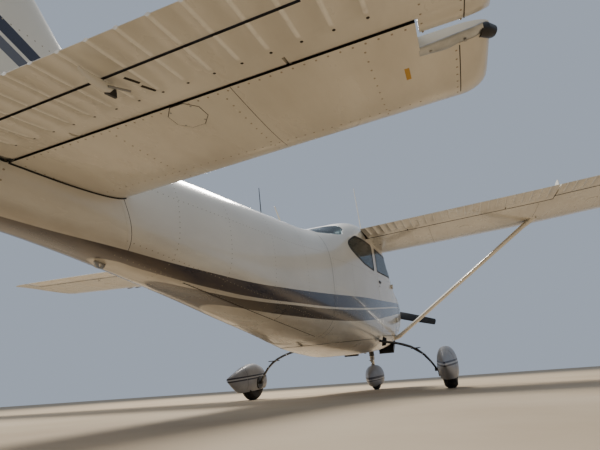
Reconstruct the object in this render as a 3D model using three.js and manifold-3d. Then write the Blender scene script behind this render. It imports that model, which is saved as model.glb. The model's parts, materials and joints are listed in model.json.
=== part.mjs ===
// A high-wing, strut-braced light aircraft with four seats and a fixed tricycle gear.
// Sizes are millimetres. The airframe is drawn level, then parked nose-up on its wheels.
// Level axes: +X to the port wing tip, +Y aft from the tip of the spinner, +Z up from
// the line where the main wheels touch the ground. Left is the pilot's left, +X.
import * as THREE from "three";
import { mergeVertices } from "three/addons/utils/BufferGeometryUtils.js";
import Module from "manifold-3d";

const wasm = await Module();
wasm.setup();

const { degToRad, lerp } = THREE.MathUtils;
const point = (x, y, z) => new THREE.Vector3(x, y, z);

// Fits
const SEAT = 0.3; // gap between two pieces that bear on each other
const RUN = 7; // clearance round a moving surface
const LUG = { wide: 8, ahead: 75, behind: 8, tall: 9 }; // fixed hinge lug
const LUG_SLOT = { wide: 9.6, ahead: 200, behind: 26, tall: 300 }; // its slot in the moving part
const PIN = 1; // clearance round an axle

// Stand
const PARK_ANGLE = degToRad(5); // nose-up angle of the airframe on its wheels
const MAIN_WHEEL = { x: 1275, y: 3043, radius: 212, width: 152, rim: 92 };
const NOSE_WHEEL = { x: 0, y: 1250, radius: 166, width: 120, rim: 68 };

// Fuselage
const COWL_END = 1480; // the firewall's front face
const CABIN_START = 1500;
const CABIN_END = 4480;
const TAIL_END = 7520; // beyond the rudder's hinge line, where the sternpost trims it
const TAIL_ROOM_END = 7200; // the tail cone is hollow up to the elevators' shaft
const WALL = 50; // thickness of a cabin side, a door and the roof
const COWL_WALL = 20;
const SKIN = 8; // thickness of the tail's skins
const WING_SKIN = 12;
const BELLY_SKIN = 12;
const GLASS = 8;
const ROOF_SPLIT = 1812; // height at which the sides meet the roof
const COWL_SPLIT = 1085;
const FLOOR = [
  [CABIN_START, 600],
  [3100, 600],
  [CABIN_END, 705],
]; // y, height of the cabin floor
const MAT = { half: 400, from: 1830, to: 2190, thick: 8 }; // raised floor panel under the pilots' feet
const TIE_DOWN = { y: 6690, long: 46, wide: 8, drop: 30 }; // lug under the tail
const WIDE = 900; // reach of a cutter past the side of the fuselage
const RING_SIDES = 32;

// Fuselage stations
const STATIONS = [
  // y, low, high, widest z, half width, upper power, lower power
  [400, 860, 1385, 1125, 300, 2.2, 2.2],
  [425, 800, 1410, 1120, 352, 2.3, 2.3],
  [500, 735, 1428, 1110, 405, 2.5, 2.4],
  [700, 665, 1448, 1090, 470, 2.8, 2.7],
  [1000, 598, 1470, 1070, 520, 3.1, 3.0],
  [1300, 552, 1488, 1060, 552, 3.3, 3.2],
  [1480, 530, 1500, 1060, 564, 3.4, 3.4],
  [1600, 512, 1568, 1080, 570, 3.5, 3.7],
  [1850, 485, 1748, 1120, 580, 4.0, 4.2],
  [2110, 466, 1925, 1160, 588, 5.0, 4.5],
  [2240, 460, 2035, 1170, 590, 6.4, 4.5],
  [2500, 455, 2060, 1180, 590, 7.0, 4.5],
  [3100, 458, 2060, 1180, 588, 7.0, 4.2],
  [3500, 500, 2028, 1180, 575, 6.2, 4.0],
  [3740, 530, 1960, 1175, 560, 5.4, 3.9],
  [4100, 580, 1828, 1170, 520, 4.2, 3.6],
  [4480, 645, 1750, 1165, 466, 2.9, 3.2],
  [5000, 745, 1720, 1165, 404, 2.5, 2.9],
  [5500, 838, 1694, 1180, 348, 2.4, 2.7],
  [6000, 935, 1664, 1210, 292, 2.4, 2.5],
  [6500, 1025, 1630, 1250, 236, 2.3, 2.4],
  [6740, 1066, 1612, 1272, 209, 2.3, 2.4],
  [7000, 1105, 1592, 1300, 188, 2.3, 2.4],
  [7250, 1132, 1572, 1325, 166, 2.3, 2.4],
  [7520, 1160, 1545, 1345, 120, 2.3, 2.4],
].map(([y, low, high, wide, half, upper, lower]) => ({
  y, low, high, wide, half, upper, lower,
}));

// Glazing and doors, as outlines in the side view
const WINDSHIELD = [
  [1512, 1492], [1560, 1478], [1890, 1428], [1925, 1500], [2010, 1812], [2035, 1838],
  [2111, 1838], [2111, 2200], [1400, 2200], [1400, 1500],
];
const REAR_WINDOW = [
  [3855, 2300], [3850, 1930], [3862, 1880], [3900, 1828], [4010, 1745], [4070, 1722],
  [4425, 1690], [4440, 1705], [4440, 2300],
];
const QUARTER_WINDOW = [
  [3110, 1442], [3560, 1470], [3800, 1525], [3930, 1572], [3978, 1610], [3975, 1640],
  [3930, 1678], [3760, 1758], [3700, 1775], [3110, 1775],
];
const DOOR = {
  outline: [
    [1945, 700], [2000, 642], [2930, 642], [2985, 700], [2985, 1770], [2950, 1800],
    [2060, 1800], [2020, 1780], [1945, 1490],
  ],
  window: [
    [1998, 1492], [2920, 1462], [2935, 1480], [2935, 1755], [2920, 1768], [2090, 1768],
    [2060, 1750],
  ],
  hinge: { x: 602, y: 1938, knuckles: [830, 1330], height: 34, radius: 9 },
};

// Wing: NACA 2412 section with washout on the tapered outer panel
const DIHEDRAL = 0.0302; // rise for each unit of span
const WING_ROOT = { x: 592, lead: 2115, trail: 3737, z: 1905, pitch: 2.36 };
const WING = [
  // x, leading edge y, trailing edge y, pitch in degrees, share of full thickness
  [500, 2115, 3737, 2.36, 1],
  [2540, 2115, 3737, 2.36, 1],
  [5270, 2395, 3535, -0.4, 1],
  [5400, 2412, 3518, -0.5, 0.86],
  [5470, 2450, 3470, -0.6, 0.6],
  [5500, 2520, 3400, -0.6, 0.28],
].map(([span, lead, trail, pitch, share]) => ({
  span, lead, trail, pitch, share,
  level: WING_ROOT.z + (span - WING_ROOT.x) * DIHEDRAL,
}));
const WING_FOIL = { thick: 0.12, camber: 0.02, peak: 0.4 };
const FLAP = { from: 612, to: 2686, tracks: [1100, 2200], half: 4, slotHalf: 4.9 };
const AILERON = { from: 2700, to: 5140, chord: 0.8, lugs: [3200, 4700] };
const FENCE = { x: 2880, from: 2300, to: 2900, top: 2228, thick: 6 };

// Tail
const STABILIZER = [
  // x, leading edge y, trailing edge y, share of full thickness
  [120, 6740, 7580, 1],
  [1687, 6831, 7546, 0.94],
  [1740, 6852, 7538, 0.8],
  [1764, 6895, 7516, 0.5],
].map(([span, lead, trail, share]) => ({
  span, lead, trail, share, pitch: 0, level: 1328,
}));
const TAIL_FOIL = { thick: 0.09, camber: 0, peak: 0.4 };
const ELEVATOR = {
  from: 200, to: 1584, hinge: 7256, hornFrom: 1592, hornLead: 7165, hornGap: 45, tubeRadius: 24,
  lugs: [500, 1250], level: 1328,
};
const ELEVATOR_DROOP = degToRad(10.5); // free controls let the elevators hang
const TRIM_TAB = { from: 330, to: 1360, hinge: 7450, side: 4, gap: 6, pin: 4, pinReach: 24 };
const FIN_TOP = 3090;
const FIN_HINGE = { y: 7300, z: 1130, slope: 0.4278 }; // y rises by slope for each unit up
const FIN = [
  // z, leading edge y, half thickness
  [1100, 5700, 26],
  [1590, 5740, 28],
  [1680, 6060, 32],
  [1760, 6420, 36],
  [1850, 6705, 42],
  [1950, 6872, 48],
  [2065, 6997, 50],
  [2500, 7402, 46],
  [2990, 7859, 38],
  [3060, 7935, 30],
  [3090, 8010, 18],
].map(([span, lead, half]) => ({
  span, lead, half, trail: 7735 + (span - FIN_HINGE.z) * 0.43,
}));
const RUDDER = { lugs: [1750, 2650], from: 1150, hornFrom: 2960, hornGap: 18, hornLead: 0.12 };

// Gear, propeller and engine
const LEG_PATH = [
  [430, 2985, 618], [560, 2998, 578], [740, 3008, 540], [890, 3015, 486], [1010, 3020, 404],
  [1090, 3023, 306], [1138, 3024, 228],
];
const LEG = { width: 76, depth: 30, endShare: 0.62, axleRadius: 19 };
const STEP = { x: 940, y: 3015, z: 462, across: 96, along: 150, thick: 8 };
const MAIN_FAIRING = [
  // y, low, high, half width
  [2700, 192, 262, 22], [2732, 136, 318, 62], [2805, 86, 384, 94], [2925, 60, 443, 109],
  [3043, 54, 462, 112], [3190, 64, 450, 108], [3400, 140, 396, 74], [3640, 285, 322, 10],
];
const NOSE_FAIRING = [
  // y from the axle, low and high from the axle, half width
  [-300, -30, 40, 26], [-270, -70, 96, 66], [-190, -105, 160, 108], [-80, -122, 206, 132],
  [40, -122, 216, 138], [150, -108, 206, 126], [270, -76, 170, 92], [380, -30, 120, 48],
  [440, 10, 84, 12],
];
const NOSE_STRUT = { top: [0, 1345, 640], barrelEnd: 0.42, barrel: 40, piston: 26 };
const STRUT = { foot: [560, 1878, 596], head: [2536, 2584, 1905], chord: 106, depth: 46 };
const COWL_FLAP = { inner: 165, outer: 415, front: 1240, back: 1500, drop: 395, plate: 10 };
const EXHAUST = [[76, 1150, 720], [76, 1290, 640], [76, 1380, 540], [76, 1440, 430]];
const THRUST_Z = 1150;
const PROPELLER = { y: 262, radius: 1075, rest: degToRad(197), steps: 7 };
const SPINNER = { length: 372, radius: 176 };
const ENGINE = { half: 350, front: 600, back: 1380, low: 885, high: 1290, mount: 15 };

// Inside the cabin
const PANEL = { y: 1765, low: 1000, high: 1392, thick: 25, shieldFront: 1560, shieldBack: 1800 };
const SEAT_OUTLINE = [
  [0, 0], [455, 0], [455, 215], [520, 860], [440, 885], [365, 315], [-20, 330], [-20, 230],
]; // y, z from the front foot of the seat
const SEATS = [
  ["seat_front_left", 45, 495, 2230],
  ["seat_front_right", -495, -45, 2230],
  ["seat_rear", -495, 495, 3150],
]; // name, x from, x to, y of the front foot
const BULKHEAD = { y: 4250, thick: 12 }; // wall behind the luggage

// Aerials: name, foot, tip, radius at the foot, foot disc radius, finish
const AERIALS = [
  ["aerial_tail_whip", [0, 4985, 1705], [0, 5005, 2040], 5, 26, "rubberBlack"],
  ["aerial_tail_blade", [0, 4500, 1740], [0, 4690, 1956], 9, 30, "white"],
  ["aerial_roof_whip", [-464, 2995, 2005], [-440, 3025, 2640], 7, 34, "white"],
];

const FINISH = {
  white: { color: "#dcd9d0", roughness: 0.35, metalness: 0 },
  grey: { color: "#8d9194", roughness: 0.5, metalness: 0.1 },
  glass: { color: "#39434a", roughness: 0.08, metalness: 0, opacity: 0.45, transparent: true },
  rubberBlack: { color: "#17171a", roughness: 0.85, metalness: 0 },
  metal: { color: "#a6a8aa", roughness: 0.4, metalness: 0.9 },
  darkMetal: { color: "#3b3a3a", roughness: 0.6, metalness: 0.7 },
  blade: { color: "#26282b", roughness: 0.5, metalness: 0.3 },
  cloth: { color: "#6d6a66", roughness: 0.9, metalness: 0 },
  panel: { color: "#2b2c2e", roughness: 0.7, metalness: 0 },
};

const airframe = new THREE.Group();

// A closed solid from a closed geometry.
function solid(geometry) {
  const bare = new THREE.BufferGeometry();
  bare.setAttribute("position", geometry.getAttribute("position"));
  if (geometry.index) bare.setIndex(geometry.index);
  const merged = mergeVertices(bare, 1e-3);
  return new wasm.Manifold(
    new wasm.Mesh({
      numProp: 3,
      vertProperties: new Float32Array(merged.getAttribute("position").array),
      triVerts: new Uint32Array(merged.index.array),
    }),
  );
}

// A geometry from a solid, with an optional matrix.
function geometryOf(made, matrix = new THREE.Matrix4()) {
  const mesh = made.getMesh();
  const vertices = new Float32Array(mesh.numVert * 3);
  for (let i = 0; i < mesh.numVert; i++)
    vertices.set(mesh.vertProperties.subarray(i * mesh.numProp, i * mesh.numProp + 3), i * 3);
  const index = Array.from(mesh.triVerts);
  if (matrix.determinant() < 0)
    for (let i = 0; i < index.length; i += 3)
      [index[i + 1], index[i + 2]] = [index[i + 2], index[i + 1]];
  const geometry = new THREE.BufferGeometry();
  geometry.setAttribute("position", new THREE.BufferAttribute(vertices, 3));
  geometry.setIndex(index);
  geometry.applyMatrix4(matrix);
  geometry.computeVertexNormals();
  return geometry;
}

// The same solid after a turn, a shift or a mirror.
const moved = (made, matrix) => solid(geometryOf(made, matrix));
const MIRROR = new THREE.Matrix4().makeScale(-1, 1, 1);

// Adds one named piece to the airframe.
function piece(name, finish, made) {
  const mesh = new THREE.Mesh(geometryOf(made), new THREE.MeshStandardMaterial(FINISH[finish]));
  mesh.name = name;
  airframe.add(mesh);
}

// Adds a port piece and its starboard mirror image.
function pair(name, finish, made) {
  piece(name + "_left", finish, made);
  piece(name + "_right", finish, moved(made, MIRROR));
}

const joined = (solids) => solids.reduce((all, next) => all.add(next));
const without = (made, cutters) => cutters.reduce((left, next) => left.subtract(next), made);

// A solid through rings of points. Each ring is a flat closed outline.
function loft(rings) {
  const count = rings[0].length;
  const corners = rings.flat();
  const index = [];
  for (let i = 0; i < rings.length - 1; i++)
    for (let j = 0; j < count; j++) {
      const a = i * count + j;
      const b = i * count + ((j + 1) % count);
      const [c, d] = [a + count, b + count];
      // The diagonals mirror each other across the middle plane.
      if (corners[a].x + corners[b].x >= 0) index.push(a, b, d, a, d, c);
      else index.push(a, b, c, b, d, c);
    }
  const first = capOf(rings[0]);
  const last = capOf(rings.at(-1)).map((corner) => corner + (rings.length - 1) * count);
  for (let i = 0; i < first.length; i += 3) index.push(first[i], first[i + 2], first[i + 1]);
  index.push(...last);
  let volume = 0;
  for (let i = 0; i < index.length; i += 3) {
    const [a, b, c] = [corners[index[i]], corners[index[i + 1]], corners[index[i + 2]]];
    volume += a.dot(new THREE.Vector3().crossVectors(b, c));
  }
  if (volume < 0) index.reverse();
  const geometry = new THREE.BufferGeometry();
  const positions = corners.flatMap((corner) => [corner.x, corner.y, corner.z]);
  geometry.setAttribute("position", new THREE.Float32BufferAttribute(positions, 3));
  geometry.setIndex(index);
  return solid(geometry);
}

// Triangles that fill a flat ring, each in the ring's own order.
function capOf(ring) {
  const area = new THREE.Vector3();
  ring.forEach((corner, i) =>
    area.add(new THREE.Vector3().crossVectors(corner, ring[(i + 1) % ring.length])),
  );
  const [x, y, z] = [Math.abs(area.x), Math.abs(area.y), Math.abs(area.z)];
  const flat = ring.map((corner) => {
    if (x >= y && x >= z) return new THREE.Vector2(corner.y, corner.z);
    return y >= z ? new THREE.Vector2(corner.x, corner.z) : new THREE.Vector2(corner.x, corner.y);
  });
  return THREE.ShapeUtils.triangulateShape(flat, []).flatMap((t) => [...t].sort((a, b) => a - b));
}

// A side-view outline of [y, z] corners, from one x to another.
const slab = (outline, from, to) =>
  loft([from, to].map((x) => outline.map(([y, z]) => point(x, y, z))));
const block = (x0, x1, y0, y1, z0, z1) => slab([[y0, z0], [y1, z0], [y1, z1], [y0, z1]], x0, x1);
const asPoint = ([x, y, z]) => point(x, y, z);

// A round or oval bar along a path, with a radius for each point.
function bar(path, radii, sides = 12) {
  const points = path.map(asPoint);
  return loft(
    points.map((center, i) => {
      const before = points[Math.max(i - 1, 0)];
      const after = points[Math.min(i + 1, points.length - 1)];
      const along = after.clone().sub(before).normalize();
      const guide = Math.abs(along.x) > 0.9 ? point(0, 1, 0) : point(1, 0, 0);
      const across = new THREE.Vector3().crossVectors(along, guide).normalize();
      const up = new THREE.Vector3().crossVectors(along, across);
      const radius = Array.isArray(radii) ? radii[i] : radii;
      return Array.from({ length: sides }, (_, k) => {
        const turn = (2 * Math.PI * k) / sides;
        return center
          .clone()
          .addScaledVector(across, radius * Math.cos(turn))
          .addScaledVector(up, radius * Math.sin(turn));
      });
    }),
  );
}

// A turned solid on an axle along X. The profile is [radius, x] corners.
function turned(profile, x, y, z, segments = 36) {
  const lathe = new THREE.LatheGeometry(
    profile.map(([radius, along]) => new THREE.Vector2(radius, along)),
    segments,
  );
  lathe.rotateZ(-Math.PI / 2).translate(x, y, z);
  const made = solid(lathe);
  if (made.volume() > 0) return made;
  lathe.index.array.reverse();
  return solid(lathe);
}

// A value of the fuselage table at y, on a smooth curve through the stations.
function stationValue(y, key) {
  const last = STATIONS.length - 1;
  let i = STATIONS.findIndex((station) => station.y >= y);
  i = Math.min(Math.max(i, 1), last);
  const slope = (k) => {
    const a = STATIONS[Math.max(k - 1, 0)];
    const b = STATIONS[Math.min(k + 1, last)];
    return (b[key] - a[key]) / (b.y - a.y);
  };
  const [from, to] = [STATIONS[i - 1], STATIONS[i]];
  const span = to.y - from.y;
  const t = (y - from.y) / span;
  return (
    (2 * t ** 3 - 3 * t ** 2 + 1) * from[key] +
    (t ** 3 - 2 * t ** 2 + t) * span * slope(i - 1) +
    (3 * t ** 2 - 2 * t ** 3) * to[key] +
    (t ** 3 - t ** 2) * span * slope(i)
  );
}

// One fuselage section at y, drawn in by an inset.
function hullRing(y, inset) {
  const [low, high, wide, half, upper, lower] = [
    "low", "high", "wide", "half", "upper", "lower",
  ].map((key) => stationValue(y, key));
  return Array.from({ length: RING_SIDES }, (_, k) => {
    const turn = (2 * Math.PI * (k + 0.5)) / RING_SIDES;
    const power = Math.sin(turn) > 0 ? upper : lower;
    const reach = Math.sin(turn) > 0 ? high - inset - wide : wide - low - inset;
    const x = Math.sign(Math.cos(turn)) * Math.abs(Math.cos(turn)) ** (2 / power);
    const z = Math.sign(Math.sin(turn)) * Math.abs(Math.sin(turn)) ** (2 / power);
    return point(x * (half - inset), y, wide + z * reach);
  });
}

// The fuselage between two stations, drawn in by an inset.
function hull(from, to, inset = 0) {
  const between = STATIONS.map(({ y }) => y).filter((y) => y > from + 20 && y < to - 20);
  return loft([from, ...between, to].map((y) => hullRing(y, inset)));
}
const hullSkin = hull(400, TAIL_END, -SEAT); // everything inside the outer surface

// Aerofoil height above the chord at u, on the upper (+1) or lower (-1) surface.
function foilHeight({ thick, camber, peak }, u, side) {
  const half =
    5 * thick *
    (0.2969 * Math.sqrt(u) - 0.126 * u - 0.3516 * u ** 2 + 0.2843 * u ** 3 - 0.1015 * u ** 4);
  const mean =
    u < peak
      ? (camber / peak ** 2) * (2 * peak * u - u ** 2)
      : (camber / (1 - peak) ** 2) * (1 - 2 * peak + 2 * peak * u - u ** 2);
  return mean + side * half;
}

// A lifting surface: sections interpolated from a table, laid flat or upright.
class Surface {
  // lay puts span, aft and up in space, drop lowers it, and rake is its hinge's slope.
  constructor(table, foil, lay, drop = 0, rake = 0) {
    Object.assign(this, { table, foil, lay, drop, rake });
  }
  section(span) {
    const last = this.table.length - 1;
    const i = Math.min(Math.max(this.table.findIndex((row) => row.span >= span), 1), last);
    const [a, b] = [this.table[i - 1], this.table[i]];
    const t = (span - a.span) / (b.span - a.span);
    return Object.fromEntries(Object.keys(a).map((key) => [key, lerp(a[key], b[key], t)]));
  }
  // The place at a share of the chord and a height above it, in units of the chord.
  at(span, u, v) {
    const { lead, trail, pitch = 0, level = 0 } = this.section(span);
    const [c, s, chord] = [Math.cos(degToRad(pitch)), Math.sin(degToRad(pitch)), trail - lead];
    const [aft, up] = [lead + chord * (u * c + v * s), level + chord * (v * c - u * s)];
    return this.lay(span, aft, up - this.drop);
  }
  height(span, u, side) {
    const { share = 1, half, lead, trail } = this.section(span);
    if (half !== undefined) {
      const full = foilHeight({ thick: 1, camber: 0, peak: 0.4 }, u, 1);
      return (side * full * 2 * half) / (trail - lead);
    }
    const mean = (foilHeight(this.foil, u, 1) + foilHeight(this.foil, u, -1)) / 2;
    return mean + share * (foilHeight(this.foil, u, side) - mean);
  }
  skin(span, u, side) {
    return this.at(span, u, this.height(span, u, side));
  }
  // Aft position of a place on the chord, as a share of it.
  share(span, aft) {
    const { lead, trail } = this.section(span);
    return (aft - lead) / (trail - lead);
  }
  spans(from, to) {
    const rows = this.table.map((row) => row.span).filter((s) => s > from + 1 && s < to - 1);
    return [from, ...rows, to];
  }
  whole(from, to, steps = 12) {
    const shares = Array.from({ length: steps }, (_, k) => {
      const turn = (Math.PI * (k + 1)) / steps;
      return (1 - Math.cos(turn)) / 2;
    });
    return loft(
      this.spans(from, to).map((span) => {
        return [
          ...shares.toReversed().map((u) => this.skin(span, u, 1)),
          this.skin(span, 0, 1),
          ...shares.map((u) => this.skin(span, u, -1)),
        ];
      }),
    );
  }
  // The room inside, from a share of the chord to what backAt gives for each span.
  room(from, to, front, backAt, wall) {
    return loft(
      this.spans(from, to).map((span) => {
        const { lead, trail } = this.section(span);
        const shares = [0, 0.12, 0.3, 0.6, 0.8, 1].map((t) => lerp(front, backAt(span), t));
        const side = (sign) =>
          shares.map((u) => this.at(span, u, this.height(span, u, sign) - (sign * wall) / (trail - lead)));
        return [...side(1).toReversed(), ...side(-1)];
      }),
    );
  }
  // Share of the chord at which the web ahead of a cove stands.
  web(span, hinge, wall) {
    const { lead, trail } = this.section(span);
    return hinge - this.nose(span, hinge).radius - (RUN + wall) / (trail - lead);
  }
  // Centre and radius, in units of the chord, of a round nose at a hinge.
  nose(span, hinge) {
    const [top, bottom] = [this.height(span, hinge, 1), this.height(span, hinge, -1)];
    return { middle: (top + bottom) / 2, radius: (top - bottom) / 2 };
  }
  // The moving part behind a hinge, with a round nose about it.
  flap(from, to, hingeAt) {
    return loft(
      this.spans(from, to).map((span) => {
        const hinge = hingeAt(span);
        const { middle, radius } = this.nose(span, hinge);
        const back = [1, 0.8, 0.55, 0.3, 0.1].map((t) => lerp(hinge, 1, t));
        const arc = [90, 115, 145, 180, 215, 245, 270].map(degToRad);
        return [
          ...back.map((u) => this.skin(span, u, 1)),
          ...arc.map((turn) =>
            this.at(span, hinge + radius * Math.cos(turn), middle + radius * Math.sin(turn)),
          ),
          ...back.toReversed().map((u) => this.skin(span, u, -1)),
        ];
      }),
    );
  }
  // A plate across the hinge line: a fixed lug, or the slot that it turns in.
  plate(span, hinge, { wide, ahead, behind, tall }) {
    const { lead, trail } = this.section(span);
    const { middle } = this.nose(span, hinge);
    const chord = trail - lead;
    const corners = [[-ahead, -tall], [behind, -tall], [behind, tall], [-ahead, tall]];
    return loft(
      [-wide / 2, wide / 2].map((side) =>
        corners.map(([aft, up]) =>
          this.at(span, hinge + aft / chord, middle + up / chord)
            .add(this.lay(side - aft * this.rake, side * this.rake, 0)),
        ),
      ),
    );
  }
  // What the fixed part loses: all behind the hinge, and a cove round the nose.
  cove(from, to, hingeAt, gap = RUN) {
    return loft(
      this.spans(from, to).map((span) => {
        const hinge = hingeAt(span);
        const { lead, trail } = this.section(span);
        const { middle, radius } = this.nose(span, hinge);
        const reach = radius + gap / (trail - lead);
        const arc = [90, 112, 134, 157, 180, 203, 226, 248, 270].map(degToRad);
        const tall = 300 / (trail - lead);
        return [
          this.at(span, 1.3, tall),
          this.at(span, hinge, tall),
          ...arc.map((turn) =>
            this.at(span, hinge + reach * Math.cos(turn), middle + reach * Math.sin(turn)),
          ),
          this.at(span, hinge, -tall),
          this.at(span, 1.3, -tall),
        ];
      }),
    );
  }
}
const level = (span, aft, up) => point(span, aft, up);
const upright = (span, aft, up) => point(up, aft, span);

// Cowl, firewall and engine
function buildNose() {
  const shell = hull(400, COWL_END - SEAT).subtract(hull(460, COWL_END + 40, COWL_WALL));
  const inlet = bar([[235, 380, 1165], [235, 620, 1165]], 74, 20);
  const shaft = bar([[0, 380, THRUST_Z], [0, 600, THRUST_Z]], 62, 20);
  const noseLeg = block(-105, 105, 1225, 1600, 300, 760);
  const flapBay = block(COWL_FLAP.inner, COWL_FLAP.outer, COWL_FLAP.front, 1600, 300, 640);
  const cuts = [inlet, moved(inlet, MIRROR), shaft];
  const bays = [noseLeg, flapBay, moved(flapBay, MIRROR)];
  const above = block(-WIDE, WIDE, 300, 1600, COWL_SPLIT + SEAT, 2000);
  const below = block(-WIDE, WIDE, 300, 1600, 0, COWL_SPLIT);
  piece("cowl_upper", "white", without(shell.intersect(above), cuts));
  piece("cowl_lower", "white", without(shell.intersect(below), [...cuts, ...bays]));
  piece("firewall", "metal", hull(COWL_END, CABIN_START - SEAT));

  const { half, front, back, low, high, mount } = ENGINE;
  const mounts = [-half + 40, half - 40].flatMap((x) =>
    [low + 60, high - 60].map((z) => bar([[x, back - 30, z], [x, COWL_END - SEAT, z]], mount, 8)),
  );
  const crank = bar([[0, PROPELLER.y + 100 + SEAT, THRUST_Z], [0, front + 20, THRUST_Z]], 34, 16);
  const core = block(-half, half, front, back, low, high);
  piece("engine_block", "darkMetal", joined([core, crank, ...mounts]));
  const [outletX, outletY] = EXHAUST[0];
  const outlet = block(outletX - 30, outletX + 30, outletY - 30, outletY + 50, 690, low - SEAT);
  piece("exhaust_pipe", "darkMetal", bar(EXHAUST, 26, 12).add(outlet));

  const { inner, outer, front: hinge, back: rear, drop, plate } = COWL_FLAP;
  const top = stationValue(hinge, "low") + 26;
  const profile = [[hinge + SEAT, top - 30], [rear, drop], [rear, drop + plate], [hinge + SEAT, top]];
  const cheek = [[hinge + 40, top - 30], [rear, drop + 4], [rear, drop + 75], [hinge + 40, top]];
  const flap = joined([
    slab(profile, inner + 8, outer - 8),
    slab(cheek, inner + 8, inner + 16),
    slab(cheek, outer - 16, outer - 8),
  ]);
  pair("cowl_flap", "darkMetal", flap);
}

// Cabin shell, glazing and doors
function buildCabin() {
  const outer = hull(CABIN_START, CABIN_END);
  const shell = outer.subtract(hull(CABIN_START - 10, CABIN_END + 10, WALL));
  const glass = outer.subtract(hull(CABIN_START - 10, CABIN_END + 10, GLASS));
  const [ahead, behind] = [CABIN_START - 100, CABIN_END + 60];
  const belowFloor = (raise) => {
    const top = [[ahead, FLOOR[0][1]], ...FLOOR.slice(1), [behind, FLOOR.at(-1)[1]]];
    return slab([[ahead, 0], ...top.map(([y, z]) => [y, z + raise]), [behind, 0]], -WIDE, WIDE);
  };
  const bellyRoom = hull(CABIN_START - 10, 4100, BELLY_SKIN).intersect(belowFloor(-BELLY_SKIN));
  const floorTop = FLOOR[0][1];
  const mat = block(-MAT.half, MAT.half, MAT.from, MAT.to, floorTop - 4, floorTop + MAT.thick);
  piece("belly", "white", outer.intersect(belowFloor(0)).subtract(bellyRoom).add(mat));

  const walls = shell.subtract(belowFloor(SEAT));
  const windshield = slab(WINDSHIELD, -WIDE, WIDE);
  const rearWindow = slab(REAR_WINDOW, -WIDE, WIDE);
  const quarter = slab(QUARTER_WINDOW, 0, WIDE);
  const doorway = slab(DOOR.outline, 0, WIDE);
  const sideRegion = block(0, WIDE, ahead, behind, 0, ROOF_SPLIT);
  const roofRegion = block(-WIDE, WIDE, ahead, behind, ROOF_SPLIT + SEAT, 3000);
  const glazing = [windshield, rearWindow];
  const side = without(walls.intersect(sideRegion), [...glazing, quarter, doorway]);
  piece("cabin_roof", "white", without(walls.intersect(roofRegion), glazing));

  const pane = (outline, from) => glass.intersect(slab(shrunk(outline, SEAT), from, WIDE));
  piece("windshield", "glass", pane(WINDSHIELD, -WIDE));
  piece("rear_window", "glass", pane(REAR_WINDOW, -WIDE));
  pair("quarter_window", "glass", pane(QUARTER_WINDOW, 0));

  const opening = slab(DOOR.window, 0, WIDE);
  const panel = shell.intersect(slab(shrunk(DOOR.outline, RUN - 1), 0, WIDE)).subtract(opening);
  const { x: pinX, y: pinY, knuckles, height, radius } = DOOR.hinge;
  // Half of each hinge rides on the door and half on the post ahead of it.
  const pin = (z) => bar([[pinX, pinY, z], [pinX, pinY, z + height]], radius, 12);
  const inner = pinX - 47;
  const doorKnuckle = (z) =>
    joined([
      pin(z),
      block(pinX - 8, pinX + 8, pinY, pinY + 44, z, z + height),
      block(inner, pinX, pinY + 22, pinY + 44, z, z + height),
    ]);
  const postKnuckle = (z) => pin(z).add(block(inner, pinX + 4, pinY - 24, pinY, z, z + height));
  const onPost = knuckles.map((z) => postKnuckle(z + height + SEAT));
  pair("door", "white", joined([panel, ...knuckles.map(doorKnuckle)]));
  pair("cabin_side", "white", joined([side, ...onPost]));
  pair("door_window", "glass", pane(DOOR.window, 0));

  const roomWithin = (margin) =>
    hull(CABIN_START - 10, CABIN_END + 10, WALL + margin).subtract(belowFloor(SEAT));
  const room = roomWithin(SEAT);
  const { y, low, high, thick, shieldFront, shieldBack } = PANEL;
  const board = block(-WIDE, WIDE, y - thick, y, low, high);
  const shield = slab([
    [shieldFront, high + 6], [shieldBack, high - 14], [shieldBack, high], [shieldFront, high + 26],
  ], -WIDE, WIDE);
  const stack = block(-110, 110, y - 200, y - 10, low - 180, low + 60);
  piece("instrument_panel", "panel", joined([board, shield, stack]).intersect(room));
  const seatRoom = roomWithin(RUN);
  for (const [name, from, to, foot] of SEATS) {
    const outline = SEAT_OUTLINE.map(([along, up]) => [foot + along, floorTop + up]);
    piece(name, "cloth", slab(outline, from, to).intersect(seatRoom));
  }
  const { y: wallY, thick: wallThick } = BULKHEAD;
  piece("baggage_bulkhead", "cloth",
    block(-WIDE, WIDE, wallY, wallY + wallThick, 0, 3000).intersect(room));
}

// A side-view outline drawn in by a margin, corner by corner.
function shrunk(outline, margin) {
  const corners = outline.map(([y, z]) => new THREE.Vector2(y, z));
  const turn = Math.sign(THREE.ShapeUtils.area(corners));
  return corners.map((corner, i) => {
    const before = corner.clone().sub(corners.at(i - 1)).normalize();
    const after = corners[(i + 1) % corners.length].clone().sub(corner).normalize();
    const inward = [before, after].map(({ x, y }) => new THREE.Vector2(-y, x).multiplyScalar(turn));
    const middle = inward[0].clone().add(inward[1]).normalize();
    const drawn = corner.clone().addScaledVector(middle, margin / middle.dot(inward[0]));
    return [drawn.x, drawn.y];
  });
}

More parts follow.
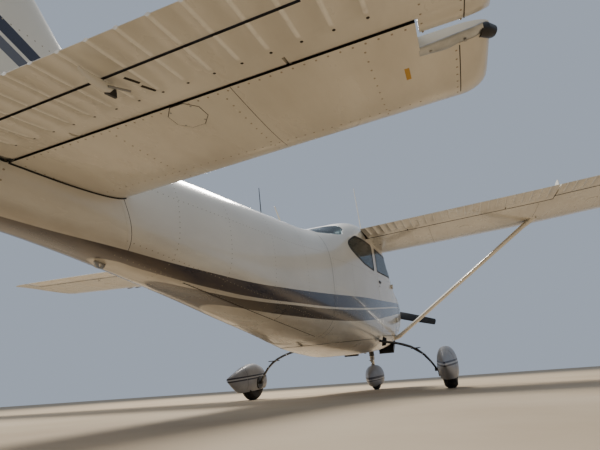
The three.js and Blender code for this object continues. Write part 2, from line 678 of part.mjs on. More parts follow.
// Tail cone, fin and tailplane
function buildTail() {
  const fin = new Surface(FIN, null, upright, 0, FIN_HINGE.slope);
  const hingeY = (z) => FIN_HINGE.y + (z - FIN_HINGE.z) * FIN_HINGE.slope;
  const finHinge = (z) => fin.share(z, hingeY(z));
  const rudderCove = fin.cove(1100, FIN_TOP, finHinge);
  const { hinge: hingeAt, level: height, tubeRadius } = ELEVATOR;
  const tube = (reach, radius) => bar([[-reach, hingeAt, height], [reach, hingeAt, height]], radius, 16);
  const cone = hull(CABIN_END + SEAT, TAIL_END).subtract(hull(CABIN_END - 40, TAIL_ROOM_END, SKIN));
  const { y, long, wide, drop } = TIE_DOWN;
  const under = stationValue(y, "low");
  const tieDown = block(-wide / 2, wide / 2, y - long / 2, y + long / 2, under - drop, under + SKIN);
  piece("tail_cone", "white", without(cone, [rudderCove, tube(400, tubeRadius + RUN)]).add(tieDown));

  const hornBay = block(-200, 200, 6000, 9000, RUDDER.hornFrom - RUDDER.hornGap, 3300);
  const finLugs = RUDDER.lugs.map((z) => fin.plate(z, finHinge(z), LUG));
  const finSlots = RUDDER.lugs.map((z) => fin.plate(z, finHinge(z), LUG_SLOT));
  const finRoom = fin.room(1480, 2900, 0.06, (z) => fin.web(z, finHinge(z), SKIN), SKIN);
  const finBody = without(fin.whole(1500, FIN_TOP, 10), [hullSkin, rudderCove, hornBay, finRoom]);
  piece("fin", "white", joined([finBody, ...finLugs]));
  const rudderHorn = hornShape(fin, RUDDER.hornFrom, FIN_TOP, () => RUDDER.hornLead);
  const rudder = fin.flap(RUDDER.from, FIN_TOP, finHinge).add(rudderHorn);
  piece("rudder", "white", without(rudder, finSlots));

  const plane = new Surface(STABILIZER, TAIL_FOIL, level);
  const tip = STABILIZER.at(-1).span;
  const { from, to, hornFrom, hornLead, hornGap } = ELEVATOR;
  const hinge = (x) => plane.share(x, hingeAt);
  const hornRoom = block(to + 1, 2000, hornLead - hornGap, 8000, 1000, 1700);
  const planeRoom = plane.room(110, to - 20, 0.05, (x) => plane.web(x, hinge(x), SKIN), SKIN);
  const cuts = [hullSkin, plane.cove(60, to + 2, hinge), hornRoom, planeRoom];
  const lugs = ELEVATOR.lugs.map((x) => plane.plate(x, hinge(x), LUG));
  const slots = ELEVATOR.lugs.map((x) => plane.plate(x, hinge(x), LUG_SLOT));
  pair("stabilizer", "white", joined([without(plane.whole(120, tip, 10), cuts), ...lugs]));

  const horn = hornShape(plane, hornFrom, tip, (x) => plane.share(x, hornLead));
  const elevator = without(plane.flap(from, tip, hinge).add(horn), slots);
  const tabHinge = (x) => plane.share(x, TRIM_TAB.hinge);
  const { from: tabFrom, to: tabTo, side, gap, pin, pinReach } = TRIM_TAB;
  const tabBay = plane.cove(tabFrom - side, tabTo + side, tabHinge, gap);
  // A rod along the tab's hinge line, past both its ends.
  const rod = (past, radius) => {
    const ends = [tabFrom - past, tabTo + past].map((x) => {
      const share = tabHinge(x);
      return plane.at(x, share, plane.nose(x, share).middle).toArray();
    });
    return bar(ends, radius, 8);
  };
  const tab = plane.flap(tabFrom, tabTo, tabHinge).add(rod(pinReach, pin));
  const tabCuts = [tabBay, rod(pinReach + 1, pin + SEAT)];
  const hang = new THREE.Matrix4()
    .makeTranslation(0, hingeAt, height)
    .multiply(new THREE.Matrix4().makeRotationX(-ELEVATOR_DROOP))
    .multiply(new THREE.Matrix4().makeTranslation(0, -hingeAt, -height));
  const hangRight = hang.clone().multiply(MIRROR);
  piece("elevator_left", "white", moved(elevator, hang));
  piece("elevator_right", "white", moved(without(elevator, tabCuts), hangRight));
  piece("trim_tab", "white", moved(tab, hangRight));
  piece("elevator_torque_tube", "metal", tube(from - SEAT, tubeRadius));
}

// A balance horn: the outer end of a moving surface, carried forward of its hinge.
function hornShape(surface, from, to, leadAt) {
  return loft(
    surface.spans(from, to).map((span) => {
      const lead = leadAt(span);
      const ahead = [[0, 0], [0.012, 0.55], [0.04, 0.88], [0.09, 1]];
      const back = [0.3, 0.5, 0.75, 1];
      const side = (sign) => [
        ...ahead.map(([u, share]) => {
          const [own, other] = [sign, -sign].map((way) => surface.height(span, lead + u, way));
          return surface.at(span, lead + u, lerp((own + other) / 2, own, share));
        }),
        ...back.map((u) => surface.skin(span, lerp(lead, 1, u), sign)),
      ];
      return [...side(1).toReversed(), ...side(-1).slice(1)];
    }),
  );
}

// Wings, with what hinges from them and what holds them up
function wingShape(drop) {
  return new Surface(WING, WING_FOIL, level, drop);
}

// The flap's slanted nose and its cove: [share of chord, share of thickness] corners
const FLAP_NOSE = [[0.8, 1], [0.772, 0.82], [0.748, 0.58], [0.733, 0.3], [0.731, 0.12], [0.738, 0]];
const FLAP_COVE = [
  [0.789, 1.6], [0.789, 1], [0.764, 0.9], [0.741, 0.66], [0.727, 0.34], [0.725, 0], [0.725, -0.8],
];
// The flap's tracks and the slots they stand in
const TRACK = [[0.7, 0.2], [0.765, 0.25], [0.765, 0.7], [0.7, 0.75]];
const TRACK_SLOT = [[0.6, -1], [0.779, -1], [0.779, 2], [0.6, 2]];

function buildWings() {
  const wing = wingShape(0);
  const tip = WING.at(-1).span;
  const inside = (span, u, share) =>
    wing.at(span, u, lerp(wing.height(span, u, -1), wing.height(span, u, 1), share));
  const { from, to } = FLAP;
  const flap = loft(
    wing.spans(from, to).map((span) => [
      ...[1, 0.95, 0.88].map((u) => wing.skin(span, u, 1)),
      ...FLAP_NOSE.map(([u, share]) => inside(span, u, share)),
      ...[0.82, 0.9, 1].map((u) => wing.skin(span, u, -1)),
    ]),
  );
  const flapBay = loft(
    wing.spans(500, to + RUN).map((span) => [
      ...FLAP_COVE.map(([u, share]) => inside(span, u, share)),
      wing.at(span, 1.3, -0.2),
      wing.at(span, 1.3, 0.2),
      wing.at(span, 0.789, 0.2),
    ]),
  );
  const tracks = (outline, half) =>
    FLAP.tracks.map((x) =>
      loft([x - half, x + half].map((span) => outline.map(([u, share]) => inside(span, u, share)))),
    );
  const { half: trackHalf, slotHalf } = FLAP;
  const hinge = () => AILERON.chord;
  const lugs = AILERON.lugs.map((x) => wing.plate(x, AILERON.chord, LUG));
  const slots = AILERON.lugs.map((x) => wing.plate(x, AILERON.chord, LUG_SLOT));
  const aileron = without(wing.flap(AILERON.from, AILERON.to, hinge), slots);
  const aileronBay = wing.cove(AILERON.from - RUN, AILERON.to + RUN, hinge);
  const { x, from: front, to: back, top, thick } = FENCE;
  const fence = slab([[front, 2000], [back, 2000], [back, top], [back - 60, top + 2]], x, x + thick);
  const spar = wing.room(560, 5240, 0.04, () => 0.71, WING_SKIN);
  const body = without(wing.whole(500, tip, 13).add(fence), [hullSkin, flapBay, aileronBay, spar]);
  pair("wing", "white", joined([body, ...tracks(TRACK, trackHalf), ...lugs]));
  pair("flap", "white", without(flap, tracks(TRACK_SLOT, slotHalf)));
  pair("aileron", "white", aileron);

  const { foot, head, chord, depth } = STRUT;
  const section = Array.from({ length: 16 }, (_, k) => {
    const turn = (2 * Math.PI * k) / 16;
    const aft = Math.cos(turn);
    return [(aft * chord) / 2, (Math.sin(turn) * depth * (1 - 0.35 * aft)) / 2];
  });
  const along = asPoint(head).sub(asPoint(foot)).normalize();
  const up = new THREE.Vector3().crossVectors(point(0, 1, 0), along).normalize();
  const bulge = [[0, 1], [0.04, 1], [0.94, 1], [0.965, 1.35], [1, 1.7]]; // fairing at the wing
  const strut = loft(
    bulge.map(([t, size]) => {
      const center = asPoint(foot).lerp(asPoint(head), t);
      return section.map(([aft, high]) =>
        center.clone().add(point(0, aft * size, 0)).addScaledVector(up, high * size),
      );
    }),
  );
  const lowered = wingShape(2 * SEAT).whole(1500, 3500, 13);
  const aboveWing = block(1500, 3500, 2000, 3500, 1935, 2300);
  pair("wing_strut", "white", without(strut, [hullSkin, lowered, aboveWing]));
}

// A wheel's centre: its radius up the parked airframe's vertical from the ground.
function axleOf({ x, y, radius }) {
  const ground = -(MAIN_WHEEL.y - y) * Math.tan(PARK_ANGLE);
  return point(x, y - radius * Math.sin(PARK_ANGLE), ground + radius * Math.cos(PARK_ANGLE));
}

// Rounded tyre and the hub inside it, as [radius, along the axle] profiles.
function tyreProfile({ radius, width, rim }) {
  const half = width / 2;
  return [
    [rim, half * 0.66], [rim + (radius - rim) * 0.45, half], [radius - 28, half * 0.92],
    [radius, half * 0.34], [radius, -half * 0.34], [radius - 28, -half * 0.92],
    [rim + (radius - rim) * 0.45, -half], [rim, -half * 0.66], [rim, half * 0.66],
  ];
}
function hubProfile({ width, rim }, bore) {
  const half = width * 0.31;
  const edge = rim - SEAT;
  return [
    [bore, half * 0.6], [edge - 20, half * 0.3], [edge, half], [edge, -half],
    [edge - 20, -half * 0.3], [bore, -half * 0.6], [bore, half * 0.6],
  ];
}

// A streamlined wheel fairing through oval sections, about x = center.x.
function fairingShell(table, center) {
  return loft(
    table.map(([y, low, high, half]) =>
      Array.from({ length: 12 }, (_, k) => {
        const turn = (2 * Math.PI * (k + 0.5)) / 12;
        const [c, s] = [Math.cos(turn), Math.sin(turn)];
        const x = Math.sign(c) * Math.abs(c) ** 0.8 * half;
        const z = (high + low) / 2 + (Math.sign(s) * Math.abs(s) ** 0.8 * (high - low)) / 2;
        return point(center.x + x, center.y + y, center.z + z);
      }),
    ),
  );
}

function buildMainGear() {
  const axle = axleOf(MAIN_WHEEL);
  const { width, depth, endShare, axleRadius } = LEG;
  const path = new THREE.CatmullRomCurve3(LEG_PATH.map(asPoint));
  const steps = 9;
  const leg = loft(
    Array.from({ length: steps + 1 }, (_, i) => {
      const t = i / steps;
      const along = path.getTangentAt(t);
      const up = new THREE.Vector3().crossVectors(point(0, 1, 0), along).normalize();
      const size = lerp(1, endShare, t);
      return Array.from({ length: 8 }, (_, k) => {
        const turn = (2 * Math.PI * (k + 0.5)) / 8;
        const [c, s] = [Math.cos(turn), Math.sin(turn)];
        const across = Math.sign(c) * Math.abs(c) ** 0.6;
        return path.getPointAt(t)
          .add(point(0, (across * width * size) / 2, 0))
          .addScaledVector(up, (Math.sign(s) * Math.abs(s) ** 0.6 * depth * size) / 2);
      });
    }),
  );
  const stub = bar([[1120, axle.y, axle.z], [axle.x + 44, axle.y, axle.z]], axleRadius, 16);
  const { x, y, z, across, along, thick } = STEP;
  const tread = block(x - across / 2, x + across / 2, y - along / 2, y + along / 2, z, z + thick);
  const post = block(x - 8, x + 8, y - 24, y + 24, z - 12, z + 2);
  pair("gear_leg", "white", joined([leg, stub, tread, post]).subtract(hullSkin));

  const shell = fairingShell(MAIN_FAIRING, point(axle.x, 0, 0));
  const room = MAIN_WHEEL.radius + 10;
  const half = MAIN_WHEEL.width / 2 + 9;
  const arch = turned([[0, -half], [room, -half], [room, half], [0, half]], axle.x, axle.y, axle.z)
    .add(block(axle.x - half, axle.x + half, axle.y - room, axle.y + room, -60, axle.z));
  const socket = bar([[1000, axle.y, axle.z], [axle.x, axle.y, axle.z]], axleRadius + SEAT, 16);
  const legRoom = block(1000, axle.x - MAIN_FAIRING[4][3] + 3, axle.y - 40, axle.y + 40, 150, 500);
  pair("wheel_fairing", "grey", without(shell, [arch, socket, legRoom]));
  const tyre = turned(tyreProfile(MAIN_WHEEL), axle.x, axle.y, axle.z, 24);
  const hub = turned(hubProfile(MAIN_WHEEL, axleRadius + PIN), axle.x, axle.y, axle.z, 24);
  pair("main_tyre", "rubberBlack", tyre);
  pair("main_hub", "white", hub);
}

function buildNoseGear() {
  const axle = axleOf(NOSE_WHEEL);
  const top = asPoint(NOSE_STRUT.top);
  const down = (t) => top.clone().lerp(axle, t).toArray();
  const { barrelEnd, barrel, piston } = NOSE_STRUT;
  const brace = block(-45, 45, top.y - 30, COWL_END - SEAT, 600, 680);
  const lowBrace = block(-22, 22, top.y, COWL_END - SEAT, 548, 600);
  const sleeve = bar([top.toArray(), down(barrelEnd)], barrel, 20);
  piece("nose_strut", "metal", joined([sleeve, brace, lowBrace]));

  const crownTop = axle.z + NOSE_WHEEL.radius + 30;
  const side = NOSE_WHEEL.width / 2 + 8;
  const crownT = (top.z - crownTop + 8) / (top.z - axle.z);
  const crownY = lerp(top.y, axle.y, crownT);
  const crown = block(-side - 12, side + 12, crownY - 34, crownY + 34, crownTop - 18, crownTop);
  const cheek = (x) => slab([
    [axle.y - 30, axle.z - 24], [axle.y + 26, axle.z - 24], [crownY + 34, crownTop - 2],
    [crownY - 34, crownTop - 2],
  ], x, x + 12);
  const elbow = [0, down(0.6)[1] + 108, lerp(down(barrelEnd)[2], crownTop, 0.5)];
  const links = [barrelEnd + 0.05, crownT - 0.06].map((t) => bar([down(t), elbow], 13, 8));
  const collarStart = down(barrelEnd + SEAT / top.distanceTo(axle));
  const collar = bar([collarStart, down(barrelEnd + 0.1)], 38, 20);
  const fork = joined([
    bar([collarStart, down(crownT)], piston, 16),
    collar, crown, cheek(-side - 12), cheek(side), ...links,
    bar([[-side - 6, axle.y, axle.z], [side + 6, axle.y, axle.z]], 12, 12),
  ]);
  piece("nose_fork", "metal", fork);

  const room = NOSE_WHEEL.radius + 10;
  const half = side + 20;
  const arch = turned([[0, -half], [room, -half], [room, half], [0, half]], 0, axle.y, axle.z)
    .add(block(-half, half, axle.y - room, axle.y + room, axle.z - 400, axle.z))
    .add(block(-side - 16, side + 16, crownY - 44, crownY + 44, axle.z, crownTop + 4));
  const neck = bar([down(barrelEnd), down(0.9)], piston + SEAT, 16);
  const bridge = block(-side - 12, side + 12, crownY - 20, crownY + 20, crownTop + SEAT, crownTop + 12);
  const shell = fairingShell(NOSE_FAIRING, axle);
  const fairing = without(shell, [arch]).add(bridge.intersect(shell));
  piece("nose_fairing", "grey", without(fairing, [neck]));
  piece("nose_tyre", "rubberBlack", turned(tyreProfile(NOSE_WHEEL), 0, axle.y, axle.z, 24));
  piece("nose_hub", "white", turned(hubProfile(NOSE_WHEEL, 12 + PIN), 0, axle.y, axle.z, 24));
}

function buildPropeller() {
  const { y, radius, rest, steps } = PROPELLER;
  const blade = loft(
    Array.from({ length: steps + 1 }, (_, i) => {
      const t = i / steps;
      const reach = lerp(60, radius, t);
      const chord = t < 0.15 ? lerp(86, 120, t / 0.15) : lerp(152, 96, t) * (t > 0.99 ? 0.45 : 1);
      const thick = lerp(64, 9, Math.min(1, t * 1.6) ** 0.7);
      const pitch = degToRad(lerp(52, 14, t ** 0.6));
      return Array.from({ length: 12 }, (_, k) => {
        const turn = (2 * Math.PI * k) / 12;
        const [a, b] = [(Math.cos(turn) * chord) / 2, (Math.sin(turn) * thick) / 2];
        const [c, s] = [Math.cos(pitch), Math.sin(pitch)];
        return point(reach, y + a * s + b * c, a * c - b * s);
      });
    }),
  );
  const half = new THREE.Matrix4().makeRotationY(Math.PI);
  const hub = bar([[0, y - 58, 0], [0, y + 100, 0]], 72, 20);
  const both = joined([blade, moved(blade, half), hub]);
  const place = new THREE.Matrix4().makeTranslation(0, 0, THRUST_Z)
    .multiply(new THREE.Matrix4().makeRotationY(-rest));
  piece("propeller", "blade", moved(both, place));

  const { length, radius: base } = SPINNER;
  const rise = Array.from({ length: 7 }, (_, i) => i / 6);
  const outer = rise.map((t) => [0, length * t ** 1.9, 0]);
  const cone = bar(outer.map(([, along]) => [0, Math.max(along, 0.5), 0]),
    rise.map((t) => Math.max(base * Math.sin((Math.PI / 2) * t) ** 0.95, 4)), 16);
  const hollow = bar([[0, 120, 0], [0, 200, 0], [0, length + 20, 0]], [90, 138, 150], 12);
  const slot = bar([[-400, y, 0], [400, y, 0]], 66, 20);
  const plate = bar([[0, length - 12, 0], [0, length, 0]], base - 6, 16);
  const ring = plate.subtract(bar([[0, length - 30, 0], [0, length + 30, 0]], 72 + SEAT, 20));
  const spinner = cone.subtract(hollow).subtract(slot).add(ring);
  piece("spinner", "white", moved(spinner, place));
}

function buildAerials() {
  for (const [name, foot, tip, radius, disc, finish] of AERIALS) {
    const rod = bar([foot, tip], [radius, radius * 0.6], 10);
    const [x, y, z] = foot;
    const base = bar([[x, y, z - 30], [x, y, hullTop(x, y) + 8]], disc, 16);
    piece(name, finish, rod.add(base).subtract(hullSkin));
  }
}

// Height of the fuselage's upper surface at a place in plan.
function hullTop(x, y) {
  const [high, wide, half, upper] = ["high", "wide", "half", "upper"].map((key) => stationValue(y, key));
  return wide + (high - wide) * (1 - Math.abs(x / half) ** upper) ** (1 / upper);
}

buildNose();
buildCabin();
buildTail();
buildWings();
buildMainGear();
buildNoseGear();
buildPropeller();
buildAerials();

// Parked: turned nose-up about the main wheels' contact, then centred on its footprint.
airframe.rotation.x = -PARK_ANGLE;
airframe.updateMatrixWorld(true);
const box = new THREE.Box3().setFromObject(airframe, true);
airframe.position.set(0, -(box.min.y + box.max.y) / 2, -box.min.z);

const aircraft = new THREE.Group();
aircraft.add(airframe);
export default aircraft;
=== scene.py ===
import json
import logging
import math
from collections.abc import Callable, Iterable, Sequence
from dataclasses import dataclass, field
from enum import Enum

import bmesh
import bpy
import numpy as np
from mathutils import Matrix, Vector


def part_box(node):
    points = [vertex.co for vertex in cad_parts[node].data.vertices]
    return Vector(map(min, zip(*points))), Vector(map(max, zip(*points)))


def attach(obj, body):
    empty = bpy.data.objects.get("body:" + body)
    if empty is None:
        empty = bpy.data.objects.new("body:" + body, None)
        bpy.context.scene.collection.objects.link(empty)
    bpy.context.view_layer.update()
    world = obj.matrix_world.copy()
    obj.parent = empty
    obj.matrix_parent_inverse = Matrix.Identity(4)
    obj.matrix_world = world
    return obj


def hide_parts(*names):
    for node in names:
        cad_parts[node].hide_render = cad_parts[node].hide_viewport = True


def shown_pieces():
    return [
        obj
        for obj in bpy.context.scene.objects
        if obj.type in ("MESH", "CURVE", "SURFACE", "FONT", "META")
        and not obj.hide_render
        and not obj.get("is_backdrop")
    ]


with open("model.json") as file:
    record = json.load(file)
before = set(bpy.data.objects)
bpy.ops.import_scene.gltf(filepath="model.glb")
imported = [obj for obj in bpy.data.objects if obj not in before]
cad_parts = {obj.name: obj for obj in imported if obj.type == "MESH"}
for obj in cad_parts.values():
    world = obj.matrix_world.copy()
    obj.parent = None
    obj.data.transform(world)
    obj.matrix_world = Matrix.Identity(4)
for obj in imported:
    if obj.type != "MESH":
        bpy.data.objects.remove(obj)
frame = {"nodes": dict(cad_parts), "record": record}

# Fine shapes and finishes of a high-wing light aircraft that stands on its wheels.
# Shapes are drawn in level millimetres: +X to port, +Y aft from the tip of the spinner
# and +Z up from the line under the main wheels. STAND turns them to parked metres.

LOG = logging.getLogger("aircraft")
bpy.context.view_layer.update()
MM = 0.001
PARK_ANGLE = math.radians(5.0)
MAIN_AXLE = (1275.0, 3043.0, 212.0)  # x and y of the contact, and the radius of the tyre

Point = Sequence[float]
Side = float  # +1 to port or on the upper skin, -1 to starboard or on the lower one
SIDES = ((1.0, "left"), (-1.0, "right"))
BOTH = (1.0, -1.0)
ON_AXLE = 0.01  # radius of a turned solid's corners that close on its axle
THRUST = 1150.0  # height of the propeller's axle
INLET = (235.0, 1165.0)  # x and z of the port inlet in the cowl
TAIL_LIGHT = (0.0, 0.0, 1375.0)  # a point on the axle of the light at the stern
BEACON = (0.0, 7990.0, 0.0)  # a point on the axle of the beacon on the fin


class Stand:
    """The parked attitude of the airframe, measured from the frame's port main wheel."""

    def __init__(self) -> None:
        """Finds the place of the level origin on the ground."""
        low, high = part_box("main_tyre_left")
        x, y, radius = MAIN_AXLE
        axle = np.array([x, y - radius * math.sin(PARK_ANGLE), radius * math.cos(PARK_ANGLE)])
        cos, sin = math.cos(PARK_ANGLE), math.sin(PARK_ANGLE)
        self.turn = np.array([[1, 0, 0], [0, cos, sin], [0, -sin, cos]])
        self.origin = np.array((low + high) / 2) - self.turn @ (axle * MM)

    def place(self, points: np.ndarray | Sequence[Point]) -> np.ndarray:
        """Turns level millimetres to parked metres.

        Args:
            points: Level points, one a row.

        Returns:
            The same points in the parked frame.
        """
        return np.asarray(points, float) * MM @ self.turn.T + self.origin

    def direction(self, way: Point) -> Vector:
        """Turns a level direction to the parked frame."""
        return Vector(self.turn @ np.asarray(way, float))


STAND = Stand()


def linear(hex_code: str) -> tuple[float, float, float, float]:
    """Turns an sRGB hex colour to linear.

    Args:
        hex_code: The colour, such as "#e6e2d8".

    Returns:
        Red, green, blue and an alpha of one.
    """
    parts = [int(hex_code[i : i + 2], 16) / 255 for i in (1, 3, 5)]
    curve = [c / 12.92 if c <= 0.04045 else ((c + 0.055) / 1.055) ** 2.4 for c in parts]
    return (curve[0], curve[1], curve[2], 1.0)


def smooth_step(value: np.ndarray | float) -> np.ndarray | float:
    """Eases a value from 0 to 1."""
    held = np.clip(value, 0.0, 1.0)
    return held * held * (3 - 2 * held)


def cubic(t: float, span: float, ends: Sequence[Point], slopes: Sequence[Point]) -> np.ndarray:
    """Smooth curve between two stations.

    Args:
        t: How far along, from 0 to 1.
        span: Distance between the stations.
        ends: Values at the two.
        slopes: Slopes at the two.

    Returns:
        The values in between.
    """
    return ((2 * t**3 - 3 * t**2 + 1) * ends[0] + (t**3 - 2 * t**2 + t) * span * slopes[0]
            + (3 * t**2 - 2 * t**3) * ends[1] + (t**3 - t**2) * span * slopes[1])


def boxed(value: np.ndarray | float, power: float | np.ndarray) -> np.ndarray | float:
    """A cosine or sine to a power with its sign, which squares an oval off or rounds it."""
    return np.sign(value) * np.abs(value) ** power


def around(count: int, shift: float = 0.0) -> np.ndarray:
    """Angles evenly round a circle, moved on by a share of a step."""
    return 2 * np.pi * (np.arange(count) + shift) / count


def square_to(way: np.ndarray, guide: Point) -> tuple[np.ndarray, np.ndarray]:
    """Two directions square to a way and to each other; the first is also square to a guide."""
    across = np.cross(way, guide)
    across = across / np.linalg.norm(across)
    return across, np.cross(way, across)


def along_skin(way: np.ndarray) -> tuple[np.ndarray, np.ndarray]:
    """Two directions along a skin, from its outward direction."""
    return square_to(way, (0.0, 1.0, 0.0) if abs(way[1]) < 0.8 else (1.0, 0.0, 0.0))


class Mesh:
    """A mesh in level millimetres that grows from lofts and other parts."""

    def __init__(self) -> None:
        """Starts empty."""
        self.points: list[np.ndarray] = []
        self.faces: list[tuple[int, ...]] = []
        self.count = 0

    def add(self, points: np.ndarray | Sequence[Point], faces: Iterable[Sequence[int]]) -> "Mesh":
        """Adds points and the faces between them.

        Args:
            points: Level points, one a row.
            faces: Corners of each face, counted from the first of these points.

        Returns:
            This mesh.
        """
        rows = np.asarray(points, float).reshape(-1, 3)
        self.points.append(rows)
        self.faces += [tuple(corner + self.count for corner in face) for face in faces]
        self.count += len(rows)
        return self

    def loft(self, rings: np.ndarray | Sequence[np.ndarray], capped: bool = True,
             around: bool = True) -> "Mesh":
        """Adds a skin through rings of like count.

        Args:
            rings: Rings of level points.
            capped: Whether flat faces close the two ends.
            around: Whether each ring closes on itself.

        Returns:
            This mesh.
        """
        grid = np.asarray(rings, float)
        rows, count = grid.shape[:2]
        steps = count if around else count - 1
        faces: list[Sequence[int]] = [
            (i * count + j, i * count + (j + 1) % count,
             (i + 1) * count + (j + 1) % count, (i + 1) * count + j)
            for i in range(rows - 1)
            for j in range(steps)
        ]
        if capped:
            faces.append(range(count - 1, -1, -1))
            faces.append(range((rows - 1) * count, rows * count))
        return self.add(grid.reshape(-1, 3), faces)

    def mirrored(self) -> "Mesh":
        """Gives the mirror image across the middle plane."""
        made = Mesh()
        points = np.concatenate(self.points) * [-1, 1, 1]
        return made.add(points, [face[::-1] for face in self.faces])

    def turned(self, turn: np.ndarray, about: Point) -> "Mesh":
        """Gives this mesh turned about a point.

        Args:
            turn: A rotation matrix.
            about: The level point that stays.

        Returns:
            A new mesh.
        """
        center = np.asarray(about, float)
        points = (np.concatenate(self.points) - center) @ turn.T + center
        return Mesh().add(points, self.faces)

    def build(self, name: str, sharp: float = 32.0) -> bpy.types.Object:
        """Makes the Blender object, in parked metres.

        Args:
            name: Its name.
            sharp: Edges steeper than this many degrees stay crisp.

        Returns:
            The object.
        """
        data = bpy.data.meshes.new(name)
        data.from_pydata(STAND.place(np.concatenate(self.points)).tolist(), [], self.faces)
        shaped = bmesh.new()
        shaped.from_mesh(data)
        bmesh.ops.remove_doubles(shaped, verts=shaped.verts, dist=2e-6)
        bmesh.ops.recalc_face_normals(shaped, faces=shaped.faces)
        shaped.to_mesh(data)
        shaped.free()
        made = bpy.data.objects.new(name, data)
        bpy.context.scene.collection.objects.link(made)
        soften(made, sharp)
        return made


def soften(made: bpy.types.Object, sharp: float = 32.0) -> bpy.types.Object:
    """Shades a piece smooth, but for edges steeper than an angle in degrees."""
    made.data.shade_smooth()
    made.data.set_sharp_from_angle(angle=math.radians(sharp))
    return made


def bake(made: bpy.types.Object) -> bpy.types.Object:
    """Puts a piece's modifiers into its mesh.

    Args:
        made: The piece.

    Returns:
        The piece.
    """
    bpy.context.view_layer.update()
    graph = bpy.context.evaluated_depsgraph_get()
    data = bpy.data.meshes.new_from_object(made.evaluated_get(graph))
    made.modifiers.clear()
    old = made.data
    made.data = data
    bpy.data.meshes.remove(old)
    return made


class Cut(Enum):
    """How one solid works on another."""

    AWAY = "DIFFERENCE"
    WITHIN = "INTERSECT"
    JOIN = "UNION"


def carve(made: bpy.types.Object, tools: Iterable[bpy.types.Object | Mesh], how: Cut = Cut.AWAY,
          sharp: float = 32.0, lining: bpy.types.Material | None = None) -> bpy.types.Object:
    """Cuts a solid by others, which are used up.

    Args:
        made: The solid.
        tools: The solids that work on it.
        how: Whether they are cut away, kept within or joined on.
        sharp: Edges steeper than this many degrees stay crisp.
        lining: Finish of the new faces, where it isn't the solid's own.

    Returns:
        The solid.
    """
    used = [tool.build("tool") if isinstance(tool, Mesh) else tool for tool in tools]
    if lining and not made.data.materials:
        made.data.materials.append(None)
    for tool in used:
        step = made.modifiers.new("cut", "BOOLEAN")
        step.operation = how.value
        step.solver = "MANIFOLD"
        step.object = tool
        if lining:
            step.material_mode = "TRANSFER"
            tool.data.materials.append(lining)
    bake(made)
    for tool in used:
        data = tool.data
        bpy.data.objects.remove(tool)
        bpy.data.meshes.remove(data)
    return soften(made, sharp)


def copy_of(made: bpy.types.Object, name: str) -> bpy.types.Object:
    """Copies a piece with its own mesh.

    Args:
        made: The piece.
        name: Name of the copy.

    Returns:
        The copy.
    """
    twin = made.copy()
    twin.data = made.data.copy()
    twin.name = name
    bpy.context.scene.collection.objects.link(twin)
    return twin


BODY_OF = {node: body for body, nodes in frame["record"]["behaviour"]["bodies"].items()
           for node in nodes}


def dress(made: bpy.types.Object, finish: bpy.types.Material, slot: str, carrier: str,
          *stands_for: str) -> bpy.types.Object:
    """Gives a piece its finish and its place in the aircraft.

    Args:
        made: The piece.
        finish: Its material.
        slot: The record's material slot; not used.
        carrier: Construction node whose body it rides on.
        stands_for: Construction nodes that it replaces.

    Returns:
        The piece.
    """
    if not made.data.materials:
        made.data.materials.append(finish)
    else:
        made.data.materials[0] = finish
    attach(made, BODY_OF[carrier])
    if stands_for:
        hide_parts(*stands_for)
    return made


def twin(made: bpy.types.Object, name: str) -> bpy.types.Object:
    """Makes the mirror image of a piece across the middle plane.

    Args:
        made: The piece.
        name: Name of its mirror image.

    Returns:
        The mirror image.
    """
    other = copy_of(made, name)
    other.data.transform(Matrix.Scale(-1, 4, (1, 0, 0)))
    other.data.flip_normals()
    return other


def dress_pair(left: bpy.types.Object, finish: bpy.types.Material, slot: str, node: str,
               piece: str | None = None) -> None:
    """Dresses a port piece and its mirror image, which each stand for their own node.

    Args:
        left: The port piece.
        finish: Its material.
        slot: The record's material slot.
        node: Name of both construction nodes, with {} for the side.
        piece: Name of the starboard piece, with {} for the side.
    """
    other = twin(left, (piece or node + "_skin").format("right"))
    for made, side in ((left, "left"), (other, "right")):
        dress(made, finish, slot, node.format(side), node.format(side))


def slab(outline: Sequence[Sequence[float]], start: float, end: float) -> Mesh:
    """A side-view outline of y and z corners, from one x to another."""
    return Mesh().loft([[(x, y, z) for y, z in outline] for x in (start, end)])


def block(x: Sequence[float], y: Sequence[float], z: Sequence[float]) -> Mesh:
    """A box between two values on each axis."""
    return slab([(y[0], z[0]), (y[1], z[0]), (y[1], z[1]), (y[0], z[1])], x[0], x[1])


def bar(path: Sequence[Point], radii: float | Sequence[float], sides: int = 16,
        squash: float = 1.0) -> Mesh:
    """A round bar along a path.

    Args:
        path: Level points on its middle line.
        radii: One radius, or one for each point.
        sides: Sides of its section.
        squash: Depth of the section as a share of its width.

    Returns:
        Its mesh.
    """
    points = np.asarray(path, float)
    sizes = np.broadcast_to(np.asarray(radii, float), len(points))
    rings = []
    turn = np.linspace(0, 2 * np.pi, sides, endpoint=False)
    for i, (middle, size) in enumerate(zip(points, sizes)):
        along = points[min(i + 1, len(points) - 1)] - points[max(i - 1, 0)]
        along = along / np.linalg.norm(along)
        across, up = square_to(along, (0, 1, 0) if abs(along[0]) > 0.9 else (1, 0, 0))
        rings.append(middle + size * (np.outer(np.cos(turn), across)
                                      + squash * np.outer(np.sin(turn), up)))
    return Mesh().loft(rings)


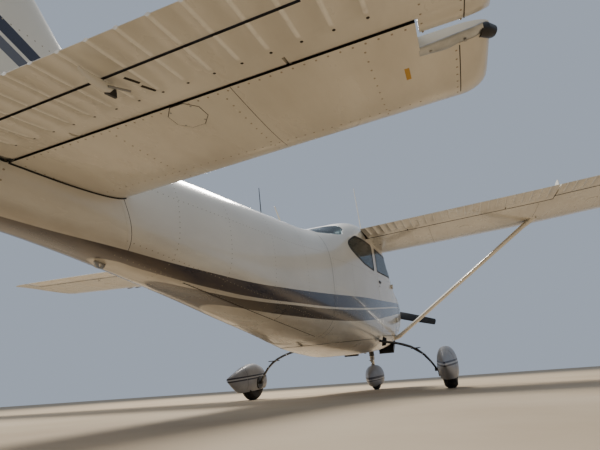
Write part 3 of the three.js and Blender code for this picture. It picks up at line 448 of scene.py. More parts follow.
def lathe(profile: Sequence[Sequence[float]], center: Point, axis: str = "x",
          sides: int = 48) -> Mesh:
    """A turned solid or ring.

    Args:
        profile: Radius and place along the axis of each corner, closed on itself.
        center: The level point on the axle.
        axis: The axle's direction, "x", "y" or "z".
        sides: Steps around.

    Returns:
        Its mesh.
    """
    rows = np.asarray(profile, float)
    order = {"x": (2, 0, 1), "y": (0, 2, 1), "z": (0, 1, 2)}[axis]
    rings = []
    for turn in np.linspace(0, 2 * np.pi, sides, endpoint=False):
        local = np.stack([rows[:, 0] * np.cos(turn), rows[:, 0] * np.sin(turn), rows[:, 1]], 1)
        rings.append(local[:, order])
    grid = np.array(rings)
    count = grid.shape[1]
    faces = [
        (i * count + j, i * count + (j + 1) % count,
         ((i + 1) % sides) * count + (j + 1) % count, ((i + 1) % sides) * count + j)
        for i in range(sides)
        for j in range(count)
    ]
    return Mesh().add(grid.reshape(-1, 3) + np.asarray(center, float), faces)


def washer(inner: float, outer: float, start: float, end: float) -> list[tuple[float, float]]:
    """Profile of a flat ring between two radii and two places along its axle."""
    return [(inner, start), (outer, start), (outer, end), (inner, end)]


def merged(parts: Iterable[Mesh]) -> Mesh:
    """Puts several meshes in one.

    Args:
        parts: The meshes.

    Returns:
        One mesh.
    """
    made = Mesh()
    for part in parts:
        made.add(np.concatenate(part.points), part.faces)
    return made


@dataclass(frozen=True)
class Rivets:
    """Small domed heads that stand proud of a skin.

    Attributes:
        radius: Radius of a head.
        rise: Height of a head.
        sides: Sides of a head.
    """

    radius: float = 3.2
    rise: float = 1.1
    sides: int = 7

    def heads(self, places: Sequence[tuple[np.ndarray, np.ndarray]]) -> Mesh:
        """Makes a head at each place.

        Args:
            places: Point on the skin and outward direction of each head.

        Returns:
            All the heads.
        """
        made = Mesh()
        turn = np.linspace(0, 2 * np.pi, self.sides, endpoint=False)
        for point, way in places:
            way = way / np.linalg.norm(way)
            across, up = along_skin(way)
            ring = np.outer(np.cos(turn), across) + np.outer(np.sin(turn), up)
            rows = [point - way * self.rise + ring * self.radius,
                    point + way * self.rise * 0.35 + ring * self.radius,
                    point + way * self.rise + ring * self.radius * 0.55]
            made.loft(rows)
        return made


class Hull:
    """The fuselage as superelliptic sections on a smooth curve through its stations."""

    # y, low, high, widest z, half width, upper power, lower power
    STATIONS = np.array([
        (400, 860, 1385, 1125, 300, 2.2, 2.2), (425, 800, 1410, 1120, 352, 2.3, 2.3),
        (500, 735, 1428, 1110, 405, 2.5, 2.4), (700, 665, 1448, 1090, 470, 2.8, 2.7),
        (1000, 598, 1470, 1070, 520, 3.1, 3.0), (1300, 552, 1488, 1060, 552, 3.3, 3.2),
        (1480, 530, 1500, 1060, 564, 3.4, 3.4), (1600, 512, 1568, 1080, 570, 3.5, 3.7),
        (1850, 485, 1748, 1120, 580, 4.0, 4.2), (2110, 466, 1925, 1160, 588, 5.0, 4.5),
        (2240, 460, 2035, 1170, 590, 6.4, 4.5), (2500, 455, 2060, 1180, 590, 7.0, 4.5),
        (3100, 458, 2060, 1180, 588, 7.0, 4.2), (3500, 500, 2028, 1180, 575, 6.2, 4.0),
        (3740, 530, 1960, 1175, 560, 5.4, 3.9), (4100, 580, 1828, 1170, 520, 4.2, 3.6),
        (4480, 645, 1750, 1165, 466, 2.9, 3.2), (5000, 745, 1720, 1165, 404, 2.5, 2.9),
        (5500, 838, 1694, 1180, 348, 2.4, 2.7), (6000, 935, 1664, 1210, 292, 2.4, 2.5),
        (6500, 1025, 1630, 1250, 236, 2.3, 2.4), (6740, 1066, 1612, 1272, 209, 2.3, 2.4),
        (7000, 1105, 1592, 1300, 188, 2.3, 2.4), (7250, 1132, 1572, 1325, 166, 2.3, 2.4),
        (7520, 1160, 1545, 1345, 120, 2.3, 2.4),
    ], float)
    SIDES = 88
    STEP = 70.0

    def section(self, y: float) -> np.ndarray:
        """Low, high, widest z, half width and the two powers at y.

        Args:
            y: The station.

        Returns:
            The six values.
        """
        rows = self.STATIONS
        last = len(rows) - 1
        i = int(np.clip(np.searchsorted(rows[:, 0], y), 1, last))

        def slope(k: int) -> np.ndarray:
            """Slope of every column at a station."""
            a, b = rows[max(k - 1, 0)], rows[min(k + 1, last)]
            return (b[1:] - a[1:]) / (b[0] - a[0])

        span = rows[i, 0] - rows[i - 1, 0]
        return cubic((y - rows[i - 1, 0]) / span, span, rows[i - 1 : i + 1, 1:],
                     (slope(i - 1), slope(i)))

    def ring(self, y: float, inset: float = 0.0) -> np.ndarray:
        """One section, drawn in by an inset.

        Args:
            y: The station.
            inset: How far it is drawn in.

        Returns:
            Level points, one a row.
        """
        low, high, wide, half, upper, lower = self.section(y)
        turn = around(self.SIDES, 0.5)
        cos, sin = np.cos(turn), np.sin(turn)
        power = np.where(sin > 0, upper, lower)
        reach = np.where(sin > 0, high - inset - wide, wide - low - inset)
        x = boxed(cos, 2 / power) * (half - inset)
        z = wide + boxed(sin, 2 / power) * reach
        return np.stack([x, np.full_like(x, y), z], 1)

    def solid(self, start: float, end: float, inset: float = 0.0) -> Mesh:
        """The fuselage between two stations, drawn in by an inset.

        Args:
            start: First station.
            end: Last station.
            inset: How far it is drawn in.

        Returns:
            Its mesh.
        """
        inner = [y for y in self.STATIONS[:, 0] if start + 15 < y < end - 15]
        knots = [start, *inner, end]
        rows = [start]
        for a, b in zip(knots, knots[1:]):
            rows += list(np.linspace(a, b, max(1, round((b - a) / self.STEP)) + 1)[1:])
        return Mesh().loft([self.ring(y, inset) for y in rows])

    def shell(self, start: float, end: float, wall: float, past: float = 12.0) -> bpy.types.Object:
        """A tube of the fuselage's outline, open at both ends."""
        tube = self.solid(start, end).build("shell")
        return carve(tube, [self.solid(start - past, end + past, wall)])

    def side_x(self, y: float, z: float) -> float:
        """Half width of the fuselage at a height."""
        low, high, wide, half, upper, lower = self.section(y)
        power, reach = (upper, high - wide) if z > wide else (lower, wide - low)
        return half * max(0.0, 1 - abs((z - wide) / reach) ** power) ** (1 / power)


HULL = Hull()
HULL_STERN = 7520.0


@dataclass(frozen=True)
class Foil:
    """A four-digit aerofoil section."""

    thick: float
    camber: float = 0.0
    peak: float = 0.4

    def half(self, u: np.ndarray | float) -> np.ndarray | float:
        """Half thickness at a share of the chord."""
        return 5 * self.thick * (0.2969 * np.sqrt(u) - 0.126 * u - 0.3516 * u**2
                                 + 0.2843 * u**3 - 0.1015 * u**4)

    def mean(self, u: np.ndarray | float) -> np.ndarray | float:
        """Height of the mean line at a share of the chord."""
        ahead = self.camber / self.peak**2 * (2 * self.peak * u - u**2)
        behind = self.camber / (1 - self.peak) ** 2 * (1 - 2 * self.peak + 2 * self.peak * u - u**2)
        return np.where(u < self.peak, ahead, behind)


@dataclass
class Beads:
    """Chordwise ribs pressed in the skin of a control surface.

    Attributes:
        places: Place of each bead along the span.
        half: Half of its width at the foot.
        rise: Its height.
        start: Share of the chord where it begins.
        ramp: Share of the chord over which it rises.
    """

    places: Sequence[float]
    half: float = 8.0
    rise: float = 3.4
    start: float = 0.79
    ramp: float = 0.02

    def spans(self) -> list[float]:
        """Places along the span that give each bead its form."""
        shares = (-1, -0.62, -0.28, 0, 0.28, 0.62, 1)
        return [place + share * self.half for place in self.places for share in shares]

    def height(self, span: float, u: np.ndarray) -> np.ndarray:
        """Height of the bead above the skin."""
        near = min((abs(span - place) for place in self.places), default=1e9) / self.half
        crown = math.cos(min(near, 1.0) * math.pi / 2) ** 1.3
        return self.rise * crown * smooth_step((u - self.start) / self.ramp)


@dataclass
class Surface:
    """A lifting surface with sections interpolated from a table.

    Attributes:
        table: Span, leading edge, trailing edge, pitch in degrees, level and the share of
            full thickness or, for an upright surface, half the thickness.
        foil: Its section.
        upright: Whether its span runs up.
        drop: How far it is lowered.
        rake: Slope of its hinge against its span.
    """

    table: np.ndarray
    foil: Foil
    upright: bool = False
    drop: float = 0.0
    rake: float = 0.0

    def row(self, span: float) -> np.ndarray:
        """Lead, trail, pitch, level and thickness at a place along the span."""
        return np.array([np.interp(span, self.table[:, 0], self.table[:, k]) for k in range(1, 6)])

    def lay(self, span: float, aft: np.ndarray, up: np.ndarray) -> np.ndarray:
        """Puts span, aft and up in space."""
        wide = np.full_like(aft, span)
        columns = [up, aft, wide] if self.upright else [wide, aft, up - self.drop]
        return np.stack(columns, -1)

    def at(self, span: float, u: np.ndarray | float, v: np.ndarray | float) -> np.ndarray:
        """The place at a share of the chord and a height above it, in units of the chord.

        Args:
            span: Place along the span.
            u: Shares of the chord.
            v: Heights above it.

        Returns:
            Level points, one a row.
        """
        lead, trail, pitch, level, _ = self.row(span)
        cos, sin = math.cos(math.radians(pitch)), math.sin(math.radians(pitch))
        chord = trail - lead
        u, v = np.broadcast_arrays(np.asarray(u, float), np.asarray(v, float))
        return self.lay(span, lead + chord * (u * cos + v * sin),
                        level + chord * (v * cos - u * sin))

    def height(self, span: float, u: np.ndarray | float, side: float) -> np.ndarray:
        """Height of the upper or lower skin above the chord, in units of the chord.

        Args:
            span: Place along the span.
            u: Shares of the chord.
            side: Upper or lower skin.

        Returns:
            The heights.
        """
        lead, trail, _, _, share = self.row(span)
        u = np.asarray(u, float)
        if self.upright:
            return side * Foil(1.0).half(u) * 2 * share / (trail - lead)
        return self.foil.mean(u) + share * side * self.foil.half(u)

    def skin(self, span: float, u: np.ndarray | float, side: float,
             beads: Beads | None = None) -> np.ndarray:
        """Points on the upper or lower skin, with its beads.

        Args:
            span: Place along the span.
            u: Shares of the chord.
            side: Upper or lower skin.
            beads: Ribs pressed in the skin.

        Returns:
            Level points, one a row.
        """
        high = self.height(span, u, side)
        if beads is not None:
            lead, trail = self.row(span)[:2]
            high = high + side * beads.height(span, np.asarray(u, float)) / (trail - lead)
        return self.at(span, u, high)

    def share(self, span: float, aft: float) -> float:
        """Aft position as a share of the chord."""
        lead, trail = self.row(span)[:2]
        return (aft - lead) / (trail - lead)

    def spans(self, start: float, end: float, extra: Iterable[float] = (),
              step: float = 400.0) -> list[float]:
        """Places along the span for a loft, with the table's own and some extra ones.

        Args:
            start: One end.
            end: The other end.
            extra: More places.
            step: Widest distance between places.

        Returns:
            The places.
        """
        between = {s for s in (*self.table[:, 0], *extra) if start + 0.5 < s < end - 0.5}
        knots = [start, *sorted(between), end]
        rows = [start]
        for a, b in zip(knots, knots[1:]):
            rows += list(np.linspace(a, b, max(1, round((b - a) / step)) + 1)[1:])
        return rows

    def nose(self, span: float, hinge: float) -> tuple[float, float]:
        """Middle height and radius of a round nose at a hinge, in units of the chord."""
        top, bottom = self.height(span, hinge, 1), self.height(span, hinge, -1)
        return float(top + bottom) / 2, float(top - bottom) / 2

    def whole(self, start: float, end: float, steps: int = 34) -> Mesh:
        """The surface from its leading to its trailing edge.

        Args:
            start: One end.
            end: The other end.
            steps: Points on each skin.

        Returns:
            Its mesh.
        """
        u = (1 - np.cos(np.pi * (np.arange(steps) + 1) / steps)) / 2
        rings = []
        for span in self.spans(start, end):
            rings.append(np.concatenate([self.skin(span, u[::-1], 1),
                                         self.skin(span, np.zeros(1), 1),
                                         self.skin(span, u, -1)]))
        return Mesh().loft(rings)

    def flap(self, start: float, end: float, hinge_at: Callable[[float], float],
             beads: Beads | None = None) -> Mesh:
        """The moving part behind a hinge, with a round nose about it.

        Args:
            start: One end.
            end: The other end.
            hinge_at: Share of the chord of the hinge at a place along the span.
            beads: Ribs pressed in its skins.

        Returns:
            Its mesh.
        """
        back = np.array([1, 0.994, 0.9, 0.75, 0.6, 0.45, 0.3, 0.22, 0.18, 0.14, 0.1, 0.05])
        arc = np.radians(np.linspace(90, 270, 13))
        extra = beads.spans() if beads else []
        rings = []
        for span in self.spans(start, end, extra):
            hinge = hinge_at(span)
            middle, radius = self.nose(span, hinge)
            u = hinge + (1 - hinge) * back
            rings.append(np.concatenate([
                self.skin(span, u, 1, beads),
                self.at(span, hinge + radius * np.cos(arc), middle + radius * np.sin(arc)),
                self.skin(span, u[::-1], -1, beads),
            ]))
        return Mesh().loft(rings)

    def cove(self, start: float, end: float, hinge_at: Callable[[float], float],
             gap: float) -> Mesh:
        """What the fixed part loses: all behind the hinge, and a cove round the nose.

        Args:
            start: One end.
            end: The other end.
            hinge_at: Share of the chord of the hinge at a place along the span.
            gap: Clearance round the nose.

        Returns:
            Its mesh.
        """
        arc = np.radians(np.linspace(90, 270, 17))
        rings = []
        for span in self.spans(start, end):
            hinge = hinge_at(span)
            lead, trail = self.row(span)[:2]
            middle, radius = self.nose(span, hinge)
            reach = radius + gap / (trail - lead)
            tall = 300 / (trail - lead)
            rings.append(np.concatenate([
                self.at(span, [1.3, hinge], [tall, tall]),
                self.at(span, hinge + reach * np.cos(arc), middle + reach * np.sin(arc)),
                self.at(span, [hinge, 1.3], [-tall, -tall]),
            ]))
        return Mesh().loft(rings)

    def horn(self, start: float, end: float, lead_at: Callable[[float], float]) -> Mesh:
        """A balance horn, carried forward of the hinge.

        Args:
            start: One end.
            end: The other end.
            lead_at: Share of the chord of the leading edge at a place along the span.

        Returns:
            Its mesh.
        """
        rings = []
        for span in self.spans(start, end):
            over, under = (self.horn_side(span, lead_at(span), sign) for sign in (1, -1))
            rings.append(np.concatenate([over[::-1], under[1:]]))
        return Mesh().loft(rings)

    def horn_side(self, span: float, lead: float, side: float) -> np.ndarray:
        """One side of a horn's section, from its leading edge back.

        Args:
            span: Place along the span.
            lead: Share of the chord it starts at.
            side: Upper or lower side.

        Returns:
            Its points.
        """
        ahead = np.array([[0, 0], [0.002, 0.3], [0.012, 0.6], [0.03, 0.85], [0.06, 0.97], [0.09, 1]])
        u = lead + ahead[:, 0]
        own, other = self.height(span, u, side), self.height(span, u, -side)
        middle = (own + other) / 2
        front = self.at(span, u, middle + (own - middle) * ahead[:, 1])
        back = lead + (1 - lead) * np.array([0.3, 0.5, 0.75, 1])
        return np.concatenate([front, self.skin(span, back, side)])

    def plate(self, span: float, hinge: float, wide: float, ahead: float, behind: float,
              tall: float) -> Mesh:
        """A plate across the hinge line: a fixed lug, or the slot that it turns in.

        Args:
            span: Its middle along the span.
            hinge: Share of the chord of the hinge.
            wide: Its width along the span.
            ahead: Reach ahead of the hinge.
            behind: Reach behind it.
            tall: Half of its height.

        Returns:
            Its mesh.
        """
        lead, trail = self.row(span)[:2]
        chord = trail - lead
        middle, _ = self.nose(span, hinge)
        corners = np.array([[-ahead, -tall], [behind, -tall], [behind, tall], [-ahead, tall]])
        rings = []
        for side in (-wide / 2, wide / 2):
            base = self.at(span, hinge + corners[:, 0] / chord, middle + corners[:, 1] / chord)
            over = side - corners[:, 0] * self.rake
            along = np.full(4, side * self.rake)
            flat = np.zeros(4)
            base += np.stack([flat, along, over] if self.upright else [over, along, flat], -1)
            rings.append(base)
        return Mesh().loft(rings)


Value = object


def add(tree: bpy.types.NodeTree, kind: str, settings: dict[str, Value] | None = None,
        links: dict[str | int, Value] | None = None) -> bpy.types.Node:
    """Adds a node with its settings and links.

    Args:
        tree: The node tree.
        kind: The node's type name, without its "ShaderNode" start.
        settings: Attributes of the node.
        links: Value, or output socket of another node, for each input by name or number.

    Returns:
        The node.
    """
    made = tree.nodes.new("ShaderNode" + kind)
    for name, value in (settings or {}).items():
        setattr(made, name, value)
    for name, value in (links or {}).items():
        if isinstance(value, bpy.types.NodeSocket):
            tree.links.new(value, made.inputs[name])
        else:
            made.inputs[name].default_value = value
    return made


def blank(name: str) -> tuple[bpy.types.Material, bpy.types.NodeTree]:
    """Starts a material.

    Args:
        name: Its name.

    Returns:
        The material and its node tree.
    """
    material = bpy.data.materials.new(name)
    material.use_nodes = True
    material.node_tree.nodes.clear()
    return material, material.node_tree


def principled(tree: bpy.types.NodeTree, links: dict[str | int, Value],
               clear: Value | None = None, share: float = 0.0) -> None:
    """Ends a material with a principled shader.

    Args:
        tree: The node tree.
        links: Inputs of the shader.
        clear: Colour of a clear shader that is mixed in, where there is one.
        share: How much of the clear shader is mixed in.
    """
    shown = add(tree, "BsdfPrincipled", {}, links).outputs[0]
    if clear is not None:
        through = add(tree, "BsdfTransparent", {}, {"Color": clear}).outputs[0]
        shown = add(tree, "MixShader", {}, {0: share, 1: shown, 2: through}).outputs[0]
    add(tree, "OutputMaterial", {}, {0: shown})


def object_point(tree: bpy.types.NodeTree) -> bpy.types.NodeSocket:
    """Place of a point on a piece, in parked metres."""
    return add(tree, "TexCoord").outputs["Object"]


def mottle(tree: bpy.types.NodeTree, size_mm: float, detail: float = 3.0,
           stretch: Sequence[float] = (1, 1, 1), rough: float = 0.55) -> bpy.types.NodeSocket:
    """Cloudy noise with features of a real size.

    Args:
        tree: The node tree.
        size_mm: Size of a feature in millimetres.
        detail: Octaves of finer noise.
        stretch: How much longer features are along each axis.
        rough: Strength of the finer octaves.

    Returns:
        The noise from 0 to 1.
    """
    scale = [1000 / size_mm / s for s in stretch]
    point = add(tree, "Mapping", {"vector_type": "POINT"},
                {"Vector": object_point(tree), "Scale": scale}).outputs[0]
    return add(tree, "TexNoise", {}, {"Vector": point, "Scale": 1.0, "Detail": detail,
                                      "Roughness": rough}).outputs["Fac"]


def ranged(tree: bpy.types.NodeTree, value: bpy.types.NodeSocket, low: float, high: float,
           to_low: float = 0.0, to_high: float = 1.0) -> bpy.types.NodeSocket:
    """Maps a range of a value to another range and holds it there.

    Args:
        tree: The node tree.
        value: The value.
        low: Start of its range.
        high: End of its range.
        to_low: Start of the new range.
        to_high: End of the new range.

    Returns:
        The new value.
    """
    return add(tree, "MapRange", {"clamp": True}, {
        "Value": value, "From Min": low, "From Max": high, "To Min": to_low, "To Max": to_high,
    }).outputs[0]


def banded(tree: bpy.types.NodeTree, value: bpy.types.NodeSocket, low: float, high: float,
           soft: float) -> bpy.types.NodeSocket:
    """Gives 1 between two values, with soft edges, and 0 elsewhere.

    Args:
        tree: The node tree.
        value: The value.
        low: Start of the band.
        high: End of the band.
        soft: Half of the width of its soft edges.

    Returns:
        The mask.
    """
    return figure(tree, "MULTIPLY", ranged(tree, value, low - soft, low + soft),
                  ranged(tree, value, high - soft, high + soft, 1.0, 0.0))


def blend(tree: bpy.types.NodeTree, share: Value, first: Value, second: Value,
          how: str = "MIX") -> bpy.types.NodeSocket:
    """Mixes two colours by a share."""
    return add(tree, "Mix", {"data_type": "RGBA", "blend_type": how},
               {0: share, 6: first, 7: second}).outputs[2]


def figure(tree: bpy.types.NodeTree, how: str, first: Value,
           second: Value = 0.0) -> bpy.types.NodeSocket:
    """Works out a number from one or two others."""
    return add(tree, "Math", {"operation": how}, {0: first, 1: second}).outputs[0]


def relief(tree: bpy.types.NodeTree, height: bpy.types.NodeSocket, depth_mm: float,
           below: bpy.types.NodeSocket | None = None) -> bpy.types.NodeSocket:
    """Turns a height to a bumped normal.

    Args:
        tree: The node tree.
        height: Height from 0 to 1.
        depth_mm: Its full depth in millimetres.
        below: Another bumped normal that it lies on.

    Returns:
        The bumped normal.
    """
    links: dict[str | int, Value] = {"Height": height, "Distance": depth_mm * MM, "Strength": 1.0}
    if below is not None:
        links["Normal"] = below
    return add(tree, "Bump", {}, links).outputs[0]


def level_point(tree: bpy.types.NodeTree) -> bpy.types.Node:
    """Level metres of a point, as separate x, y and z outputs.

    Args:
        tree: The node tree.

    Returns:
        The node with the three outputs.
    """
    turn = Matrix.Rotation(PARK_ANGLE, 3, "X")
    shift = -(turn @ Vector(STAND.origin))
    point = add(tree, "Mapping", {"vector_type": "POINT"}, {
        "Vector": object_point(tree), "Rotation": (PARK_ANGLE, 0, 0), "Location": shift,
    }).outputs[0]
    return add(tree, "SeparateXYZ", {}, {0: point})


WAVE_TURN = 6.28  # phase of one whole wave at a scale of one


class Livery(Enum):
    """Where the painted stripes lie."""

    PLAIN = "plain"
    FUSELAGE = "fuselage"
    FIN = "fin"


NAVY = "#1b2036"
SLATE = "#5a5c66"
WARM_GREY = "#413e3d"
PAINT_EDGE = 0.0008  # half of a masked edge's soft width in metres


@dataclass(frozen=True)
class StripeEdge:
    """One edge of a painted stripe: its height at places along the fuselage, in metres."""

    along: tuple[tuple[float, float], ...]

    def mask(self, tree: bpy.types.NodeTree, y: bpy.types.NodeSocket,
             z: bpy.types.NodeSocket) -> bpy.types.NodeSocket:
        """Gives 1 below the edge and 0 above it.

        Args:
            tree: The node tree.
            y: Level distance aft in metres.
            z: Level height in metres.

        Returns:
            The mask.
        """
        span, tall = 8.0, 2.0
        curve = add(tree, "FloatCurve", {}, {"Value": figure(tree, "DIVIDE", y, span)})
        points = curve.mapping.curves[0].points
        rows = sorted(self.along)
        for point, (aft, up) in zip(points, (rows[0], rows[-1])):
            point.location = (aft / span, up / tall)
        for aft, up in rows[1:-1]:
            points.new(aft / span, up / tall)
        curve.mapping.update()
        edge = figure(tree, "MULTIPLY", curve.outputs[0], tall)
        above = figure(tree, "SUBTRACT", z, edge)
        return ranged(tree, above, -PAINT_EDGE, PAINT_EDGE, 1.0, 0.0)


@dataclass(frozen=True)
class Crests:
    """Painted highlights along the crests of pressed beads, where they would catch the light.

    Attributes:
        first: Level x of the first bead in metres.
        pitch: Distance between beads in metres.
        start: Level y in metres where they begin at the first bead.
        sweep: How much farther forward they begin for each metre out.
        half: Half of the highlight's width in metres.
        highlight: Colour of the painted highlight.
    """

    first: float
    pitch: float
    start: float
    sweep: float = 0.0
    half: float = 0.0052
    rubbed: str = "#f4efe2"

    def lighten(self, tree: bpy.types.NodeTree, ground: bpy.types.NodeSocket,
                rubbed: tuple[float, ...]) -> bpy.types.NodeSocket:
        """Paints a highlight along the crests over a colour.

        Args:
            tree: The node tree.
            ground: The colour below.
            highlight: Colour of the painted highlight.

        Returns:
            The colour with its painted highlights.
        """
        place = level_point(tree)
        out = figure(tree, "ABSOLUTE", place.outputs[0])
        phase = figure(tree, "ADD", figure(tree, "SUBTRACT", out, self.first), self.pitch * 1.5)
        near = figure(tree, "PINGPONG", phase, self.pitch / 2)
        # PINGPONG is half the pitch at a crest and 0 midway between two crests.
        crest = ranged(tree, near, self.pitch / 2 - self.half * 1.5, self.pitch / 2 - self.half * 0.7)
        lead = figure(tree, "SUBTRACT", self.start + self.first * self.sweep,
                      figure(tree, "MULTIPLY", out, self.sweep))
        aft = ranged(tree, figure(tree, "SUBTRACT", place.outputs[1], lead), 0.0, 0.012)
        # Noise makes the painted highlight patchy along the crests.
        patchy = ranged(tree, mottle(tree, 30, 3.0), 0.25, 0.5, 0.45, 1.0)
        share = figure(tree, "MULTIPLY", figure(tree, "MULTIPLY", crest, aft), patchy)
        return blend(tree, share, ground, rubbed)


class Finish:
    """A finish that makes a material of its own name."""

    name: str

    def fill(self, tree: bpy.types.NodeTree) -> None:
        """Fills the material's empty node tree."""
        raise NotImplementedError

    def build(self) -> bpy.types.Material:
        """Makes the material."""
        material, tree = blank(self.name)
        self.fill(tree)
        return material


@dataclass(frozen=True)
class Enamel(Finish):
    """Two-pack polyurethane enamel, sprayed on aluminium sheet and polished.

    It gives a cream white with a clear, slightly rippled gloss. The thin sheet draws in
    between its frames, so reflections bend, and faces that look down darken with dust and painted shade.
    """

    name: str
    paint: str = "#e2dccd"
    dust: str = "#8f7a5c"
    livery: Livery = Livery.PLAIN
    dust_share: float = 0.34
    ripple_mm: float = 0.9
    crests: "Crests | None" = None

    # Level y and z in metres of each stripe's edges on the side of the fuselage. Aft of 6.67
    # the pinstripes of the two sides have met under the keel.
    EDGES = {
        "navy_top": StripeEdge(((0.4, 1.2), (1.7, 1.135), (2.86, 1.087), (3.81, 1.06), (4.57, 1.038),
                                (5.3, 1.026), (5.75, 1.029), (6.13, 1.051), (6.42, 1.071),
                                (6.69, 1.096), (6.95, 1.116), (7.19, 1.135), (7.6, 1.165))),
        "navy_low": StripeEdge(((0.4, 1.14), (2.14, 1.048), (3.0, 0.991), (3.85, 0.941), (4.57, 0.923),
                                (5.1, 0.928), (5.67, 0.944), (6.03, 0.976), (6.32, 1.01),
                                (6.55, 1.041), (6.67, 1.059), (7.6, 1.12))),
        "line_low": StripeEdge(((0.4, 1.122), (2.14, 1.03), (3.0, 0.973), (3.85, 0.923), (4.57, 0.905),
                                (5.1, 0.91), (5.67, 0.926), (6.03, 0.96), (6.32, 0.996),
                                (6.55, 1.028), (6.67, 1.048), (7.6, 1.11))),
        "grey_low": StripeEdge(((0.4, 1.045), (1.7, 0.965), (2.65, 0.887), (3.5, 0.823), (4.11, 0.803),
                                (4.52, 0.809), (5.01, 0.83), (5.38, 0.855), (5.84, 0.906),
                                (6.1, 0.946), (7.6, 1.09))),
    }

    def stripes(self, tree: bpy.types.NodeTree,
                ground: bpy.types.NodeSocket) -> bpy.types.NodeSocket:
        """Paints the stripes over the ground colour.

        Args:
            tree: The node tree.
            ground: The colour below.

        Returns:
            The colour with its stripes.
        """
        if self.livery is Livery.PLAIN:
            return ground
        place = level_point(tree)
        y, z = place.outputs[1], place.outputs[2]
        if self.livery is Livery.FUSELAGE:
            layers = [("navy_top", linear(NAVY)), ("navy_low", linear(self.paint)),
                      ("line_low", linear(WARM_GREY)), ("grey_low", linear(self.paint))]
            for edge, colour in layers:
                ground = blend(tree, self.EDGES[edge].mask(tree, y, z), ground, colour)
            return ground
        across = figure(tree, "SUBTRACT", z, figure(tree, "MULTIPLY", y, FIN_STRIPE.slope))
        for start, end, colour in FIN_STRIPE.bands:
            within = banded(tree, across, start, end, PAINT_EDGE)
            ground = blend(tree, within, ground, linear(colour))
        return ground

    def fill(self, tree: bpy.types.NodeTree) -> None:
        """Lays the finish's colour, gloss and relief.

        Args:
            tree: The node tree.
        """
        colour = self.stripes(tree, linear(self.paint))
        # Sprayed in several passes, so the tone drifts a little over half a metre.
        tone = ranged(tree, mottle(tree, 520, 2.0), 0.3, 0.7, 0.955, 1.03)
        colour = blend(tree, 1.0, colour, tone, "MULTIPLY")
        # Dust settles in streaks and specks; faces that look down take most of it, partly dust and
        # partly painted shade under the airframe.
        normal = add(tree, "SeparateXYZ", {}, {0: add(tree, "NewGeometry").outputs["Normal"]})
        under = ranged(tree, normal.outputs[2], 0.1, -0.8, 0.15, 1.0)
        film = ranged(tree, mottle(tree, 260, 5.0, (1, 2.6, 1), 0.62), 0.34, 0.78)
        specks = ranged(tree, mottle(tree, 9, 2.0), 0.66, 0.76, 0.0, 0.6)
        dirt_and_shade = figure(tree, "MULTIPLY", figure(tree, "MAXIMUM", film, specks), under)
        share = figure(tree, "MULTIPLY", dirt_and_shade, self.dust_share)
        colour = blend(tree, share, colour, linear(self.dust))
        # A painted highlight along the bead crests.
        if self.crests:
            colour = self.crests.lighten(tree, colour, linear(self.crests.rubbed))
        rough = ranged(tree, dirt_and_shade, 0.0, 1.0, 0.23, 0.42)
        # Orange peel is about 2 mm across; it is drawn at 7 mm so that it shows.
        peel = relief(tree, mottle(tree, 7, 1.0), 0.02)
        sheet = relief(tree, mottle(tree, 230, 1.0), self.ripple_mm, peel)
        principled(tree, {
            "Base Color": colour, "Roughness": rough, "IOR": 1.5, "Normal": sheet,
            "Coat Weight": 0.55, "Coat Roughness": 0.07, "Coat IOR": 1.5,
        })


@dataclass(frozen=True)
class FinStripe:
    """Slanted bands on the fin and rudder.

    Attributes:
        slope: Metres up for each metre aft.
        bands: Start and end of each band's height at y = 0, in metres, and its colour.
    """

    slope: float
    bands: tuple[tuple[float, float, str], ...]


FIN_STRIPE = FinStripe(0.4, ((-1.0, -0.938, NAVY), (-1.068, -1.018, SLATE)))


@dataclass(frozen=True)
class MouldedGlassFibre(Finish):
    """Gel-coated glass-fibre cloth, laid up in a mould and painted grey.

    It gives a flatter grey than the sheet metal, with a faint weave and chips from stones.
    """

    name: str = "gel_coated_glass_fibre"
    paint: str = "#828388"
    chip: str = "#4b4946"
    pale: str = "#9a9ca1"
    # Level z in metres where each painted band starts and ends, and its colour
    bands: tuple[tuple[float, float, str], ...] = ()

    def fill(self, tree: bpy.types.NodeTree) -> None:
        """Lays the finish's colour, gloss and relief.

        Args:
            tree: The node tree.
        """
        tone = ranged(tree, mottle(tree, 140, 4.0), 0.3, 0.72)
        colour = blend(tree, tone, linear(self.paint), linear(self.pale))
        height = level_point(tree).outputs[2] if self.bands else None
        for low, high, paint in self.bands:
            colour = blend(tree, banded(tree, height, low, high, 0.001), colour, linear(paint))
        cloud = mottle(tree, 11, 4.0, (1, 1, 1), 0.7)
        chips = ranged(tree, cloud, 0.7, 0.74, 0.0, 0.7)
        colour = blend(tree, chips, colour, linear(self.chip))
        # Woven cloth prints through at 4 mm.
        weave = add(tree, "TexWave", {"wave_type": "BANDS", "bands_direction": "DIAGONAL"}, {
            "Vector": object_point(tree), "Scale": 1000 / 4 / WAVE_TURN, "Distortion": 0.4}).outputs[1]
        bumped = relief(tree, weave, 0.03, relief(tree, chips, -0.25))
        principled(tree, {
            "Base Color": colour, "Roughness": ranged(tree, tone, 0, 1, 0.38, 0.55),
            "IOR": 1.5, "Normal": bumped, "Coat Weight": 0.2, "Coat Roughness": 0.2,
        })


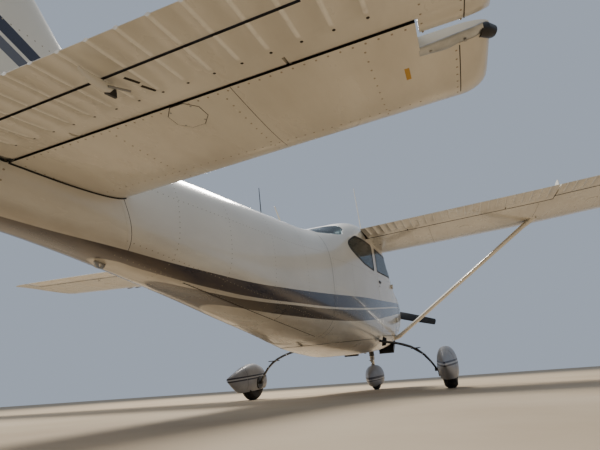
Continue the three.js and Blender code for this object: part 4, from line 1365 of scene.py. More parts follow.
@dataclass(frozen=True)
class Rubber(Finish):
    """Vulcanised black rubber, moulded and weathered by sun and dust.

    It gives a deep matt black that greys where dust holds and where it has rolled.
    """

    name: str = "vulcanised_rubber"
    black: str = "#17171a"
    dust: str = "#6b6459"
    dusty: float = 0.5

    def fill(self, tree: bpy.types.NodeTree) -> None:
        """Lays the finish's colour, gloss and relief.

        Args:
            tree: The node tree.
        """
        film = ranged(tree, mottle(tree, 60, 5.0, rough=0.65), 0.42, 0.8, 0.0, self.dusty)
        colour = blend(tree, film, linear(self.black), linear(self.dust))
        grain = mottle(tree, 2.5, 2.0)
        principled(tree, {
            "Base Color": colour, "Roughness": ranged(tree, film, 0, 0.5, 0.62, 0.9),
            "IOR": 1.52, "Specular IOR Level": 0.35, "Normal": relief(tree, grain, 0.15),
        })


@dataclass(frozen=True)
class Metal(Finish):
    """Bare or blackened metal with a worked surface.

    Machined and drawn parts have fine lines along them, cast and burnt ones are cloudy.
    """

    name: str
    bright: str
    dark: str
    roughness: float
    metallic: float = 1.0
    grain_mm: float = 1.5
    stretch: tuple[float, float, float] = (1, 1, 1)
    depth_mm: float = 0.05

    def fill(self, tree: bpy.types.NodeTree) -> None:
        """Lays the finish's colour, gloss and relief.

        Args:
            tree: The node tree.
        """
        cloud = ranged(tree, mottle(tree, 45, 4.0), 0.3, 0.7)
        colour = blend(tree, cloud, linear(self.bright), linear(self.dark))
        grain = mottle(tree, self.grain_mm, 2.0, self.stretch)
        rough = figure(tree, "ADD", ranged(tree, grain, 0.3, 0.7, -0.06, 0.08), self.roughness)
        principled(tree, {
            "Base Color": colour, "Roughness": rough, "Metallic": self.metallic,
            "Normal": relief(tree, grain, self.depth_mm),
        })


@dataclass(frozen=True)
class Acrylic(Finish):
    """Cast acrylic sheet, blown to shape and lightly tinted.

    It gives dark, clear windows with sharp reflections and a few fine hazy scratches.
    """

    name: str = "tinted_cast_acrylic"
    tint: str = "#a3adb0"
    clear: float = 0.45  # share of the light that passes straight through

    def fill(self, tree: bpy.types.NodeTree) -> None:
        """Lays the finish's colour, gloss and relief.

        Args:
            tree: The node tree.
        """
        haze = ranged(tree, mottle(tree, 18, 6.0, (5, 1, 1), 0.75), 0.5, 0.8, 0.02, 0.12)
        tone = ranged(tree, mottle(tree, 300, 2.0), 0.3, 0.7, 0.9, 1.0)
        colour = blend(tree, 1.0, linear(self.tint), tone, "MULTIPLY")
        principled(tree, {
            "Base Color": colour, "Roughness": haze, "IOR": 1.49, "Transmission Weight": 1.0,
        }, linear(self.tint), self.clear)


@dataclass(frozen=True)
class Plastic(Finish):
    """Moulded ABS or painted sheet with a fine leathery grain.

    It gives an even, dull colour that catches a soft light along its edges.
    """

    name: str
    colour: str
    pale: str
    roughness: float = 0.5
    grain_mm: float = 2.2
    depth_mm: float = 0.12

    def fill(self, tree: bpy.types.NodeTree) -> None:
        """Lays the finish's colour, gloss and relief.

        Args:
            tree: The node tree.
        """
        tone = ranged(tree, mottle(tree, 90, 4.0), 0.35, 0.75, 0.0, 0.55)
        colour = blend(tree, tone, linear(self.colour), linear(self.pale))
        cells = add(tree, "TexVoronoi", {"feature": "DISTANCE_TO_EDGE"}, {
            "Vector": object_point(tree), "Scale": 1000 / self.grain_mm}).outputs["Distance"]
        principled(tree, {
            "Base Color": colour, "IOR": 1.5, "Roughness": self.roughness,
            "Normal": relief(tree, cells, self.depth_mm),
        })


@dataclass(frozen=True)
class Cloth(Finish):
    """Woven wool-mix upholstery in a plain weave.

    It gives soft, matt seats with a visible thread and a little sheen at grazing light.
    """

    name: str
    thread: str
    shade: str
    thread_mm: float = 3.0

    def fill(self, tree: bpy.types.NodeTree) -> None:
        """Lays the finish's colour, gloss and relief.

        Args:
            tree: The node tree.
        """
        waves = [add(tree, "TexWave", {"wave_type": "BANDS", "bands_direction": way}, {
            "Vector": object_point(tree), "Scale": 1000 / self.thread_mm / WAVE_TURN,
            "Distortion": 0.6, "Detail": 1.0}).outputs[1] for way in ("X", "Z")]
        weave = figure(tree, "MULTIPLY", *waves)
        patchy = figure(tree, "MULTIPLY", ranged(tree, mottle(tree, 120, 4.0), 0.3, 0.7), 0.4)
        share = figure(tree, "ADD", figure(tree, "MULTIPLY", weave, 0.5), patchy)
        # Where the weave dips, the colour turns to the darker shade: painted shade between the threads.
        colour = blend(tree, share, linear(self.shade), linear(self.thread))
        principled(tree, {
            "Base Color": colour, "Roughness": 0.92, "IOR": 1.45, "Sheen Weight": 0.3,
            "Sheen Roughness": 0.5, "Normal": relief(tree, weave, 0.4),
        })


@dataclass(frozen=True)
class Lens(Finish):
    """Moulded polycarbonate over a lamp: a clear, deeply coloured dome."""

    name: str
    tint: str

    def fill(self, tree: bpy.types.NodeTree) -> None:
        """Lays the finish's colour, gloss and relief.

        Args:
            tree: The node tree.
        """
        tone = ranged(tree, mottle(tree, 8, 1.0), 0.3, 0.7, 0.75, 1.0)
        colour = blend(tree, 1.0, linear(self.tint), tone, "MULTIPLY")
        principled(tree, {
            "Base Color": colour, "Roughness": 0.08, "IOR": 1.58, "Transmission Weight": 0.6,
        })


class Finishes:
    """Every material of the aircraft, made once."""

    def __init__(self) -> None:
        """Makes them all."""
        self.plain = Enamel("polyurethane_enamel").build()
        # A high share darkens the belly, with dust and with painted shade under the airframe.
        self.hull = Enamel("polyurethane_enamel_striped", livery=Livery.FUSELAGE,
                           dust_share=0.62).build()
        self.fin = Enamel("polyurethane_enamel_fin", livery=Livery.FIN, dust_share=0.15,
                          ripple_mm=0.5).build()
        self.rivet = Enamel("rivet_heads_in_enamel", "#a39780", dust_share=0.7).build()
        # The beaded flaps, ailerons and elevators get painted highlights along their crests.
        self.flap = Enamel("polyurethane_enamel_flap",
                           crests=Crests(0.672, 0.084, 3.43)).build()
        self.aileron = Enamel("polyurethane_enamel_aileron",
                              crests=Crests(2.76, 0.084, 3.475, 0.047)).build()
        self.elevator = Enamel("polyurethane_enamel_elevator",
                               crests=Crests(0.224, 0.084, 7.325)).build()
        self.strut = Enamel("polyurethane_enamel_extrusion", ripple_mm=0.1, dust_share=0.2).build()
        self.fibre = MouldedGlassFibre(bands=((0.303, 0.321, NAVY), (0.289, 0.300, "#b4b6b8"),
                                              (0.269, 0.286, NAVY))).build()
        self.fibre_nose = MouldedGlassFibre("gel_coated_glass_fibre_nose", bands=(
            (0.036, 0.067, NAVY), (0.018, 0.026, "#b4b6b8"), (0.006, 0.018, NAVY))).build()
        self.tyre = Rubber().build()
        self.seal = Rubber("extruded_rubber_seal", "#1b1a19", "#4a443b", 0.3).build()
        # Coves, holes, slots and bead mouths get this dark brown as painted shade; seams and cover rims
        # get it as dirt.
        self.shadow = Rubber("painted_shade_and_seam_dirt", "#2c241b", "#3f3426", 0.5).build()
        self.steel = Metal("plated_steel", "#b6b5b0", "#8b8984", 0.32).build()
        self.chrome = Metal("hard_chromed_steel", "#e3e3e0", "#cfcfca", 0.09, depth_mm=0.01).build()
        self.leg = Metal("painted_spring_steel", "#55524e", "#37342f", 0.42, 0.25).build()
        self.iron = Metal("cast_engine_iron", "#4a4845", "#33312f", 0.6, 0.7, 5, depth_mm=0.3).build()
        self.exhaust = Metal("burnt_stainless_steel", "#6d6056", "#3e3630", 0.45, 0.9).build()
        self.blade = Metal("forged_aluminium_painted_black", "#2a2b2d", "#1c1d1f", 0.4, 0.2).build()
        self.bright = Metal("rolled_aluminium", "#c9cac8", "#a5a6a3", 0.36, 1.0, 1.2,
                            (30, 1, 1)).build()
        self.firewall = Metal("stainless_sheet", "#9c9b97", "#7e7c77", 0.4).build()
        self.glass = Acrylic().build()
        self.cloth = Cloth("plain_woven_wool", "#7b756c", "#4b463f").build()
        self.carpet = Cloth("tufted_nylon_carpet", "#3f4048", "#24252b", 5.0).build()
        self.lining = Plastic("moulded_abs_lining", "#b7afa0", "#cbc4b6").build()
        self.panel = Plastic("moulded_abs_panel", "#2b2c2e", "#3b3c3e").build()
        self.dial = Plastic("printed_dial", "#101113", "#1c1d20", 0.35, 1.0, 0.01).build()
        self.ink = Plastic("white_dial_ink", "#d9d8d0", "#c2c1b8", 0.5, 1.0, 0.01).build()
        self.label = Plastic("yellow_vinyl_label", "#c79a2e", "#a47a20", 0.4, 3.0, 0.02).build()
        self.red = Lens("red_polycarbonate", "#c01818").build()
        self.green = Lens("green_polycarbonate", "#118a4a").build()
        self.clear = Lens("clear_polycarbonate", "#e9ecec").build()
        self.black_paint = Plastic("black_air_dried_lacquer", "#1d1c1c", "#2c2a28", 0.38).build()


SEAT = 0.3  # gap between pieces that bear on each other
RUN = 7.0  # clearance round a moving surface
WIDE = 900.0  # reach of a cutter past the side of the fuselage
Outline = Sequence[Sequence[float]]


def drawn_in(outline: Outline, margin: float) -> list[tuple[float, float]]:
    """Draws a side-view outline in by a margin, corner by corner.

    Args:
        outline: Its corners.
        margin: How far each edge moves in.

    Returns:
        The smaller outline.
    """
    corners = np.asarray(outline, float)
    ahead = np.roll(corners, -1, 0) - corners
    area = np.sum(corners[:, 0] * np.roll(corners, -1, 0)[:, 1]
                  - np.roll(corners, -1, 0)[:, 0] * corners[:, 1])
    inward = np.stack([-ahead[:, 1], ahead[:, 0]], 1) * np.sign(area)
    inward /= np.linalg.norm(inward, axis=1)[:, None]
    before = np.roll(inward, 1, 0)
    middle = before + inward
    middle /= np.linalg.norm(middle, axis=1)[:, None]
    shift = middle * (margin / np.sum(middle * before, 1))[:, None]
    return [tuple(row) for row in corners + shift]


def rounded(outline: Outline, radius: float, steps: int = 5) -> list[tuple[float, float]]:
    """Rounds each corner of an outline.

    Args:
        outline: Its corners.
        radius: How far back from a corner its arc starts.
        steps: Points on each arc.

    Returns:
        The rounded outline.
    """
    corners = np.asarray(outline, float)
    made = []
    for i, corner in enumerate(corners):
        back, on = corners[i - 1] - corner, corners[(i + 1) % len(corners)] - corner
        reach = min(radius, np.linalg.norm(back) * 0.45, np.linalg.norm(on) * 0.45)
        start = corner + back / np.linalg.norm(back) * reach
        end = corner + on / np.linalg.norm(on) * reach
        for t in np.linspace(0, 1, steps):
            made.append(tuple((1 - t) ** 2 * start + 2 * t * (1 - t) * corner + t**2 * end))
    return made


def along_outline(outline: Outline, step: float) -> np.ndarray:
    """Points spaced along a closed outline.

    Args:
        outline: Its corners.
        step: Distance between points.

    Returns:
        The points, one a row.
    """
    corners = np.asarray([*outline, outline[0]], float)
    lengths = np.concatenate([[0], np.cumsum(np.linalg.norm(np.diff(corners, axis=0), axis=1))])
    places = np.linspace(0, lengths[-1], max(8, round(lengths[-1] / step)), endpoint=False)
    return np.stack([np.interp(places, lengths, corners[:, k]) for k in (0, 1)], 1)


def strip_section(proud: float, foot: float) -> list[tuple[float, float]]:
    """A strip's section: shares of its half width and heights above the skin."""
    edge = proud * 0.4
    return [(-1, foot), (-1, edge), (-0.7, proud), (0.7, proud), (1, edge), (1, foot)]


def skin_trim(outline: Outline, side: Side, half: float, proud: float,
              closed: bool = True) -> Mesh:
    """A flat strip that follows an outline over the fuselage's side.

    Args:
        outline: Side-view corners of its middle line.
        side: Port or starboard.
        half: Half of its width.
        proud: How far it stands out of the skin.
        closed: Whether the outline closes on itself.

    Returns:
        Its mesh.
    """
    points = along_outline(outline, 24.0) if closed else np.asarray(outline, float)
    ahead = np.roll(points, -1, 0) - np.roll(points, 1, 0)
    if not closed:
        ahead = np.gradient(points, axis=0)
    across = np.stack([-ahead[:, 1], ahead[:, 0]], 1)
    across /= np.linalg.norm(across, axis=1)[:, None]
    rings = []
    for place, way in zip(points, across):
        row = []
        for share, rise in strip_section(proud, -2.0):
            y, z = place + way * half * share
            row.append((side * (HULL.side_x(y, z) + rise), y, z))
        rings.append(row)
    return Mesh().loft([*rings, rings[0]] if closed else rings, capped=not closed)


@dataclass
class Fuselage:
    """The painted skins from the cowl to the stern, with doors and glazing."""

    finishes: Finishes
    cowl_end: float = 1480.0
    cabin: tuple[float, float] = (1500.0, 4480.0)
    wall: float = 50.0
    cowl_wall: float = 20.0
    belly_wall: float = 12.0
    tail_wall: float = 8.0
    pane: float = 8.0
    roof_split: float = 1812.0
    cowl_split: float = 1085.0
    floor: Outline = ((1500, 600), (3100, 600), (4480, 705))
    windshield: Outline = (
        (1512, 1492), (1560, 1478), (1890, 1428), (1925, 1500), (2010, 1812), (2035, 1838),
        (2111, 1838), (2111, 2200), (1400, 2200), (1400, 1500),
    )
    rear_window: Outline = (
        (3855, 2300), (3850, 1930), (3862, 1880), (3900, 1828), (4010, 1745), (4070, 1722),
        (4425, 1690), (4440, 1705), (4440, 2300),
    )
    quarter_window: Outline = (
        (3110, 1442), (3560, 1470), (3800, 1525), (3930, 1572), (3978, 1610), (3975, 1640),
        (3930, 1678), (3760, 1758), (3700, 1775), (3110, 1775),
    )
    door: Outline = (
        (1945, 700), (2000, 642), (2930, 642), (2985, 700), (2985, 1770), (2950, 1800),
        (2060, 1800), (2020, 1780), (1945, 1490),
    )
    door_window: Outline = (
        (1998, 1492), (2920, 1462), (2935, 1480), (2935, 1755), (2920, 1768), (2090, 1768),
        (2060, 1750),
    )

    def build(self) -> None:
        """Makes every skin."""
        self.cowl()
        self.belly()
        self.sides_and_roof()
        self.glazing()
        self.doors()
        self.tail_cone()

    def cowl(self) -> None:
        """The two halves of the engine cowl, with inlets and bays."""
        upper = carve(HULL.solid(400, self.cowl_end - SEAT).build("cowl_upper_skin"),
                      [HULL.solid(460, self.cowl_end + 40, self.cowl_wall)])
        x, z = INLET
        inlet = bar([(x, 380, z), (x, 620, z)], 74, 40)
        shaft = bar([(0, 380, THRUST), (0, 600, THRUST)], 62, 40)
        carve(upper, [inlet, inlet.mirrored(), shaft])
        lower = copy_of(upper, "cowl_lower_skin")
        for half, heights in ((upper, (self.cowl_split + SEAT, 2000)), (lower, (0, self.cowl_split))):
            carve(half, [block((-WIDE, WIDE), (300, 1600), heights)], Cut.WITHIN)
        bay = block((165, 415), (1240, 1600), (300, 640))
        carve(lower, [block((-105, 105), (1225, 1600), (300, 760)), bay, bay.mirrored()])
        for half, node in ((upper, "cowl_upper"), (lower, "cowl_lower")):
            dress(half, self.finishes.hull, "moulded_cowl", node, node)

    def below_floor(self, rise: float) -> Mesh:
        """All the space under the cabin floor, raised by an amount."""
        top = [(self.cabin[0] - 100, 600), *self.floor[1:], (self.cabin[1] + 60, 705)]
        return slab([(self.cabin[0] - 100, 0), *[(y, z + rise) for y, z in top],
                     (self.cabin[1] + 60, 0)], -WIDE, WIDE)

    def belly(self) -> None:
        """The lower skin of the cabin with its floor."""
        room = HULL.solid(self.cabin[0] - 10, 4100, self.belly_wall).build("room")
        carve(room, [self.below_floor(-self.belly_wall)], Cut.WITHIN)
        skin = HULL.solid(*self.cabin).build("belly_skin")
        carve(skin, [self.below_floor(0)], Cut.WITHIN)
        carve(skin, [room])
        carve(skin, [block((-400, 400), (1830, 2190), (596, 608))], Cut.JOIN)
        dress(skin, self.finishes.hull, "white_paint", "belly", "belly")

    def sides_and_roof(self) -> None:
        """The cabin's two sides and its roof, with their openings."""
        start, end = self.cabin
        walls = HULL.shell(start, end, self.wall)
        carve(walls, [self.below_floor(SEAT), slab(self.windshield, -WIDE, WIDE),
                      slab(self.rear_window, -WIDE, WIDE)])
        roof = copy_of(walls, "cabin_roof_skin")
        carve(roof, [block((-WIDE, WIDE), (start - 50, end + 50), (self.roof_split + SEAT, 3000))],
              Cut.WITHIN)
        dress(roof, self.finishes.plain, "white_paint", "cabin_roof", "cabin_roof")
        walls.name = "cabin_side_left_skin"
        carve(walls, [block((0, WIDE), (start - 50, end + 50), (0, self.roof_split))], Cut.WITHIN)
        carve(walls, [slab(rounded(self.quarter_window, 40), 0, WIDE),
                      slab(rounded(self.door, 30), 0, WIDE)])
        dress_pair(walls, self.finishes.hull, "white_paint", "cabin_side_{}")

    def pane_of(self, name: str, outline: Outline, start: float) -> bpy.types.Object:
        """A blown window pane that fills an outline.

        Args:
            name: Its name.
            outline: Side-view corners.
            start: Level x from where it runs to port.

        Returns:
            The pane.
        """
        glass = HULL.shell(*self.cabin, self.pane)
        glass.name = name
        return carve(glass, [slab(drawn_in(outline, SEAT), start, WIDE)], Cut.WITHIN)

    def glazing(self) -> None:
        """Windows with their rubber channels."""
        f = self.finishes
        screen = self.pane_of("windshield_pane", self.windshield, -WIDE)
        dress(screen, f.glass, "window", "windshield", "windshield")
        rear = self.pane_of("rear_window_pane", self.rear_window, -WIDE)
        dress(rear, f.glass, "window", "rear_window", "rear_window")
        quarter = self.pane_of("quarter_window_left_pane", rounded(self.quarter_window, 40), 0)
        door = self.pane_of("door_window_left_pane", rounded(self.door_window, 30), 0)
        for made, node in ((quarter, "quarter_window_{}"), (door, "door_window_{}")):
            dress_pair(made, f.glass, "window", node, node + "_pane")
        for side, name in SIDES:
            for outline, radius, kind, carrier in ((self.quarter_window, 40, "quarter", "cabin_side"),
                                                   (self.door_window, 30, "door", "door")):
                channel = skin_trim(rounded(outline, radius), side, 9, 2.4)
                dress(channel.build(f"{kind}_window_{name}_channel"), f.seal, "tyre_rubber",
                      f"{carrier}_{name}")

    def doors(self) -> None:
        """Doors with their hinges and handles."""
        panel = HULL.shell(*self.cabin, self.wall)
        panel.name = "door_left_skin"
        carve(panel, [slab(rounded(drawn_in(self.door, RUN - 1), 28), 0, WIDE)], Cut.WITHIN)
        carve(panel, [slab(rounded(self.door_window, 30), 0, WIDE)])
        dress_pair(panel, self.finishes.hull, "white_paint", "door_{}")
        for side, name in SIDES:
            self.hinges(side, name)
            self.handle(side, name)

    def hinges(self, side: Side, name: str) -> None:
        """Door hinges: a half on the door and a half on the post.

        Args:
            side: Port or starboard.
            name: The side's name.
        """
        x, y, tall, radius = 602, 1938, 34, 9
        door, post = [], []
        for z in (830, 1330):
            door += [bar([(x, y, z), (x, y, z + tall)], radius, 20),
                     block((x - 8, x + 8), (y, y + 44), (z + 1, z + tall - 1)),
                     block((x - 47, x), (y + 22, y + 44), (z + 1, z + tall - 1))]
            up = z + tall + SEAT
            post += [bar([(x, y, up), (x, y, up + tall)], radius, 20),
                     block((x - 47, x + 4), (y - 24, y), (up + 1, up + tall - 1))]
        for parts, kind, carrier in ((door, "door", f"door_{name}"),
                                     (post, "post", f"cabin_side_{name}")):
            whole = merged(parts)
            whole = whole if side > 0 else whole.mirrored()
            dress(whole.build(f"hinge_{kind}_{name}"), self.finishes.plain, "white_paint", carrier)

    def handle(self, side: Side, name: str) -> None:
        """A flush paddle handle with its key lock, behind the door window.

        Args:
            side: Port or starboard.
            name: The side's name.
        """
        middle_y, middle_z = 2850.0, 1330.0
        x = HULL.side_x(middle_y, middle_z)
        plate = rounded([(middle_y - 70, middle_z - 22), (middle_y + 55, middle_z - 22),
                         (middle_y + 55, middle_z + 22), (middle_y - 70, middle_z + 22)], 18)
        paddle = bar([(x + 2, middle_y - 58, middle_z), (x + 9, middle_y - 40, middle_z),
                      (x + 10, middle_y + 10, middle_z), (x + 4, middle_y + 40, middle_z)],
                     (5, 10, 12, 7), 16, 0.5)
        lock = bar([(x - 2, middle_y + 40, middle_z - 60), (x + 3, middle_y + 40, middle_z - 60)],
                   11, 20)
        parts = merged([slab(plate, x - 3, x + 1.5), paddle, lock])
        made = (parts if side > 0 else parts.mirrored()).build(f"door_handle_{name}")
        dress(made, self.finishes.black_paint, "panel_plastic", f"door_{name}")

    def tail_cone(self) -> None:
        """The tail cone with the tie-down lug, open for the rudder and the elevators' shaft."""
        tail = HULL.solid(self.cabin[1] + SEAT, HULL_STERN).build("tail_cone_skin")
        hole = bar([(-400, ELEVATOR.hinge, ELEVATOR.level), (400, ELEVATOR.hinge, ELEVATOR.level)],
                   ELEVATOR.tube + RUN, 32)
        carve(tail, [HULL.solid(self.cabin[1] - 40, 7200, self.tail_wall), hole,
                     FIN.cove(1100, FIN_TOP, fin_hinge, RUN)])
        low = HULL.section(6690)[0]
        plate = [(6667, low - 30), (6713, low - 30), (6725, low + 6), (6655, low + 6)]
        lug = slab(rounded(plate, 14), -4, 4).build("tie_down_lug")
        carve(lug, [bar([(-20, 6690, low - 15), (20, 6690, low - 15)], 8, 24)])
        dress(lug, self.finishes.steel, "bare_steel", "tail_cone")
        dress(tail, self.finishes.hull, "white_paint", "tail_cone", "tail_cone")


PLANE_LEVEL = 1328.0


@dataclass(frozen=True)
class HingeLine:
    """Where a pair of elevators or their tab turns."""

    start: float
    end: float
    hinge: float
    level: float = PLANE_LEVEL
    tube: float = 24.0


ELEVATOR = HingeLine(200, 1584, 7256)
TAB = HingeLine(330, 1360, 7450)
ELEVATOR_HORN = (1592.0, 7165.0)  # inboard end and leading edge of the balance horn
ELEVATOR_DROOP = math.radians(10.5)
FIN_TOP = 3090.0
FIN_BASE = 1130.0  # height from which the fin's upright lines are drawn
FIN_SLOPE = 0.4278
RUDDER_HINGE_Y = 7300.0
FIN_TRAIL = (7735.0, 0.43)  # y at that height and slope of the trailing edge
TAIL_FROM = 4400.0  # where a cutter of the tail's outline starts
LUG = {"wide": 8.0, "ahead": 75.0, "behind": 8.0, "tall": 9.0}
LUG_SLOT = {"wide": 9.6, "ahead": 200.0, "behind": 26.0, "tall": 300.0}


def tip_rows(inner: Sequence[float], outer: Sequence[float], steps: int = 7) -> list[list[float]]:
    """Rows of a rounded tip, on a quarter ellipse between two rows of a table.

    Args:
        inner: Span, lead, trail, pitch, level and thickness where the tip starts.
        outer: The same at its end.
        steps: Rows to make.

    Returns:
        The rows.
    """
    a, b = np.asarray(inner, float), np.asarray(outer, float)
    made = []
    for t in np.linspace(0, math.pi / 2, steps)[1:]:
        share = 1 - math.cos(t)
        row = a + (b - a) * share
        row[0] = a[0] + (b[0] - a[0]) * math.sin(t)
        row[4] = a[4] + (b[4] - a[4]) * math.sin(t)
        made.append(list(row))
    return made


def fin_hinge_y(z: float) -> float:
    """Level y of the rudder's hinge at a height."""
    return RUDDER_HINGE_Y + (z - FIN_BASE) * FIN_SLOPE


def fin_hinge(z: float) -> float:
    """Share of the fin's chord at which the rudder turns."""
    return FIN.share(z, fin_hinge_y(z))


def plane_hinge(x: float) -> float:
    """Share of the tailplane's chord at which the elevators turn."""
    return PLANE.share(x, ELEVATOR.hinge)


def tab_hinge(x: float) -> float:
    """Share of the tailplane's chord at which the trim tab turns."""
    return PLANE.share(x, TAB.hinge)


FIN_ROWS = [(1100, 5700, 26), (1590, 5740, 28), (1680, 6060, 32), (1760, 6420, 36),
            (1850, 6705, 42), (1950, 6872, 48), (2065, 6997, 50), (2500, 7402, 46),
            (2990, 7859, 38), (3060, 7935, 30), (3090, 8010, 18)]  # z, leading edge y, half
FIN = Surface(
    np.array([(z, lead, FIN_TRAIL[0] + (z - FIN_BASE) * FIN_TRAIL[1], 0, 0, half)
              for z, lead, half in FIN_ROWS], float),
    Foil(1.0), upright=True, rake=FIN_SLOPE)
PLANE_ROOT = (120.0, 6740.0, 7580.0, 0.0, PLANE_LEVEL, 1.0)
PLANE_INNER = (1687.0, 6831.0, 7546.0, 0.0, PLANE_LEVEL, 0.94)
PLANE_TIP = (1764.0, 6915.0, 7510.0, 0.0, PLANE_LEVEL, 0.3)
PLANE = Surface(
    np.array([PLANE_ROOT, PLANE_INNER, *tip_rows(PLANE_INNER, PLANE_TIP)], float), Foil(0.09))
ELEVATOR_BEADS = Beads([224 + 84 * k for k in range(16)], start=0.685, half=8.5, rise=4.0)


@dataclass
class Tail:
    """Fin, rudder, tailplane, elevators and trim tab."""

    finishes: Finishes
    rudder_from: float = 1150.0
    rudder_horn_from: float = 2960.0
    rudder_lugs: tuple[float, ...] = (1750, 2650)
    elevator_lugs: tuple[float, ...] = (500, 1250)
    tab_gap: float = 6.0
    tab_pin: float = 4.0

    def build(self) -> None:
        """Makes every surface."""
        self.fin_and_rudder()
        self.tailplane()
        self.elevators()

    def fin_and_rudder(self) -> None:
        """The fin with its dorsal fillet and the rudder behind it."""
        fin = FIN.whole(1500, FIN_TOP, 30).build("fin_skin")
        bay = block((-200, 200), (6000, 9000), (self.rudder_horn_from - 18, 3300))
        carve(fin, [bay, HULL.solid(TAIL_FROM, HULL_STERN)])
        # The fin's cove is lined dark brown: painted shade in the recess.
        carve(fin, [FIN.cove(1100, FIN_TOP, fin_hinge, RUN)], lining=self.finishes.shadow)
        lugs = [FIN.plate(z, fin_hinge(z), **LUG) for z in self.rudder_lugs]
        carve(fin, lugs, Cut.JOIN)
        dress(fin, self.finishes.fin, "white_paint", "fin", "fin")
        beads = Beads([1240 + 118 * k for k in range(14)], half=9, rise=3.0, start=0.0)
        spans = FIN.spans(self.rudder_from, FIN_TOP)
        beads.start = max(fin_hinge(z) for z in spans) + 0.03
        rudder = FIN.flap(self.rudder_from, FIN_TOP, fin_hinge, beads).build("rudder_skin")
        carve(rudder, [FIN.horn(self.rudder_horn_from, FIN_TOP, lambda z: 0.12)], Cut.JOIN)
        carve(rudder, [FIN.plate(z, fin_hinge(z), **LUG_SLOT) for z in self.rudder_lugs])
        dress(rudder, self.finishes.fin, "white_paint", "rudder", "rudder")

    def tailplane(self) -> None:
        """The two fixed halves of the tailplane."""
        plane = PLANE.whole(120, PLANE_TIP[0], 40).build("stabilizer_left_skin")
        end, (_, horn_lead) = ELEVATOR.end, ELEVATOR_HORN
        horn_room = block((end + 1, 2000), (horn_lead - 45, 8000), (1000, 1700))
        carve(plane, [HULL.solid(TAIL_FROM, HULL_STERN), horn_room])
        # The tailplane's cove is lined dark brown: painted shade in the recess.
        carve(plane, [PLANE.cove(60, end + 2, plane_hinge, RUN)], lining=self.finishes.shadow)
        carve(plane, [PLANE.plate(x, plane_hinge(x), **LUG) for x in self.elevator_lugs], Cut.JOIN)
        dress_pair(plane, self.finishes.plain, "white_paint", "stabilizer_{}")

    def drooped(self, part: Mesh) -> Mesh:
        """A part of the elevators as free controls let it hang."""
        cos, sin = math.cos(ELEVATOR_DROOP), math.sin(ELEVATOR_DROOP)
        turn = np.array([[1, 0, 0], [0, cos, sin], [0, -sin, cos]])
        return part.turned(turn, (0, ELEVATOR.hinge, ELEVATOR.level))

    def tab_rod(self, past: float, radius: float) -> Mesh:
        """A rod along the tab's hinge line, past both its ends.

        Args:
            past: How far past.
            radius: Its radius.

        Returns:
            Its mesh.
        """
        ends = []
        for x in (TAB.start - past, TAB.end + past):
            share = tab_hinge(x)
            ends.append(PLANE.at(x, share, PLANE.nose(x, share)[0]))
        return bar(ends, radius, 12)

    def elevators(self) -> None:
        """The beaded elevators with their balance horns, and the starboard trim tab."""
        f = self.finishes
        tip = PLANE_TIP[0]
        horn_start, horn_lead = ELEVATOR_HORN
        blade = self.drooped(PLANE.flap(ELEVATOR.start, tip, plane_hinge, ELEVATOR_BEADS))
        horn = self.drooped(PLANE.horn(horn_start, tip, lambda x: PLANE.share(x, horn_lead)))
        slots = [self.drooped(PLANE.plate(x, plane_hinge(x), **LUG_SLOT))
                 for x in self.elevator_lugs]
        left = carve(blade.build("elevator_left_skin"), [horn], Cut.JOIN)
        carve(left, slots)
        right = twin(left, "elevator_right_skin")
        bay = self.drooped(PLANE.cove(TAB.start - 4, TAB.end + 4, tab_hinge, self.tab_gap))
        # The tab's bay is lined dark brown: painted shade in the recess.
        carve(right, [bay.mirrored(), self.drooped(self.tab_rod(25, self.tab_pin + SEAT)).mirrored()],
              lining=f.shadow)
        tab = self.drooped(PLANE.flap(TAB.start, TAB.end, tab_hinge, ELEVATOR_BEADS)).mirrored()
        made = tab.build("trim_tab_skin")
        carve(made, [self.drooped(self.tab_rod(24, self.tab_pin)).mirrored()], Cut.JOIN)
        for part, node in ((left, "elevator_left"), (right, "elevator_right"), (made, "trim_tab")):
            dress(part, f.elevator, "white_paint", node, node)


DIHEDRAL = 0.0302
AILERON_HINGE = 0.8  # share of the chord


def wing_level(x: float) -> float:
    """Level of the wing's chord line at a place along the span."""
    return 1905 + (x - 592) * DIHEDRAL


WING_INNER = (5270.0, 2395.0, 3535.0, -0.4, wing_level(5270), 1.0)
WING_TIP = (5500.0, 2540.0, 3400.0, -0.6, wing_level(5500), 0.16)
WING = Surface(
    np.array([*((x, 2115, 3737, 2.36, wing_level(x), 1) for x in (500, 2540)),
              WING_INNER, *tip_rows(WING_INNER, WING_TIP, 9)], float),
    Foil(0.12, 0.02))
STRUT_FOOT = np.array([534.0, 1878.0, 596.0])
STRUT_HEAD = np.array([2590.0, 2574.0, 1908.0])


def aileron_hinge(_: float) -> float:
    """Share of the wing's chord at which the ailerons turn."""
    return AILERON_HINGE


def inside_wing(span: float, corners: Sequence[Sequence[float]]) -> np.ndarray:
    """Places given by a share of the chord and a share of the thickness.

    Args:
        span: Place along the span.
        corners: Share of the chord, and of the thickness from the lower skin, of each.

    Returns:
        Their points.
    """
    rows = np.asarray(corners, float)
    low, high = WING.height(span, rows[:, 0], -1), WING.height(span, rows[:, 0], 1)
    return WING.at(span, rows[:, 0], low + (high - low) * rows[:, 1])


